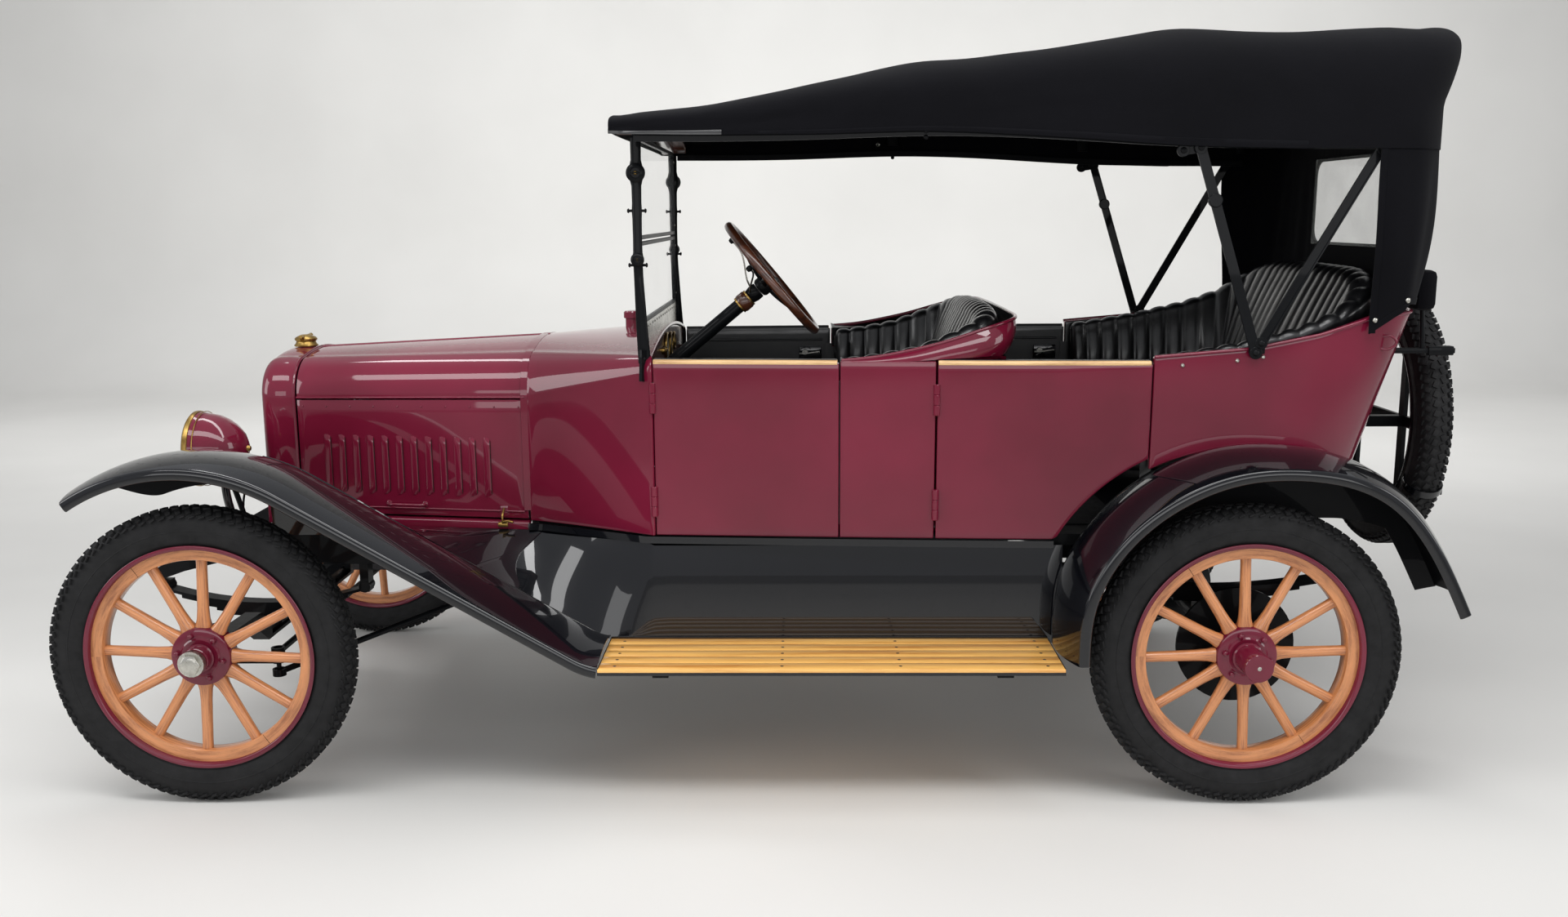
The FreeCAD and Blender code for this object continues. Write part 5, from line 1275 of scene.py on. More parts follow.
def add_radiator():
    """Painted shell with rolled edges, the beading at its rear, and a winged filler cap."""
    rows = []
    for x, grow in ((SHELL_REAR, -3.0), (SHELL_REAR + 1, 0), (SHELL_REAR + 4, 1.2), (SHELL_REAR + 8, 0),
            (SHELL_REAR + 34, 0.2), (SHELL_FRONT - 38, 0), (SHELL_FRONT - 26, -1.6),
            (SHELL_FRONT - 16, -5), (SHELL_FRONT - 8, -11), (SHELL_FRONT - 2.5, -19),
            (SHELL_FRONT, -28), (SHELL_FRONT - 1, -36), (SHELL_FRONT - 5, -41),
            (SHELL_FRONT - 12, -43)):
        half = NOSE_HALF + grow
        if grow > -20:
            section = crown(half, NOSE_SEAM, NOSE_RIDGE + grow, 14)
            foot = 612
        else:
            section = crown(half, 950 + grow * 0.3, NOSE_RIDGE + grow * 1.55, 14)
            foot = 672
        section = [(half, z) for z in spread(foot, section[0][1], 14)[:-1]] + section
        rows.append([at(x, y, z) for y, z in both_sides(section)])
    shell = faced(skin("shell", rows, MAROON, BLACK, crease=50), (1150, 0, 850))
    parts = [walled(shell, 2.4, crease=50)]
    for side in (1, -1):
        parts.append(body_block("lower_edge", (40, 6, 60), (SHELL_FRONT - 24, side * 243, 642), 2, MAROON))
    parts.append(body_block("lower_tank", (62, 470, 58), (SHELL_FRONT - 46, 0, 642), 8, MAROON))
    fitted(joined("radiator_surround", parts), "car", "maroon_paint", "radiator_shell")
    bead = []
    x = SHELL_REAR + 4
    half = NOSE_HALF + 2
    ring = [(half, z) for z in spread(616, NOSE_SEAM, 14)[:-1]] + crown(half, NOSE_SEAM,
        NOSE_RIDGE + 2.4, 14)
    for y, z in both_sides(ring):
        out = Vector((0, y, z - 850 if z > NOSE_SEAM else 0)).normalized()
        bead.append([at(x + 2.2, y, z), at(x, y + out.y * 1.6, z + out.z * 1.6), at(x - 2.2, y, z),
            at(x, y - out.y * 2, z - out.z * 2)])
    fitted(skin("radiator_beading", bead, MAROON, closed_columns=True), "car", "maroon_paint")
    cap_x = SHELL_REAR + 48
    base = turned("neck", [(0.5, 0), (33, 0), (34, 3), (30, 7), (27, 14), (31, 17), (32, 22), (28, 26),
        (22, 29), (12, 33), (0.5, 34)], BRASS, 40, crease=30)
    base.data.transform(UPRIGHT)
    cap = [placed(base, cap_x, 0, NOSE_RIDGE + 1)]
    for side in (1, -1):
        wing = []
        for s in spread(0, 1, 9):
            y = side * (12 + 31 * s)
            tall = 9 + 9 * sin(pi * min(1, s * 1.1)) * (1 - 0.2 * s)
            mid = 1108 + 8 * s ** 2
            low, high, slim = mid - tall / 2, mid + tall / 2, 1 - 0.4 * s
            wing.append([at(cap_x + 5.5 * slim, y, low), at(cap_x + 6.5, y, mid),
                at(cap_x + 5 * slim, y, high), at(cap_x - 5 * slim, y, high), at(cap_x - 6.5, y, mid),
                at(cap_x - 5.5 * slim, y, low)])
        cap.append(capped("wing", wing, BRASS))
    fitted(joined("winged_cap", cap), "car", "brass", "radiator_cap")


add_radiator()


LAMP_X = FRONT_AXLE_X + 134
LAMP_Y = 350.0
LAMP_Z = 842.0


def add_headlamps():
    """Deep painted bowls with a brass bezel, a bright reflector and a fluted lens."""
    bowls, rims, glass = [], [], []
    for side in (1, -1):
        x, y, z = LAMP_X, side * LAMP_Y, LAMP_Z
        place = to_place(x, y, z) @ Matrix.Rotation(-pi / 2, 4, "Z")
        shape = [(92, 0), (99, -1), (99, -16), (96.5, -20), (95, -34), (90, -58), (80, -80), (66, -99),
            (47, -116), (24, -128), (0.6, -132), (0.6, -128), (22, -124), (44, -112), (62, -95),
            (76, -76), (86, -55), (90, -30), (90, -6)]
        bowl = moved(turned("bowl", shape, MAROON, 72, crease=45), place)
        mirror = turned("mirror", [(87, -10), (83, -36), (70, -62), (50, -84), (27, -98), (0.6, -104),
            (0.6, -106), (28, -100.5), (52, -86), (72, -64), (85, -37), (89, -10)], NICKEL, 60)
        bulb = turned("bulb", [(0.5, -102), (9, -100), (9, -84), (13, -72), (12, -60), (6, -52),
            (0.4, -50)], LENS, 24)
        nut = turned("tail_nut", [(0.5, -139), (6, -139), (8, -135), (8, -127), (0.5, -127)], BRASS, 20)
        bezel = turned("bezel", [(88, 4), (92, 7.5), (98, 7), (102, 3), (102.5, -3), (101, -8),
            (99, -9), (99, -1), (90, 0)], BRASS, 80)
        lip = turned("rear_line", [(100, -20), (101.6, -21.5), (100, -23)], BRASS, 72)
        for item in (mirror, bulb, nut, bezel, lip):
            moved(item, place)
        post = smooth_points([(x - 62, y, z - 84), (x - 62, y - side * 2, z - 116),
            (x - 64, y - side * 8, z - 152), (x - 68, side * 318, z - 200),
            (FRONT_AXLE_X + 50, side * 297, 606)], 5)
        stem = bar("post", post, 11, BLACK, 16)
        pad = body_block("pad", (60, 42, 9), (FRONT_AXLE_X + 50, side * 293.5, 604), 2.5, BLACK)
        collar = dome("collar", 19, 14, (x - 62, y, z - 100), (0, 0, 1), BLACK, 24)
        cord = bar("lead", smooth_points([(x - 118, y - side * 4, z - 30),
            (x - 134, y - side * 10, z - 60), (x - 112, y - side * 20, z - 110),
            (x - 92, side * 316, z - 190)], 5), 3, CANVAS, 8)
        bowls += [bowl, stem, pad, collar, cord, mirror]
        rims += [bezel, lip, nut]
        lens = turned("lens", [(0.5, 9), (30, 8), (60, 5), (90, 0), (90, -2.5), (60, 2.5), (30, 5.5),
            (0.5, 6.5)], LENS, 96)
        for vertex in lens.data.vertices:
            radius = hypot(vertex.co.x, vertex.co.z)
            vertex.co.y += 0.0009 * sin(vertex.co.x * 420) * min(1, radius / 0.03)
        glass += [moved(lens, place), bulb]
    fitted(joined("lamp_bowls", bowls), "car", "maroon_paint", "headlamps")
    fitted(joined("lamp_bezels", rims), "car", "brass")
    fitted(joined("lamp_glass", glass), "car", "lens", "headlamp_lenses")


add_headlamps()


# Fenders, boards and aprons

CROWN_R = 505.0
CROWN_Z = 872 - CROWN_R
CROWN_X = FRONT_AXLE_X + 10
BOARD_FRONT = FRONT_AXLE_X - 995.5
BOARD_REAR = REAR_AXLE_X + 456
BOARD_Z = 375.0
FENDER_OUTER = 800.0
SLOPE = radians(30.2)


def front_fender_path():
    """Points of the front fender's line: the crown's arc, the slope and its easing on to the board."""
    found = []
    for step in range(61):
        angle = radians(-33) + (SLOPE + radians(33)) * step / 60
        found.append((CROWN_X - CROWN_R * sin(angle), CROWN_Z + CROWN_R * cos(angle)))
    bend = found[-1]
    foot_z = BOARD_Z + 26
    foot_x = bend[0] - (bend[1] - foot_z) / tan(SLOPE)
    for share in spread(0, 1, 26)[1:]:
        found.append((bend[0] + (foot_x - bend[0]) * share, bend[1] + (foot_z - bend[1]) * share))
    for share in spread(0, 1, 8)[1:]:
        x = foot_x - 60 * share
        found.append((x, foot_z - 26 * (1 - (1 - share * 60 / 88) ** 2)))
    return [p for p in found if p[0] >= BOARD_FRONT + 0.5] + [(BOARD_FRONT + 0.4, found[-1][1] + 0.5)]


def rear_fender_path():
    """Points of the rear fender's line, from the board round the wheel and down behind it."""
    points = [(430.5, BOARD_Z), (421, 514), (352, 664), (214, 790), (50, 856), (-100, 864), (-208, 847),
        (-316, 797), (-420, 684), (-472, 594), (-514, 508)]
    return smooth_points([(REAR_AXLE_X + x, z) for x, z in points], 12)


def fender(name, path, inner, inner_rise, side):
    """A crowned sheet with a turned-down, wired outer edge."""
    outer = FENDER_OUTER
    middle = (inner + outer) / 2
    high = 16 + inner_rise / 2
    top = arc_through((inner, inner_rise), (middle, high), (outer - 8, -3.4), 20)
    section = top + [(outer - 3, -5.4), (outer, -9), (outer + 0.4, -22), (outer - 0.8, -29),
        (outer - 5, -32.4), (outer - 9.6, -30.6), (outer - 11, -26), (outer - 8, -22.4),
        (outer - 6, -12)]
    section += [(y, n - 3.4) for y, n in reversed(top[:-1])]
    rows = []
    for i, (x, z) in enumerate(path):
        before = path[max(0, i - 1)]
        after = path[min(len(path) - 1, i + 1)]
        ahead = Vector((after[0] - before[0], 0, after[1] - before[1])).normalized()
        up = Vector((ahead.z, 0, -ahead.x))
        outward = Vector((x - REAR_AXLE_X, 0, z - TYRE_R)) if name == "rear" else Vector((0, 0, 1))
        if up.dot(outward) < 0:
            up = -up
        rows.append([at(x + up.x * n, side * y, z + up.z * n) for y, n in section])
    count = len(section)
    item = capped(name, rows, BLACK, 48)
    item.data.materials.append(CHASSIS)
    for face in item.data.polygons:
        if face.index < (len(rows) - 1) * count and face.index % count >= count - len(top):
            face.material_index = 1
    return item


def add_fenders():
    """All four fenders; along the body a rear one's inner edge is drawn out to the body's side."""
    fronts = [fender("front", front_fender_path(), 553, 0, side) for side in (1, -1)]
    for side in (1, -1):
        x, z = 1290, 847
        fronts.append(bar("stay", smooth_points([(x, side * 300, 560), (x, side * 400, 640),
            (x, side * 500, z - 60), (x, side * 600, z + 4)], 5), 7, CHASSIS, 10))
    fitted(joined("front_fender_sheets", fronts), "car", "black_paint", "front_fenders")
    rears = []
    for side in (1, -1):
        item = fender("rear", rear_fender_path(), 560, 18, side)
        shape = bmesh.new()
        shape.from_mesh(item.data)
        for vertex in shape.verts:
            x, y, z = vertex.co.x * 1000 - ORIGIN_X, abs(vertex.co.y) * 1000, vertex.co.z * 1000
            if z > 634 and -1600 < x < -700:
                edge = side_y(x, min(z, 1200)) + 1.0
                if y < edge:
                    vertex.co.y = side * edge / 1000
        shape.to_mesh(item.data)
        shape.free()
        rears.append(item)
    fitted(joined("rear_fender_sheets", rears), "car", "black_paint", "rear_fenders")


add_fenders()


def ease(value):
    """0 to 1 with a gentle start and end."""
    value = min(1.0, max(0.0, value))
    return value * value * (3 - 2 * value)


def ease_in(value):
    return min(1.0, max(0.0, value)) ** 2


def add_valances():
    """Sheets that close the space between each fender's inner edge and the frame."""
    parts = []
    rows = []
    for x, z in front_fender_path():
        if x < 1176 or x > 1585:
            continue
        way = Vector((x - FRONT_AXLE_X, z - TYRE_R))
        reach = way.length
        if reach < 404:
            continue
        keep = ease_in((x - 1470) / 115)
        low = way * ((403 + (reach - 412) * keep) / reach)
        rows.append([at(x, 551, z - 1), at(FRONT_AXLE_X + low.x, 549.5, TYRE_R + low.y)])
    parts.append(skin("front_valance", rows, CHASSIS))
    rows = []
    for x, z in rear_fender_path():
        reach = x - REAR_AXLE_X
        way = Vector((reach, z - TYRE_R))
        if way.y < 0 or reach > 400:
            continue
        keep = ease_in((-reach - 190) / 230)
        low = way * ((346 + (way.length - 380) * keep) / way.length)
        top = way * ((way.length + 17) / way.length)
        spot = top.lerp(low, 0.5)
        rows.append([at(REAR_AXLE_X + top.x, 561, TYRE_R + top.y),
            at(REAR_AXLE_X + spot.x, 557, TYRE_R + spot.y),
            at(REAR_AXLE_X + low.x, 555, TYRE_R + low.y)])
    parts.append(skin("rear_valance", rows, CHASSIS))
    for item in parts:
        settle(thickened(item, 2.4, 0), 40)
    fitted(on_both_sides("fender_valances", parts), "car", "black_paint")


add_valances()


def fender_edge_z(x):
    """Height of the front fender's line at x."""
    bend_x = CROWN_X - CROWN_R * sin(SLOPE)
    bend_z = CROWN_Z + CROWN_R * cos(SLOPE)
    if x > bend_x:
        return CROWN_Z + sqrt(CROWN_R ** 2 - (x - CROWN_X) ** 2)
    return bend_z - (bend_x - x) * tan(SLOPE)


def add_aprons():
    """Enamelled sheets between the body and the boards, with their mouldings."""
    parts = []
    rows = []
    xs = spread(BOARD_REAR - 34, SCUTTLE_REAR, 30)
    for start, end, count in ((SCUTTLE_REAR, 310, 8), (310, 640, 14), (640, 1050, 16), (1050, 1180, 6)):
        xs += spread(start, end, count)[1:]
    for x in xs:
        low = Vector((x, 549.5, max(fender_edge_z(x), 357)))
        if x < SCUTTLE_REAR + 1:
            high = Vector((x, 530, 614))
        else:
            side = max(hood_half(x), DASH_HALF if x < DASH_X else 0)
            high = Vector((x, max(side + 25, 530 - (x - SCUTTLE_REAR) * 0.5), 620))
        share = ease((x - 640) / 410)
        knee = ((low + high) / 2).lerp(Vector((x, 503, 641)), share)
        low.y -= 4.5 * share
        steps = spread(0, 1, 7)
        row = [low.lerp(knee, s) for s in steps] + [knee.lerp(high, s) for s in steps[1:]]
        bulge = 5 * (1 - share)
        row = [p + Vector((0, sin(pi * i / 12) * bulge, 0)) for i, p in enumerate(row)]
        rows.append([at(*p) for p in row])
    sheet = faced(skin("sheet", rows, BLACK, BLACK, crease=60), (0, 0, 500))
    thickened(sheet, 3)
    parts.append(settle(sheet, 50))
    mould = []
    for x in spread(BOARD_REAR, DASH_X, 50):
        y = side_y(x, 636) + 2.0 if x < SCUTTLE_REAR + 1 else max(DASH_HALF + 27,
            532 - (x - SCUTTLE_REAR) * 0.5)
        mould.append((x, y, 629))
    parts.append(strip("sill_moulding", mould, [(-7, -9), (5, -9), (8, -5), (8, 4), (5, 8), (-7, 9)],
        BLACK, crease=40))
    foot = [(x, 551.5, 366) for x in spread(BOARD_REAR + 2, BOARD_FRONT - 2, 12)]
    parts.append(strip("foot_moulding", foot, [(-4, -9), (3, -9), (5, -5), (4, 8), (-4, 9)], BLACK,
        crease=40))
    fitted(on_both_sides("apron_sheets", parts), "car", "black_paint", "splash_aprons")


add_aprons()


def add_boards():
    """Varnished planks laid along each running board, with a metal nosing and screws."""
    planks, trims = [], []
    inner = 552
    count = 5
    width = (FENDER_OUTER - inner) / count
    middles = [inner + width * (k + 0.5) for k in range(count)]
    length = BOARD_FRONT - BOARD_REAR
    middle = (BOARD_FRONT + BOARD_REAR) / 2
    for side in (1, -1):
        for y in middles:
            size = (length - 1, width - 0.7, 15.4)
            planks.append(body_block("plank", size, (middle, side * y, 363), 1.4, BOARD))
        for x in (BOARD_FRONT - 40, -150, -440, BOARD_REAR + 40):
            for y in middles:
                trims.append(dome("screw", 4.4, 1.1, (x, side * y, 370.4), (0, 0, 1), STEEL, 12))
        for x in (BOARD_FRONT - 1.5, BOARD_REAR + 1.5):
            trims.append(body_block("end_strip", (3, 246, 17), (x, side * 676, 362.4), 0.8, BLACK))
        trims.append(body_block("nosing", (length, 2, 8), (middle, side * 799.4, 358), 0.6, BLACK))
    fitted(joined("board_planks", planks), "car", "board_wood", "running_boards")
    fitted(joined("board_trim", trims), "car", "cast_metal")


add_boards()


# Soft top and curtains

TOP_LINE = [(262, 1652, 1704), (215, 1650, 1711), (40, 1648, 1731), (-240, 1649, 1791),
    (-485, 1655, 1838), (-620, 1651, 1848), (-870, 1636, 1884), (-1120, 1617, 1918),
    (-1410, 1609, 1914), (-1600, 1608, 1917), (-1798, 1606, 1923), (-1828, 1606, 1921)]
TOP_HALF = 627.0
TOP_FRONT = 262.0
TOP_REAR = -1816.0
FLARE = 52.0
BACK_X = TOP_REAR + FLARE
CORNER = 120.0
BOWS = (200, -500, -1120, -1640)


def along_top(x, column):
    """Height of the top's edge (1) or ridge (2) at x, eased over the bows."""
    xs = [-p[0] for p in TOP_LINE]
    values = [p[column] for p in TOP_LINE]
    return float(np.mean([np.interp(-x + shift, xs, values) for shift in (-34, -17, 0, 17, 34)]))


def section_shares(count):
    """Half of the top's section, in shares of its half width and height, evenly spaced along the cloth."""
    squareness = 5.2
    fine = []
    for k in range(1201):
        angle = pi / 2 * k / 1200
        fine.append((cos(angle) ** (2 / squareness), sin(angle) ** (2 / squareness)))
    along = lengths([(u * TOP_HALF, v * 270) for u, v in fine])
    found = []
    for s in spread(0, along[-1], count):
        found.append(tuple(float(np.interp(s, along, [p[k] for p in fine])) for k in (0, 1)))
    return found


def slack(x):
    """0 over a bow and 1 half way between two."""
    stops = sorted((TOP_FRONT, *BOWS, TOP_REAR))
    for a, b in zip(stops, stops[1:]):
        if a <= x <= b:
            return sin(pi * (x - a) / (b - a)) ** 2
    return 0.0


def crinkle(x, y, z, size, seed):
    """Soft unevenness about zero, the same at every run."""
    return noise.noise(Vector((x / size + seed, y / size, z / size * 1.6)))


def flare(z):
    """How far the back lies ahead of the top's rear edge at a height."""
    return FLARE * (1 - min(1.0, max(0.0, (z - 1716) / 158))) ** 1.15


def near_back(x):
    """0 ahead of the top's rear corners, growing to 1 at the back."""
    return ease((-1560 - x) / 256)


def corner_at(step):
    """A point of the top's rounded rear corner, as x and y, from the side (0) to the back (18)."""
    angle = radians(5 * step)
    return TOP_REAR + CORNER - CORNER * sin(angle), TOP_HALF - CORNER + CORNER * cos(angle)


def canopy_rows():
    """Stations of the top from its front lip to the back's hem: place, half width, height at the middle."""
    stations = []
    for share in (0.0, 0.22, 0.45, 0.68, 0.86, 0.96):
        low = along_top(TOP_FRONT, 1)
        high = along_top(TOP_FRONT, 2)
        x = TOP_FRONT - 7 * (1 - sin(pi / 2 * min(1, share * 1.3)))
        stations.append((x, TOP_HALF - 5 + 4 * share, low + (high - low) * share))
    for x in spread(TOP_FRONT - 4, TOP_REAR + CORNER, 96):
        stations.append((x, TOP_HALF, along_top(x, 2)))
    turn = 12.0
    for step in range(1, 19):
        x, half = corner_at(step)
        high = along_top(x, 2)
        into = TOP_REAR + turn - x
        if into > 0:
            high -= turn - sqrt(max(0, turn ** 2 - into ** 2))
        stations.append((x, half, high))
    bottom = along_top(TOP_REAR, 1)
    high = stations[-1][2]
    for share in spread(0, 1, 18)[1:]:
        stations.append((TOP_REAR, TOP_HALF - CORNER, high + (bottom + 2 - high) * share))
    return stations


def add_canopy():
    """The top cloth: one sheet from the front lip over the bows and down the sides and back."""
    across = both_sides(section_shares(58))
    rows = []
    for x0, half, high in canopy_rows():
        low = along_top(x0, 1)
        row = []
        loose = slack(x0)
        for u, v in across:
            x, y, z = x0, half * u, low + (high - low) * v
            top_share = ease((v - 0.7) / 0.3)
            side_share = ease((0.95 - v) / 0.5)
            z -= 9 * loose * top_share * (1 - abs(u) ** 4)
            y -= copysign(5.5 * loose * side_share * ease(v * 3), u)
            fold = crinkle(x, 0, z * 2.2 + x * 0.35, 130, 3.1 if u > 0 else 8.7)
            y += copysign(2.6 * fold * side_share * ease(v * 2.5), u)
            z += 2.2 * crinkle(x, y * 0.35, 0, 150, 5.3) * top_share
            x += flare(z) * near_back(x0)
            if x0 < TOP_REAR + 2 and abs(u) < 0.95:
                x += 3 * crinkle(0, y, z * 0.4, 110, 1.9) * ease((1880 - z) / 60)
            row.append(at(x, y, z))
        rows.append(row)
    sheet = faced(skin("top_canopy", rows, CANVAS, crease=75), (-700, 0, 1500))
    thickened(sheet, 2.2).modifiers[-1].use_even_offset = False
    settle(sheet, 75)
    hems = []
    for side in (0, len(across) - 1):
        step = 1 if side == 0 else -1
        out = Vector((0, step, 0))
        for first, last, lift, wide, finish in ((6, 88, 0.9, 1, CANVAS), (0, 20, 1.8, 2, LEATHER)):
            band = []
            lift_m = lift / 1000
            for row in rows[first:last]:
                a, b = row[side], row[side + step * wide]
                up = (b - a).normalized()
                band.append([a - up * 0.0008 - out * 0.001, a - up * 0.0012 + out * lift_m,
                    a + up * 0.006 + out * lift_m * 1.4, b + out * lift_m,
                    b + up * 0.001 - out * 0.001])
            hems.append(skin("hem", band, finish, crease=60))
    front = [[p + Vector((0.0022, 0, 0)) for p in row] for row in (rows[0], rows[2])]
    hems.append(skin("lip", [[p - Vector((0.003, 0, 0.001)) for p in front[0]], *front,
        [p - Vector((0.003, 0, -0.001)) for p in front[1]]], LEATHER, crease=60))
    binding = joined("top_binding", hems)
    fitted(sheet, "car", "black_canvas", "soft_top")
    fitted(binding, "car", "black_leather")
    return sheet, binding


def hem_plan():
    """The rear of the canopy's lower edge seen from above, from the middle of the back forward."""
    found = [(BACK_X, 0.0), (BACK_X, 250.0), (BACK_X, TOP_HALF - CORNER)]
    for step in range(17, -1, -1):
        x, y = corner_at(step)
        found.append((x + FLARE * near_back(x), y))
    for x in spread(TOP_REAR + CORNER - 10, -1500, 12):
        found.append((x + FLARE * near_back(x), TOP_HALF))
    ordered = []
    for p in found:
        if not ordered or p[0] > ordered[-1][0] + 0.01 or p[1] > ordered[-1][1] + 0.01:
            ordered.append(p)
    return ordered


HEM_PLAN = hem_plan()
CURTAIN_FRONT = -1584.0
CURTAIN_TOP = 1616.0
CURTAIN_HALF = float(np.interp(CURTAIN_FRONT, [p[0] for p in HEM_PLAN[3:]], lengths(HEM_PLAN)[3:]))


def curtain_low(s):
    """The lower edge: lowest at the quarter's front corner, a little higher round the back."""
    return read_off([(0, 1226), (505, 1230), (CURTAIN_HALF - 120, 1236), (CURTAIN_HALF - 60, 1204),
        (CURTAIN_HALF, 1163)], abs(s))


def hem_spot(reach):
    """The point of the hem's plan at a distance round from the middle of the back."""
    along = lengths(HEM_PLAN)
    x, y = [float(np.interp(reach, along, [p[k] for p in HEM_PLAN])) for k in (0, 1)]
    return Vector((x, y, 0))


def curtain_at(s, z):
    """A point of the curtain from its distance round from the middle of the back, and its height."""
    reach, side = abs(s), copysign(1, s)
    top = hem_spot(reach)
    ahead = hem_spot(reach + 6) - hem_spot(reach - 6)
    out = Vector((-ahead.y, ahead.x, 0)).normalized()
    if out.dot(Vector((top.x + 1400, top.y, 0))) < 0:
        out = -out
    pull = ease((1600 - z) / 420)
    inward = min(1, max(0, (reach - 240) / 300)) * (8 * pull + 22 * pull ** 3)
    spot = top - out * (2.4 + inward) + Vector((-12 * pull * ease((reach - 600) / 120), 0, 0))
    near_pane = ease((330 - reach) / 60) * ease((1650 - z) / 20)
    hang = sin(pi * min(1, max(0, (CURTAIN_TOP - z) / (CURTAIN_TOP - curtain_low(s))))) * (1 - near_pane)
    wave = 5.0 * sin(reach / 21.0 + 0.6 * side) + 3.0 * sin(reach / 12.6 + 1.1)
    wave += 5.0 * crinkle(reach, 0, z * 0.25, 90, 2.2 * side)
    spot += out * wave * hang * 0.6
    return (spot.x, spot.y * side, z)


PANE_HALF, PANE_LOW, PANE_HIGH, PANE_ROUND = 260.0, 1372.0, 1606.0, 40.0


def pane_edge(s, z):
    """Distance outside the window's rounded outline (negative inside), and the nearest point on it."""
    cz = (PANE_LOW + PANE_HIGH) / 2
    hz = (PANE_HIGH - PANE_LOW) / 2
    qx = min(max(s, -(PANE_HALF - PANE_ROUND)), PANE_HALF - PANE_ROUND)
    qz = min(max(z, cz - hz + PANE_ROUND), cz + hz - PANE_ROUND)
    dx, dz = s - qx, z - qz
    far = hypot(dx, dz)
    if far < 1e-6:
        options = [(PANE_HALF - abs(s), (copysign(PANE_HALF, s), z)),
            (hz - abs(z - cz), (s, cz + copysign(hz, z - cz)))]
        gap, spot = min(options)
        return -gap, spot
    return far - PANE_ROUND, (qx + dx / far * PANE_ROUND, qz + dz / far * PANE_ROUND)


def pane_outline(grow):
    """Evenly spaced points round the window's outline, grown outwards."""
    count = 120
    half, hz = PANE_HALF + grow, (PANE_HIGH - PANE_LOW) / 2 + grow
    cz, r = (PANE_LOW + PANE_HIGH) / 2, PANE_ROUND + grow
    found = []
    for cx, cy, first in ((half - r, hz - r, 0), (-(half - r), hz - r, 90),
            (-(half - r), -(hz - r), 180), (half - r, -(hz - r), 270)):
        for step in range(9):
            angle = radians(first + 90 * step / 8)
            found.append((cx + r * cos(angle), cz + cy + r * sin(angle)))
    found.append(found[0])
    along = lengths(found)
    return [tuple(float(np.interp(d, along, [p[k] for p in found])) for k in (0, 1))
        for d in spread(0, along[-1], count + 1)[:-1]]


def hem_row(a, b, edge, out):
    """One row of a folded hem, from the cloth's edge at a to b within it."""
    return [at(*(a + edge * 0.8 - out)), at(*(a + edge * 1.2 + out)), at(*(b + out)), at(*(b - out * 0.5))]


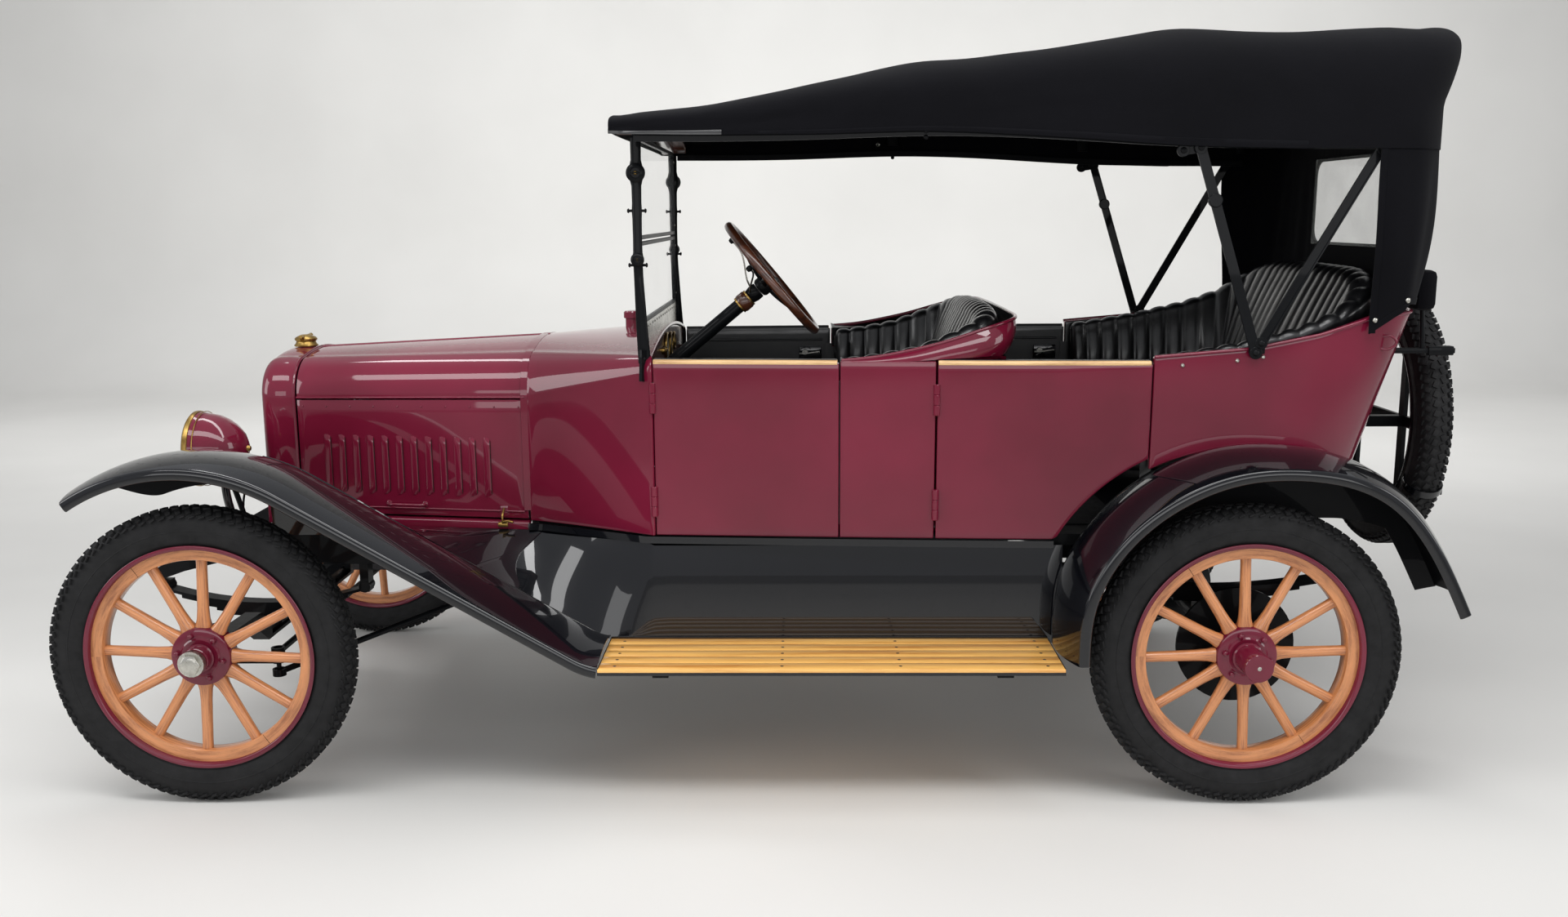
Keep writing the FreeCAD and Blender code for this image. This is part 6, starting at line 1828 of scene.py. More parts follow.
def add_curtains():
    """Quarter and back curtains in one sheet, with a window let into the back."""
    columns = spread(-CURTAIN_HALF, CURTAIN_HALF, 128)
    count = 38
    flat, skip = [], set()
    for s in columns:
        for i in range(count):
            flat.append([s, CURTAIN_TOP + (curtain_low(s) - CURTAIN_TOP) * i / (count - 1)])
    faces = []
    for j in range(len(columns) - 1):
        for i in range(count - 1):
            corners = (j * count + i, j * count + i + 1, (j + 1) * count + i + 1, (j + 1) * count + i)
            s = sum(flat[c][0] for c in corners) / 4
            z = sum(flat[c][1] for c in corners) / 4
            if pane_edge(s, z)[0] < 0:
                skip.update(corners)
            else:
                faces.append(corners)
    kept = {c for face in faces for c in face}
    for corner in skip & kept:
        flat[corner] = list(pane_edge(*flat[corner])[1])
    order = {c: k for k, c in enumerate(sorted(kept))}
    points = [at(*curtain_at(*flat[c])) for c in sorted(kept)]
    sheet = piece("curtain", points, [tuple(order[c] for c in face) for face in faces], CANVAS, crease=75)
    faced(sheet, (-1300, 0, 1400))
    thickened(sheet, 2.0).modifiers[-1].use_even_offset = False
    settle(sheet, 75)
    sheet.name = "rear_and_quarter_curtain"
    pane_rows = []
    for share in spread(0, 1, 14):
        z = PANE_LOW - 8 + (PANE_HIGH - PANE_LOW + 16) * share
        pane_rows.append([at(curtain_at(s, z)[0] + 2.6, curtain_at(s, z)[1], z)
            for s in spread(-PANE_HALF - 8, PANE_HALF + 8, 30)])
    pane = skin("rear_window_pane", pane_rows, CELLULOID)
    thickened(pane, 0.9)
    settle(pane, 60)
    trim = []
    for lift in (-2.2, 3.0):
        ring = []
        for inner, outer in zip(pane_outline(0.5), pane_outline(12)):
            a, b = Vector(curtain_at(*inner)), Vector(curtain_at(*outer))
            ring.append([at(a.x + 0.4 * lift, a.y, a.z), at(a.x + lift, a.y, a.z),
                at(b.x + lift, b.y, b.z), at(b.x + 0.3 * lift, b.y, b.z)])
        trim.append(skin("binding", ring, CANVAS, closed_rows=True, crease=50))
    for side in (1, -1):
        edge = []
        for z in spread(CURTAIN_TOP - 4, curtain_low(CURTAIN_HALF) + 1, 34):
            a, b = Vector(curtain_at(side * CURTAIN_HALF, z)), Vector(
                curtain_at(side * (CURTAIN_HALF - 15), z))
            edge.append(hem_row(a, b, Vector((1, 0, 0)), Vector((0, side * 1.4, 0))))
        trim.append(skin("front_hem", edge, CANVAS, crease=60))
    low = []
    for s in spread(-CURTAIN_HALF, CURTAIN_HALF, 100):
        bottom = curtain_low(s)
        a, b = Vector(curtain_at(s, bottom)), Vector(curtain_at(s, bottom + 16))
        out = Vector((a.x + 1350, a.y, 0)).normalized() * 1.5
        low.append(hem_row(a, b, Vector((0, 0, -1)), out))
    trim.append(skin("lower_hem", low, CANVAS, crease=60))
    binding = joined("curtain_binding", trim)
    snaps = []
    for s, rise in ((CURTAIN_HALF - 13, 24), (CURTAIN_HALF - 106, 16), (505, 14), (330, 14), (120, 14)):
        for side in (1, -1):
            spot = Vector(curtain_at(side * s, curtain_low(s) + rise))
            out = Vector((spot.x + 1350, spot.y * 1.3, 0)).normalized()
            snaps.append(dome("snap", 7.0, 4.5, tuple(spot + out * 0.5), tuple(out), NICKEL, 20))
    snap_set = joined("curtain_snaps", snaps)
    fitted(sheet, "car", "black_canvas")
    fitted(pane, "car", "pane", "rear_window")
    fitted(binding, "car", "black_canvas")
    fitted(snap_set, "car", "cast_metal")
    return sheet, binding, snap_set


canopy, canopy_binding = add_canopy()
curtain, curtain_binding, curtain_snaps = add_curtains()


# Upholstery

def pressed(rows, along, pleats, depth, weights, soft):
    """Draws rows of a stuffed shape in at the pleats' seams and rounds its two ends."""
    total = along[-1]
    found = []
    for i, row in enumerate(rows):
        before, after = rows[max(0, i - 1)], rows[min(len(rows) - 1, i + 1)]
        share = along[i] / total
        groove = depth * (1 - abs(sin(pi * pleats * share)) ** 0.55)
        end = min(along[i], total - along[i])
        tuck = soft * (1 - sqrt(max(0, 1 - (1 - min(1, end / soft)) ** 2)))
        centre = sum(row, Vector()) / len(row)
        new = []
        for j, p in enumerate(row):
            ahead = (after[j] - before[j])
            tangent = row[(j + 1) % len(row)] - row[j - 1]
            out = tangent.cross(ahead)
            if out.length < 1e-9:
                out = p - centre
            out.normalize()
            if out.dot(p - centre) < 0:
                out = -out
            new.append(p - out * (groove * weights[j] + tuck))
        found.append(new)
    return found


def stuffed(name, rows, pleats, depth, weights, soft=20):
    """A pleated leather shape through closed rows of points, shut at both ends."""
    middle = [sum(row, Vector()) / len(row) for row in rows]
    along = lengths([tuple(p) for p in middle])
    shaped = pressed(rows, along, pleats, depth, weights, soft)
    points = [at(*p) for row in shaped for p in row]
    count = len(rows[0])
    faces = grid_faces(len(rows), count, False, True)
    ends = []
    for row, first in ((shaped[0], 0), (shaped[-1], (len(rows) - 1) * count)):
        centre = sum(row, Vector()) / count
        points.append(at(*centre))
        hub = len(points) - 1
        ends += [(first + k, first + (k + 1) % count, hub) for k in range(count)]
    return piece(name, points, faces + ends, LEATHER, crease=80)


def horseshoe(name, half_path, top, low, roll, deep, lean, pleats):
    """Arms and back in one pleated wrap with a rolled top. The tables run from an arm to the middle."""
    path = half_path + [(x, -y) for x, y in reversed(half_path[:-1])]
    knots = lengths(path)
    line = Line(knots, path)
    total = knots[-1]
    rows = []
    for s in spread(0, total, pleats * 10 + 1):
        spot = line(s)
        ahead = line(min(s + 3, total)) - line(max(s - 3, 0))
        ahead /= np.linalg.norm(ahead)
        inward = Vector((-ahead[1], ahead[0], 0))
        end = min(s, total - s)
        high, floor, r = read_off(top, end), read_off(low, end), read_off(roll, end)
        wide, tilt = read_off(deep, end), read_off(lean, end)
        loop = [(0, floor + (high - r - floor) * k / 6, 0.1) for k in range(6)]
        loop += [(r - r * cos(radians(a)), high - r + r * sin(radians(a)), 0.35 + 0.65 * a / 90
            if a < 90 else 1) for a in range(0, 181, 15)]
        for k in range(1, 13):
            share = k / 12
            bulge = 10 * sin(pi * share) ** 0.8
            loop.append((2 * r + (wide - 2 * r) * share + bulge, high - r + (floor - high + r) * share,
                1 if share < 0.95 else 0.4))
        loop += [(wide * 0.66, floor, 0), (wide * 0.33, floor, 0)]
        weights = [w for _, _, w in loop]
        rows.append([Vector((spot[0], spot[1], z)) + inward * (q + tilt * (high - z)) for q, z, _ in loop])
    return stuffed(name, rows, pleats, 9.0, weights, 18)


def seat_cushion(name, x0, x1, z0, z1, half, pleats):
    """A sprung cushion: rolls run from its front edge to its back."""
    rows = []
    for y in spread(-half, half, pleats * 10 + 1):
        crown_up = 16 * (1 - (y / half) ** 4)
        loop = []
        corners = [(x1 - 34, z1 - 34, 90, 0, 34), (x1 - 16, z0 + 16, 0, -90, 16),
            (x0 + 14, z0 + 14, 270, 180, 14), (x0 + 26, z1 - 26, 180, 90, 26)]
        loop_points = []
        for cx, cz, first, last, r in corners:
            for k in range(6):
                angle = radians(first + (last - first) * k / 5)
                loop_points.append((cx + r * cos(angle), cz + r * sin(angle)))
        top = [(x0 + 26 + (x1 - 34 - x0 - 26) * k / 11, z1) for k in range(1, 11)]
        loop_points += top
        weights = []
        for x, z in loop_points:
            share = ease((z - z0 - 20) / (z1 - z0 - 20))
            up = crown_up * share * sin(pi * min(1, max(0, (x - x0) / (x1 - x0)))) ** 0.6
            loop.append(Vector((x, y, z + up - 8 * share)))
            weights.append(share)
        rows.append(loop)
    return stuffed(name, rows, pleats, 9.0, weights, 22)


def add_seats():
    """Each seat's wrap-round back and arms, and its cushion."""
    front = horseshoe("front_seat_wrap", [(-306, 464), (-420, 467), (-545, 466), (-640, 450),
        (-704, 400), (-731, 305), (-738, 150), (-739, 0)],
        [(0, 1092), (90, 1104), (190, 1122), (300, 1164), (390, 1192), (470, 1206), (640, 1216),
        (900, 1220)], [(0, 905), (300, 915), (460, 935), (900, 935)],
        [(0, 20), (240, 25), (420, 34), (900, 38)], [(0, 46), (300, 66), (460, 96), (900, 108)],
        [(0, 0), (260, 0.02), (430, 0.2), (900, 0.24)], 30)
    cushion = seat_cushion("front_seat_cushion", -610, -110, 822, 936, 430, 15)
    rear = horseshoe("rear_seat_wrap", [(-1082, 550), (-1200, 560), (-1350, 560), (-1480, 548),
        (-1590, 520), (-1670, 450), (-1706, 350), (-1722, 180), (-1724, 0)],
        [(0, 1104), (80, 1116), (220, 1140), (370, 1176), (480, 1216), (580, 1268), (690, 1300),
        (800, 1314), (1200, 1318)], [(0, 908), (300, 910), (520, 935), (1100, 930)],
        [(0, 17), (300, 22), (560, 34), (1200, 42)], [(0, 54), (300, 72), (560, 104), (1200, 124)],
        [(0, 0), (400, 0.05), (600, 0.24), (1200, 0.33)], 38)
    bench = seat_cushion("rear_seat_cushion", -1590, -1050, 792, 922, 455, 16)
    for item, replaced in ((front, ()), (cushion, ("front_seat",)), (rear, ()), (bench, ("rear_seat",))):
        fitted(item, "car", "black_leather", *replaced)
    return front, cushion, rear, bench


seats = add_seats()


# Bows, straps and irons that carry the top

def flat_bow(x):
    """A laminated bow bent to the cloth's section, the front one wider and of walnut."""
    wide, material = (44, WALNUT) if x > 0 else (34, CHASSIS)
    thick, clear = 15, 9
    low, high = along_top(x, 1), along_top(x, 2)
    shares = [p for p in section_shares(46) if p[1] > 0.08]
    half = [((TOP_HALF - clear) * u, low + (high - clear - low) * v) for u, v in shares]
    line = both_sides(half)
    rows = []
    for i, (y, z) in enumerate(line):
        before, after = line[max(0, i - 1)], line[min(len(line) - 1, i + 1)]
        ahead = Vector((0, after[0] - before[0], after[1] - before[1])).normalized()
        inward = Vector((0, -ahead.z, ahead.y))
        if inward.dot(Vector((0, -y, low - 200 - z))) < 0:
            inward = -inward
        spot = Vector((x, y, z))
        rows.append([at(*(spot + Vector((dx, 0, 0)) + inward * dn)) for dx,
            dn in ((-wide / 2, 2), (-wide / 2 + 3, 0), (wide / 2 - 3, 0), (wide / 2, 2),
            (wide / 2, thick - 2), (wide / 2 - 3, thick), (3 - wide / 2, thick),
            (-wide / 2, thick - 2))])
    return capped("bow", rows, material)


FLANGED = [(-3.2, -12), (3.2, -12), (3.2, -8.6), (0.2, -8.0), (0.2, 8.0), (3.2, 8.6), (3.2, 12), (-3.2, 12)]


def iron(start, end, side):
    """A rolled iron with raised edges between two pivots, rounded eyes at its ends."""
    a, b = Vector(start), Vector(end)
    line = [tuple(a.lerp(b, s)) for s in spread(0, 1, 10)]
    parts = [strip("iron", line, [(p * side, q) for p, q in FLANGED], CHASSIS, crease=30)]
    for spot in (a, b):
        eye = turned("eye", [(3, -4), (14.5, -4), (15.5, -3), (15.5, 3), (14.5, 4), (3, 4)], CHASSIS, 24)
        parts.append(placed(eye, *spot))
        parts.append(dome("pin", 8, 5, (spot.x, spot.y + side * 3.5, spot.z), (0, side, 0), CHASSIS, 16))
        parts.append(dome("pin", 6.5, 4, (spot.x, spot.y - side * 3.5, spot.z), (0, -side, 0), CHASSIS, 6))
    return parts


def add_top_irons():
    """Bows and header under the cloth, the straps and irons at its sides, and a stud on each side."""
    woods = [flat_bow(x) for x in BOWS]
    header = strip("header", [(232, y, 1664 + 30 * (1 - (y / 560) ** 4))
        for y in spread(-560, 560, 41)], [(-17, -13), (17, -13), (19, -11), (19, 11), (17, 13),
        (-17, 13), (-19, 11), (-19, -11)], WALNUT)
    woods.append(header)
    irons = []
    for side in (1, -1):
        y = side * 598
        strap = [(205, y, 1642), (-200, y, 1644), (-500, y, 1652), (-860, y, 1640), (-1120, y, 1624),
            (-1400, y, 1618), (-1640, y, 1616)]
        irons.append(strip("strap", smooth_points(strap, 6), [(-3, -9), (3, -9), (3, 9), (-3, 9)], CHASSIS))
        y = side * 610
        irons += iron((-1316, y, 1118), (-1158, y, 1612), side)
        irons += iron((-1328, y, 1142), (-1590, y, 1610), side)
        irons += iron((-1158, y - side * 7, 1612), (-1118, y - side * 7, 1606), side)
        middle = Vector((-1314, y, 1132)).lerp(Vector((-1158, y, 1612)), 0.74)
        joint = turned("joint", [(0.5, -7), (15, -7), (17, -5), (17, 5), (15, 7), (0.5, 7)], CHASSIS, 28)
        irons.append(placed(joint, *middle))
        irons.append(body_block("foot", (40, 7, 26), (-1320, side * 605, 1128), 3, CHASSIS))
        irons.append(bar("foot_stem", [(-1316, side * 604, 1132), (-1316, side * 592, 1112),
            (-1316, side * 580, 1096)], 8, CHASSIS))
        for x in (-500, -1120):
            for dz in (-2, 12):
                irons.append(dome("rivet", 6, 4, (x, side * 601.5, along_top(x, 1) - 12 + dz),
                    (0, side, 0), CHASSIS, 14))
    fitted(joined("top_irons", irons), "car", "black_paint", "top_frame")
    fitted(joined("top_bows", woods), "car", "dark_wood")
    stud = dome("stud", 6.5, 4, (-453, TOP_HALF - 4.5, 1682), (0, 1, 0), NICKEL, 20)
    fitted(on_both_sides("top_side_studs", [stud]), "car", "cast_metal")


add_top_irons()


# Windshield

PANES = ((1180.0, 1392.0), (1396.0, 1655.0))
SHIELD_X = 212.0
UPPER_CLAMP_Z = 1562.0
LOWER_CLAMP_Z = 1348.0
SHIELD_HALF = 500.0


def shield_post(side):
    """A forged post, flattened and tapered, swelling round each clamp."""
    table = [(1040, 199, 16, 9), (1090, 201, 16, 8.5), (1180, 206, 14.5, 8), (1300, 211, 12, 8),
        (1330, 212, 12, 8), (1348, 212, 15, 9), (1366, 212, 12, 8), (1400, 212, 11.5, 8),
        (1450, 212, 12, 8), (1469, 212, 13, 8.4), (1488, 212, 12, 8), (1530, 212, 12.5, 8),
        (1548, 212, 17, 9), (1562, 212, 20, 9.5), (1576, 212, 17, 9), (1594, 212, 13, 8),
        (1640, 212, 13.5, 8), (1652, 212, 12.5, 8)]
    rows = []
    for z, x, rx, ry in table:
        angles = [2 * pi * k / 18 for k in range(18)]
        rows.append([at(x + rx * cos(a), side * SHIELD_HALF + ry * sin(a), z) for a in angles])
    return capped("post", rows, CHASSIS, 70)


def add_windshield():
    """Posts with their clamps, two framed panes, and the plate with its screws below them."""
    frame_parts, bright, brassy = [], [], []
    for side in (1, -1):
        frame_parts.append(shield_post(side))
        for z, radius in ((UPPER_CLAMP_Z, 22), (LOWER_CLAMP_Z, 15)):
            knob = turned("knob", [(0.5, 6), (radius, 6), (radius + 2, 9), (radius + 2, 15),
                (radius - 2, 19), (radius * 0.6, 20), (radius * 0.55, 17.5), (0.5, 17.5)], CHASSIS, 40)
            if side < 0:
                moved(knob, ACROSS)
            frame_parts.append(placed(knob, SHIELD_X, side * SHIELD_HALF, z))
            brassy.append(dome("button", radius * 0.24, 5, (SHIELD_X, side * (SHIELD_HALF + 17), z),
                (0, side, 0), BRASS, 20))
            spot = (SHIELD_X, side * (SHIELD_HALF + 22), z)
            brassy.append(body_block("wing", (radius * 0.95, 4, 4), spot, 1.5, CHASSIS))
        for z in (1469, 1334):
            frame_parts.append(bar("pin", [(SHIELD_X - 21, side * SHIELD_HALF, z),
                (SHIELD_X + 21, side * SHIELD_HALF, z)], 3.6, CHASSIS, 10))
            for dx in (-20, 20):
                frame_parts.append(dome("end", 6, 5, (SHIELD_X + dx, side * SHIELD_HALF, z),
                    (copysign(1, dx), 0, 0), CHASSIS, 12))
        foot = strip("foot", [(199, side * 508, 1120), (201, side * 511, 1076),
            (203, side * 516, 1040)], [(-4, -17), (4, -17), (5, -15), (5, 15), (4, 17), (-4, 17)],
            CHASSIS)
        frame_parts.append(foot)
        for z in (1066, 1098):
            frame_parts.append(dome("screw", 5.5, 3.4, (201, side * 515, z), (0, side, 0), CHASSIS, 6))
    glass_half = SHIELD_HALF - 14
    for low, high in PANES:
        y = glass_half - 3
        ring = [(SHIELD_X, -y, low + 6), (SHIELD_X, y, low + 6), (SHIELD_X, y, high - 6),
            (SHIELD_X, -y, high - 6)]
        rows = []
        for x, yy, z in ring:
            ny, nz = (copysign(1, yy), copysign(1, z - (low + high) / 2))
            rows.append([at(x + dx, yy + ny * dn, z + nz * dn) for dx,
                dn in ((-5, -5), (-5, 4), (-3, 5.6), (3, 5.6), (5, 4), (5, -5), (2.4, -5), (-2.4, -5))])
        frame_parts.append(skin("pane_frame", rows, CHASSIS, closed_rows=True, closed_columns=True,
            crease=30))
        for z in (low + 30, high - 30):
            for side in (1, -1):
                bright.append(dome("screw", 3.2, 1.6, (SHIELD_X - 5, side * y, z), (-1, 0, 0), NICKEL, 10))
    rows = []
    for y in spread(-486, 486, 60):
        section = crown(SHIELD_HALF + 22, 1058, 1146, 38)
        ground = read_off(section[::-1], abs(y))
        rows.append([at(SHIELD_X - 3, y, ground - 4), at(SHIELD_X - 3, y, 1174), at(SHIELD_X - 3, y, 1181)])
    apron = faced(skin("base_plate", rows, NICKEL), (0, 0, 1150))
    thickened(apron, 3, 0)
    bright.append(settle(apron, 40))
    for y in spread(-460, 460, 17):
        bright.append(dome("screw", 3.4, 2, (SHIELD_X - 4.6, y, 1170), (-1, 0, 0), NICKEL, 10))
    fitted(joined("windshield_posts", frame_parts), "car", "black_paint", "windshield_frame")
    fitted(joined("windshield_brightwork", bright), "car", "cast_metal")
    fitted(joined("windshield_wing_nuts", brassy), "car", "brass")


add_windshield()


# Steering wheel, column and dashboard

WHEEL_HUB = Vector((-121, 248, 1289))
COLUMN_WAY = Vector((0.7693, 0, -0.6388))


def on_column(item):
    """Puts a piece made about Y on the column, its +Y end looking down from the wheel's hub."""
    return moved(item, to_place(*WHEEL_HUB) @ turn_to(COLUMN_WAY))


def add_steering():
    """The steering wheel, and the column with its levers, bracket and gear box."""
    radius, thick = 181, 11.0
    rim = []
    for k in range(120):
        angle = 2 * pi * k / 120
        grip = 1.2 * cos(12 * angle)
        row = []
        for j in range(14):
            a = 2 * pi * j / 14
            swell = grip if j > 5 else 0
            row.append(Vector(((radius + (thick + swell) * cos(a)) / 1000 * cos(angle),
                (thick + 1) * sin(a) / 1000, (radius + thick * cos(a)) / 1000 * sin(angle))))
        rim.append(row)
    wood_rim = skin("rim", rim, WALNUT, closed_rows=True, closed_columns=True, crease=80)
    spider = []
    for k in range(4):
        arm = []
        for share in spread(0, 1, 10):
            reach = 18 + 154 * share
            drop = 26 * (1 - ease(share))
            wide, deep = 11 - 3.2 * share, 5.0 - 1.2 * share
            arm.append([Vector((reach / 1000, (drop + deep * sin(a)) / 1000, wide * cos(a) / 1000))
                for a in [2 * pi * j / 12 for j in range(12)]])
        item = capped("arm", arm, CHASSIS)
        item.data.transform(Matrix.Rotation(pi / 4 + pi / 2 * k, 4, "Y"))
        spider.append(item)
    hub = turned("hub", [(0.5, 10), (20, 10), (24, 14), (26, 24), (26, 40), (22, 46), (20.5, 46),
        (20.5, 47), (0.5, 47)], CHASSIS, 40)
    nut = turned("nut", [(0.5, 2), (11, 2), (13, 4), (13, 12), (0.5, 12)], BRASS, 6, crease=20)
    wheel = joined("steering_wheel_rim", [wood_rim, *spider, hub, nut])
    on_column(wheel)
    fitted(wheel, "steering_wheel", "dark_wood", "steering_wheel")
    tube = turned("tube", [(15, 62), (18.6, 62), (18.8, 66), (18.8, 700), (18.8, 1120), (15, 1120)],
        CHASSIS, 40)
    collar = turned("collar", [(18, 84), (23, 84), (25.5, 88), (25.5, 108), (23, 112), (18, 112)],
        WALNUT, 40)
    ring = turned("ring", [(18, 80), (24, 80), (24, 84), (18, 84)], BRASS, 40)
    ring_low = turned("ring", [(18, 112), (24, 112), (24, 116), (18, 116)], BRASS, 40)
    head = turned("head", [(12, 49), (21, 49), (22.5, 52), (22.5, 66), (20, 78), (18, 80), (12, 80)],
        CHASSIS, 40)
    bell = turned("bell", [(18, 1000), (30, 1010), (34, 1030), (34, 1046), (18, 1050)], CHASSIS, 40)
    levers = []
    for reach, angle, along in ((150, 1.12, 60), (138, 2.0, 68)):
        points = []
        for share in spread(0, 1, 14):
            radius = 18 + (reach - 18) * share
            lift = along - 44 * ease(share * 1.25)
            points.append(Vector((radius * cos(angle) / 1000, lift / 1000, radius * sin(angle) / 1000)))
        rows = []
        for p in points:
            rows.append([p + Vector((2.6 * cos(a) * -sin(angle), 2.6 * sin(a),
                2.6 * cos(a) * cos(angle))) / 1000 for a in [2 * pi * j / 8 for j in range(8)]])
        levers.append(capped("lever", rows, NICKEL))
        grip = turned("grip", [(0.4, -9), (6, -8), (8, -2), (8, 3), (6, 8), (0.4, 9)], CHASSIS, 18)
        grip.data.transform(Matrix.Translation(points[-1]))
        levers.append(grip)
    column = on_column(joined("column_tube", [tube, collar, ring, ring_low, head, bell, *levers]))
    box = body_block("gear_box", (92, 56, 96), (745, 243, 550), 12, CHASSIS)
    cover = dome("cover", 34, 12, (745, 272, 550), (0, 1, 0), CHASSIS, 32)
    bracket = body_block("bracket", (14, 60, 46), (178, 248, 1040), 4, CHASSIS)
    fitted(joined("steering_mast", [column, box, cover, bracket]), "car", "black_paint", "steering_column")


add_steering()


def add_dashboard():
    """Three round gauges and a switch let into the walnut board, with pedals and levers below."""
    brassy, dark, glass = [], [], []
    for y, z, radius in ((60, 1085, 42), (-60, 1085, 34), (-160, 1085, 26)):
        bezel = turned("bezel", [(radius - 5, 0), (radius, 0), (radius + 1.5, 2), (radius, 6),
            (radius - 4, 7), (radius - 6, 4)], BRASS, 48)
        face = turned("face", [(0.5, 1.5), (radius - 5, 1.5), (radius - 5, 0.5), (0.5, 0.5)], CHASSIS, 48)
        pane = turned("pane", [(0.5, 4.4), (radius - 5.5, 4.4), (radius - 5.5, 3.6), (0.5, 3.6)], LENS, 48)
        hand = rounded_block("hand", (radius * 1.1, 0.8, 2.2), (radius * 0.28, 2.4, 0), 0, NICKEL)
        for item, group in ((bezel, brassy), (face, dark), (pane, glass), (hand, brassy)):
            group.append(moved(item, to_place(188.6, y, z) @ turn_to((-1, 0, 0))))
    for y in (130, 172):
        brassy.append(dome("switch", 10, 12, (188.6, y, 1085), (-1, 0, 0), BRASS, 24))
    fitted(joined("gauge_bezels", brassy), "car", "brass")
    fitted(joined("gauge_glasses", glass), "car", "lens")
    for y in (118, 200, 290):
        dark.append(bar("pedal_stem", smooth_points([(392, y, 742), (352, y, 800), (318, y, 826)], 4),
            6, CHASSIS, 10))
        pad = rounded_block("pad", (14, 62, 76), (0, 0, 0), 4, CHASSIS)
        dark.append(moved(pad, to_place(312, y, 838) @ Matrix.Rotation(radians(38), 4, "Y")))
    dark.append(bar("gear_lever", smooth_points([(150, 20, 640), (128, 20, 780), (70, 26, 900),
        (20, 30, 965)], 5), 7, CHASSIS, 12))
    knob = turned("knob", [(0.5, -22), (14, -17), (21, -6), (22, 2), (18, 13), (9, 20), (0.5, 22)],
        CHASSIS, 28)
    dark.append(placed(knob, 18, 30, 972))
    dark.append(bar("brake_lever", smooth_points([(170, -60, 640), (150, -60, 780), (118, -62, 890)],
        5), 6.5, CHASSIS, 12))
    dark.append(body_block("floor_mat", (300, 620, 5), (20, 0, 642.5), 2, RUBBER))
    dark.append(body_block("rear_mat", (360, 820, 5), (-880, 0, 642.5), 2, RUBBER))
    fitted(joined("pedals_and_levers", dark), "car", "black_paint")


add_dashboard()


# Spare wheel's fittings and the rests behind the body

def add_rear_fittings():
    """The spare's rim and belts, strap loops, and the padded rests on their arms."""
    parts, pads = [moved(steel_rim("spare_rim", BLACK), SPARE_PLACE)], []
    for side in (1, -1):
        angle = radians(-27)
        belt = []
        for k in range(28):
            turn = 2 * pi * k / 28
            reach = 336 + 50.5 * cos(turn)
            x = SPARE_X + 48 * sin(turn)
            row = []
            for dy in (-10, 10):
                y = side * (reach * cos(angle) - dy * sin(angle))
                z = SPARE_Z + reach * sin(angle) + dy * cos(angle)
                row.append(at(x, y, z))
            belt.append(row)
        ring = skin("belt", belt, BLACK, closed_rows=True)
        thickened(ring, 2.4, 1)
        parts.append(settle(ring, 50))
        parts.append(body_block("buckle", (8, 26, 34), (-1938, side * 300, 716), 2, STEEL))
        y = side * 380
        parts.append(body_block("arm", (164, 18, 14), (-1828, y, 1100), 2, CHASSIS))
        parts.append(body_block("arm_plate", (66, 26, 24), (-1872, y, 1100), 3, CHASSIS))
        parts.append(dome("arm_bolt", 9, 12, (-1870, y, 1094), (0, 0, -1), STEEL, 6))
        parts.append(bar("rest_rod", [(-1827, y, 1096), (-1823, y, 1160), (-1819, y, 1212)], 6.2,
            CHASSIS, 14))
        pads.append(body_block("rest_pad", (54, 74, 104), (-1815, y, 1258), 17, CANVAS))
        loop = smooth_points([(-1640, side * 556, 1150), (-1664, side * 568, 1154),
            (-1676, side * 570, 1140), (-1662, side * 562, 1122), (-1638, side * 552, 1124)], 4)
        parts.append(bar("strap_loop", loop, 3.4, MAROON, 10))
    fitted(joined("rear_fittings", parts), "car", "black_paint")
    rests = joined("top_rest_pads", pads)
    fitted(rests, "car", "black_leather")
    return rests


rest_pads = add_rear_fittings()


# Studio

def stage_floor():
    """A pale floor that runs up into a pale wall behind the car."""
    wide = 26.0
    back = -8.6
    rows = [(13.0, 0.0), (back + 1.4, 0.0)]
    for step in range(1, 9):
        turn = pi / 2 * step / 8
        rows.append((back + 1.4 - 1.4 * sin(turn), 1.4 - 1.4 * cos(turn)))
    rows.append((back, 9.0))
    points = []
    for y, z in rows:
        points += [(-wide, y, z), (wide, y, z)]
    faces = [(2 * i, 2 * i + 2, 2 * i + 3, 2 * i + 1) for i in range(len(rows) - 1)]
    mesh = bpy.data.meshes.new("studio_floor")
    mesh.from_pydata(points, [], faces)
    for face in mesh.polygons:
        face.use_smooth = True
    floor = bpy.data.objects.new("studio_floor", mesh)
    bpy.context.scene.collection.objects.link(floor)
    f = Finish("studio_floor_paint", rough=0.55, spec=0.3)
    f.colour(f.ramp(f.noise(0.7, 3), [(0.3, tone(214, 213, 210)), (0.75, tone(222, 221, 218))]))
    f.rough(f.noise(3, 3), 0.5, 0.62)
    mesh.materials.append(f.material)


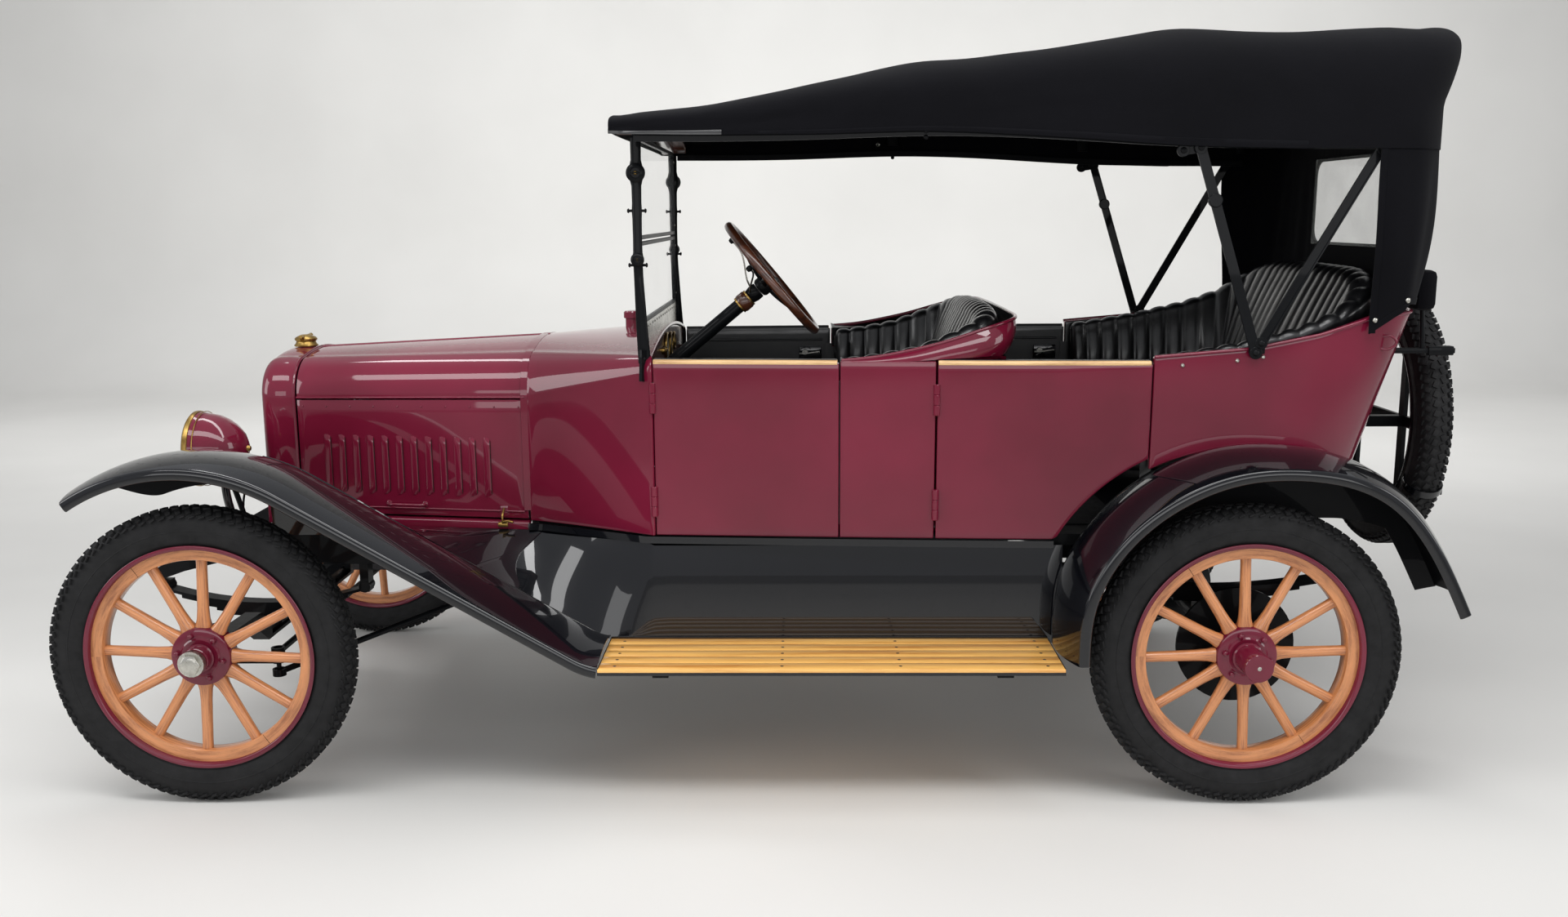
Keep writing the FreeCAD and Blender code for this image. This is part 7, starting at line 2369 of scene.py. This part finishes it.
def studio_world():
    world = bpy.data.worlds.new("studio_world")
    bpy.context.scene.world = world
    world.use_nodes = True
    tree = world.node_tree
    tree.nodes.clear()
    out = tree.nodes.new("ShaderNodeOutputWorld")
    rays = tree.nodes.new("ShaderNodeLightPath")
    skies = []
    for colour, strength in (((0.80, 0.81, 0.83, 1), 0.55), ((0.92, 0.92, 0.91, 1), 0.9),
            ((0.84, 0.86, 0.9, 1), 0.6)):
        sky = tree.nodes.new("ShaderNodeBackground")
        sky.inputs["Color"].default_value = colour
        sky.inputs["Strength"].default_value = strength
        skies.append(sky.outputs[0])
    room, seen, mirrored = skies
    either = tree.nodes.new("ShaderNodeMath")
    either.operation = "MAXIMUM"
    mix = tree.nodes.new("ShaderNodeMixShader")
    shine = tree.nodes.new("ShaderNodeMixShader")
    wires = ((rays.outputs["Is Camera Ray"], either.inputs[0]),
        (rays.outputs["Is Transmission Ray"], either.inputs[1]), (either.outputs[0], mix.inputs[0]),
        (room, mix.inputs[1]), (seen, mix.inputs[2]), (rays.outputs["Is Glossy Ray"], shine.inputs[0]),
        (mix.outputs[0], shine.inputs[1]), (mirrored, shine.inputs[2]),
        (shine.outputs[0], out.inputs["Surface"]))
    for start, end in wires:
        tree.links.new(start, end)


def lamp(name, place, target, width, height, watts):
    light = bpy.data.lights.new(name, "AREA")
    light.shape = "RECTANGLE"
    light.size = width
    light.size_y = height
    light.energy = watts
    lamp_object = bpy.data.objects.new(name, light)
    lamp_object.location = place
    aim = Vector(target) - Vector(place)
    lamp_object.rotation_euler = aim.to_track_quat("-Z", "Y").to_euler()
    lamp_object.visible_camera = False
    bpy.context.scene.collection.objects.link(lamp_object)


def photo_camera():
    """The camera that took the photograph, fitted to the wheels, the floor's seams and the top's rails."""
    pitch = 0.1771
    yaw = -0.0124
    roll = -0.0044
    ahead = Vector((0, -1, 0))
    right = Vector((-1, 0, 0))
    up = Vector((0, 0, 1))
    ahead, right = ahead * cos(yaw) + right * sin(yaw), right * cos(yaw) - ahead * sin(yaw)
    ahead, up = ahead * cos(pitch) - up * sin(pitch), up * cos(pitch) + ahead * sin(pitch)
    right, up = right * cos(roll) + up * sin(roll), up * cos(roll) - right * sin(roll)
    data = bpy.data.cameras.new("photo_camera")
    data.sensor_width = 36
    focal_length, picture_width = 1668.85, 1920
    data.lens = focal_length / picture_width * data.sensor_width
    data.clip_end = 60
    camera = bpy.data.objects.new("photo_camera", data)
    turn = Matrix((right, up, -ahead)).transposed().to_4x4()
    camera.matrix_world = Matrix.Translation(Vector((-0.067, 3.967, 1.458))) @ turn
    bpy.context.scene.collection.objects.link(camera)
    bpy.context.scene.camera = camera


stage_floor()
studio_world()
photo_camera()
lamp("ceiling_near", (0.2, 2.2, 3.5), (0, 0, 0.8), 5.8, 0.9, 92)
lamp("ceiling_middle", (0.2, 0.3, 3.9), (0, 0, 0.8), 5.6, 0.4, 66)
lamp("ceiling_far", (0.0, -3.6, 3.8), (0, -7.6, 1.2), 12.0, 1.0, 270)
lamp("front_side", (4.4, 1.6, 2.0), (0.5, 0, 0.7), 1.6, 2.0, 40)
lamp("rear_side", (-4.4, 1.6, 2.0), (-0.5, 0, 0.7), 1.6, 2.0, 34)
lamp("camera_side", (0.0, 7.4, 1.75), (0, 0, 0.9), 10.0, 1.5, 105)
bpy.context.scene.view_settings.view_transform = "Standard"
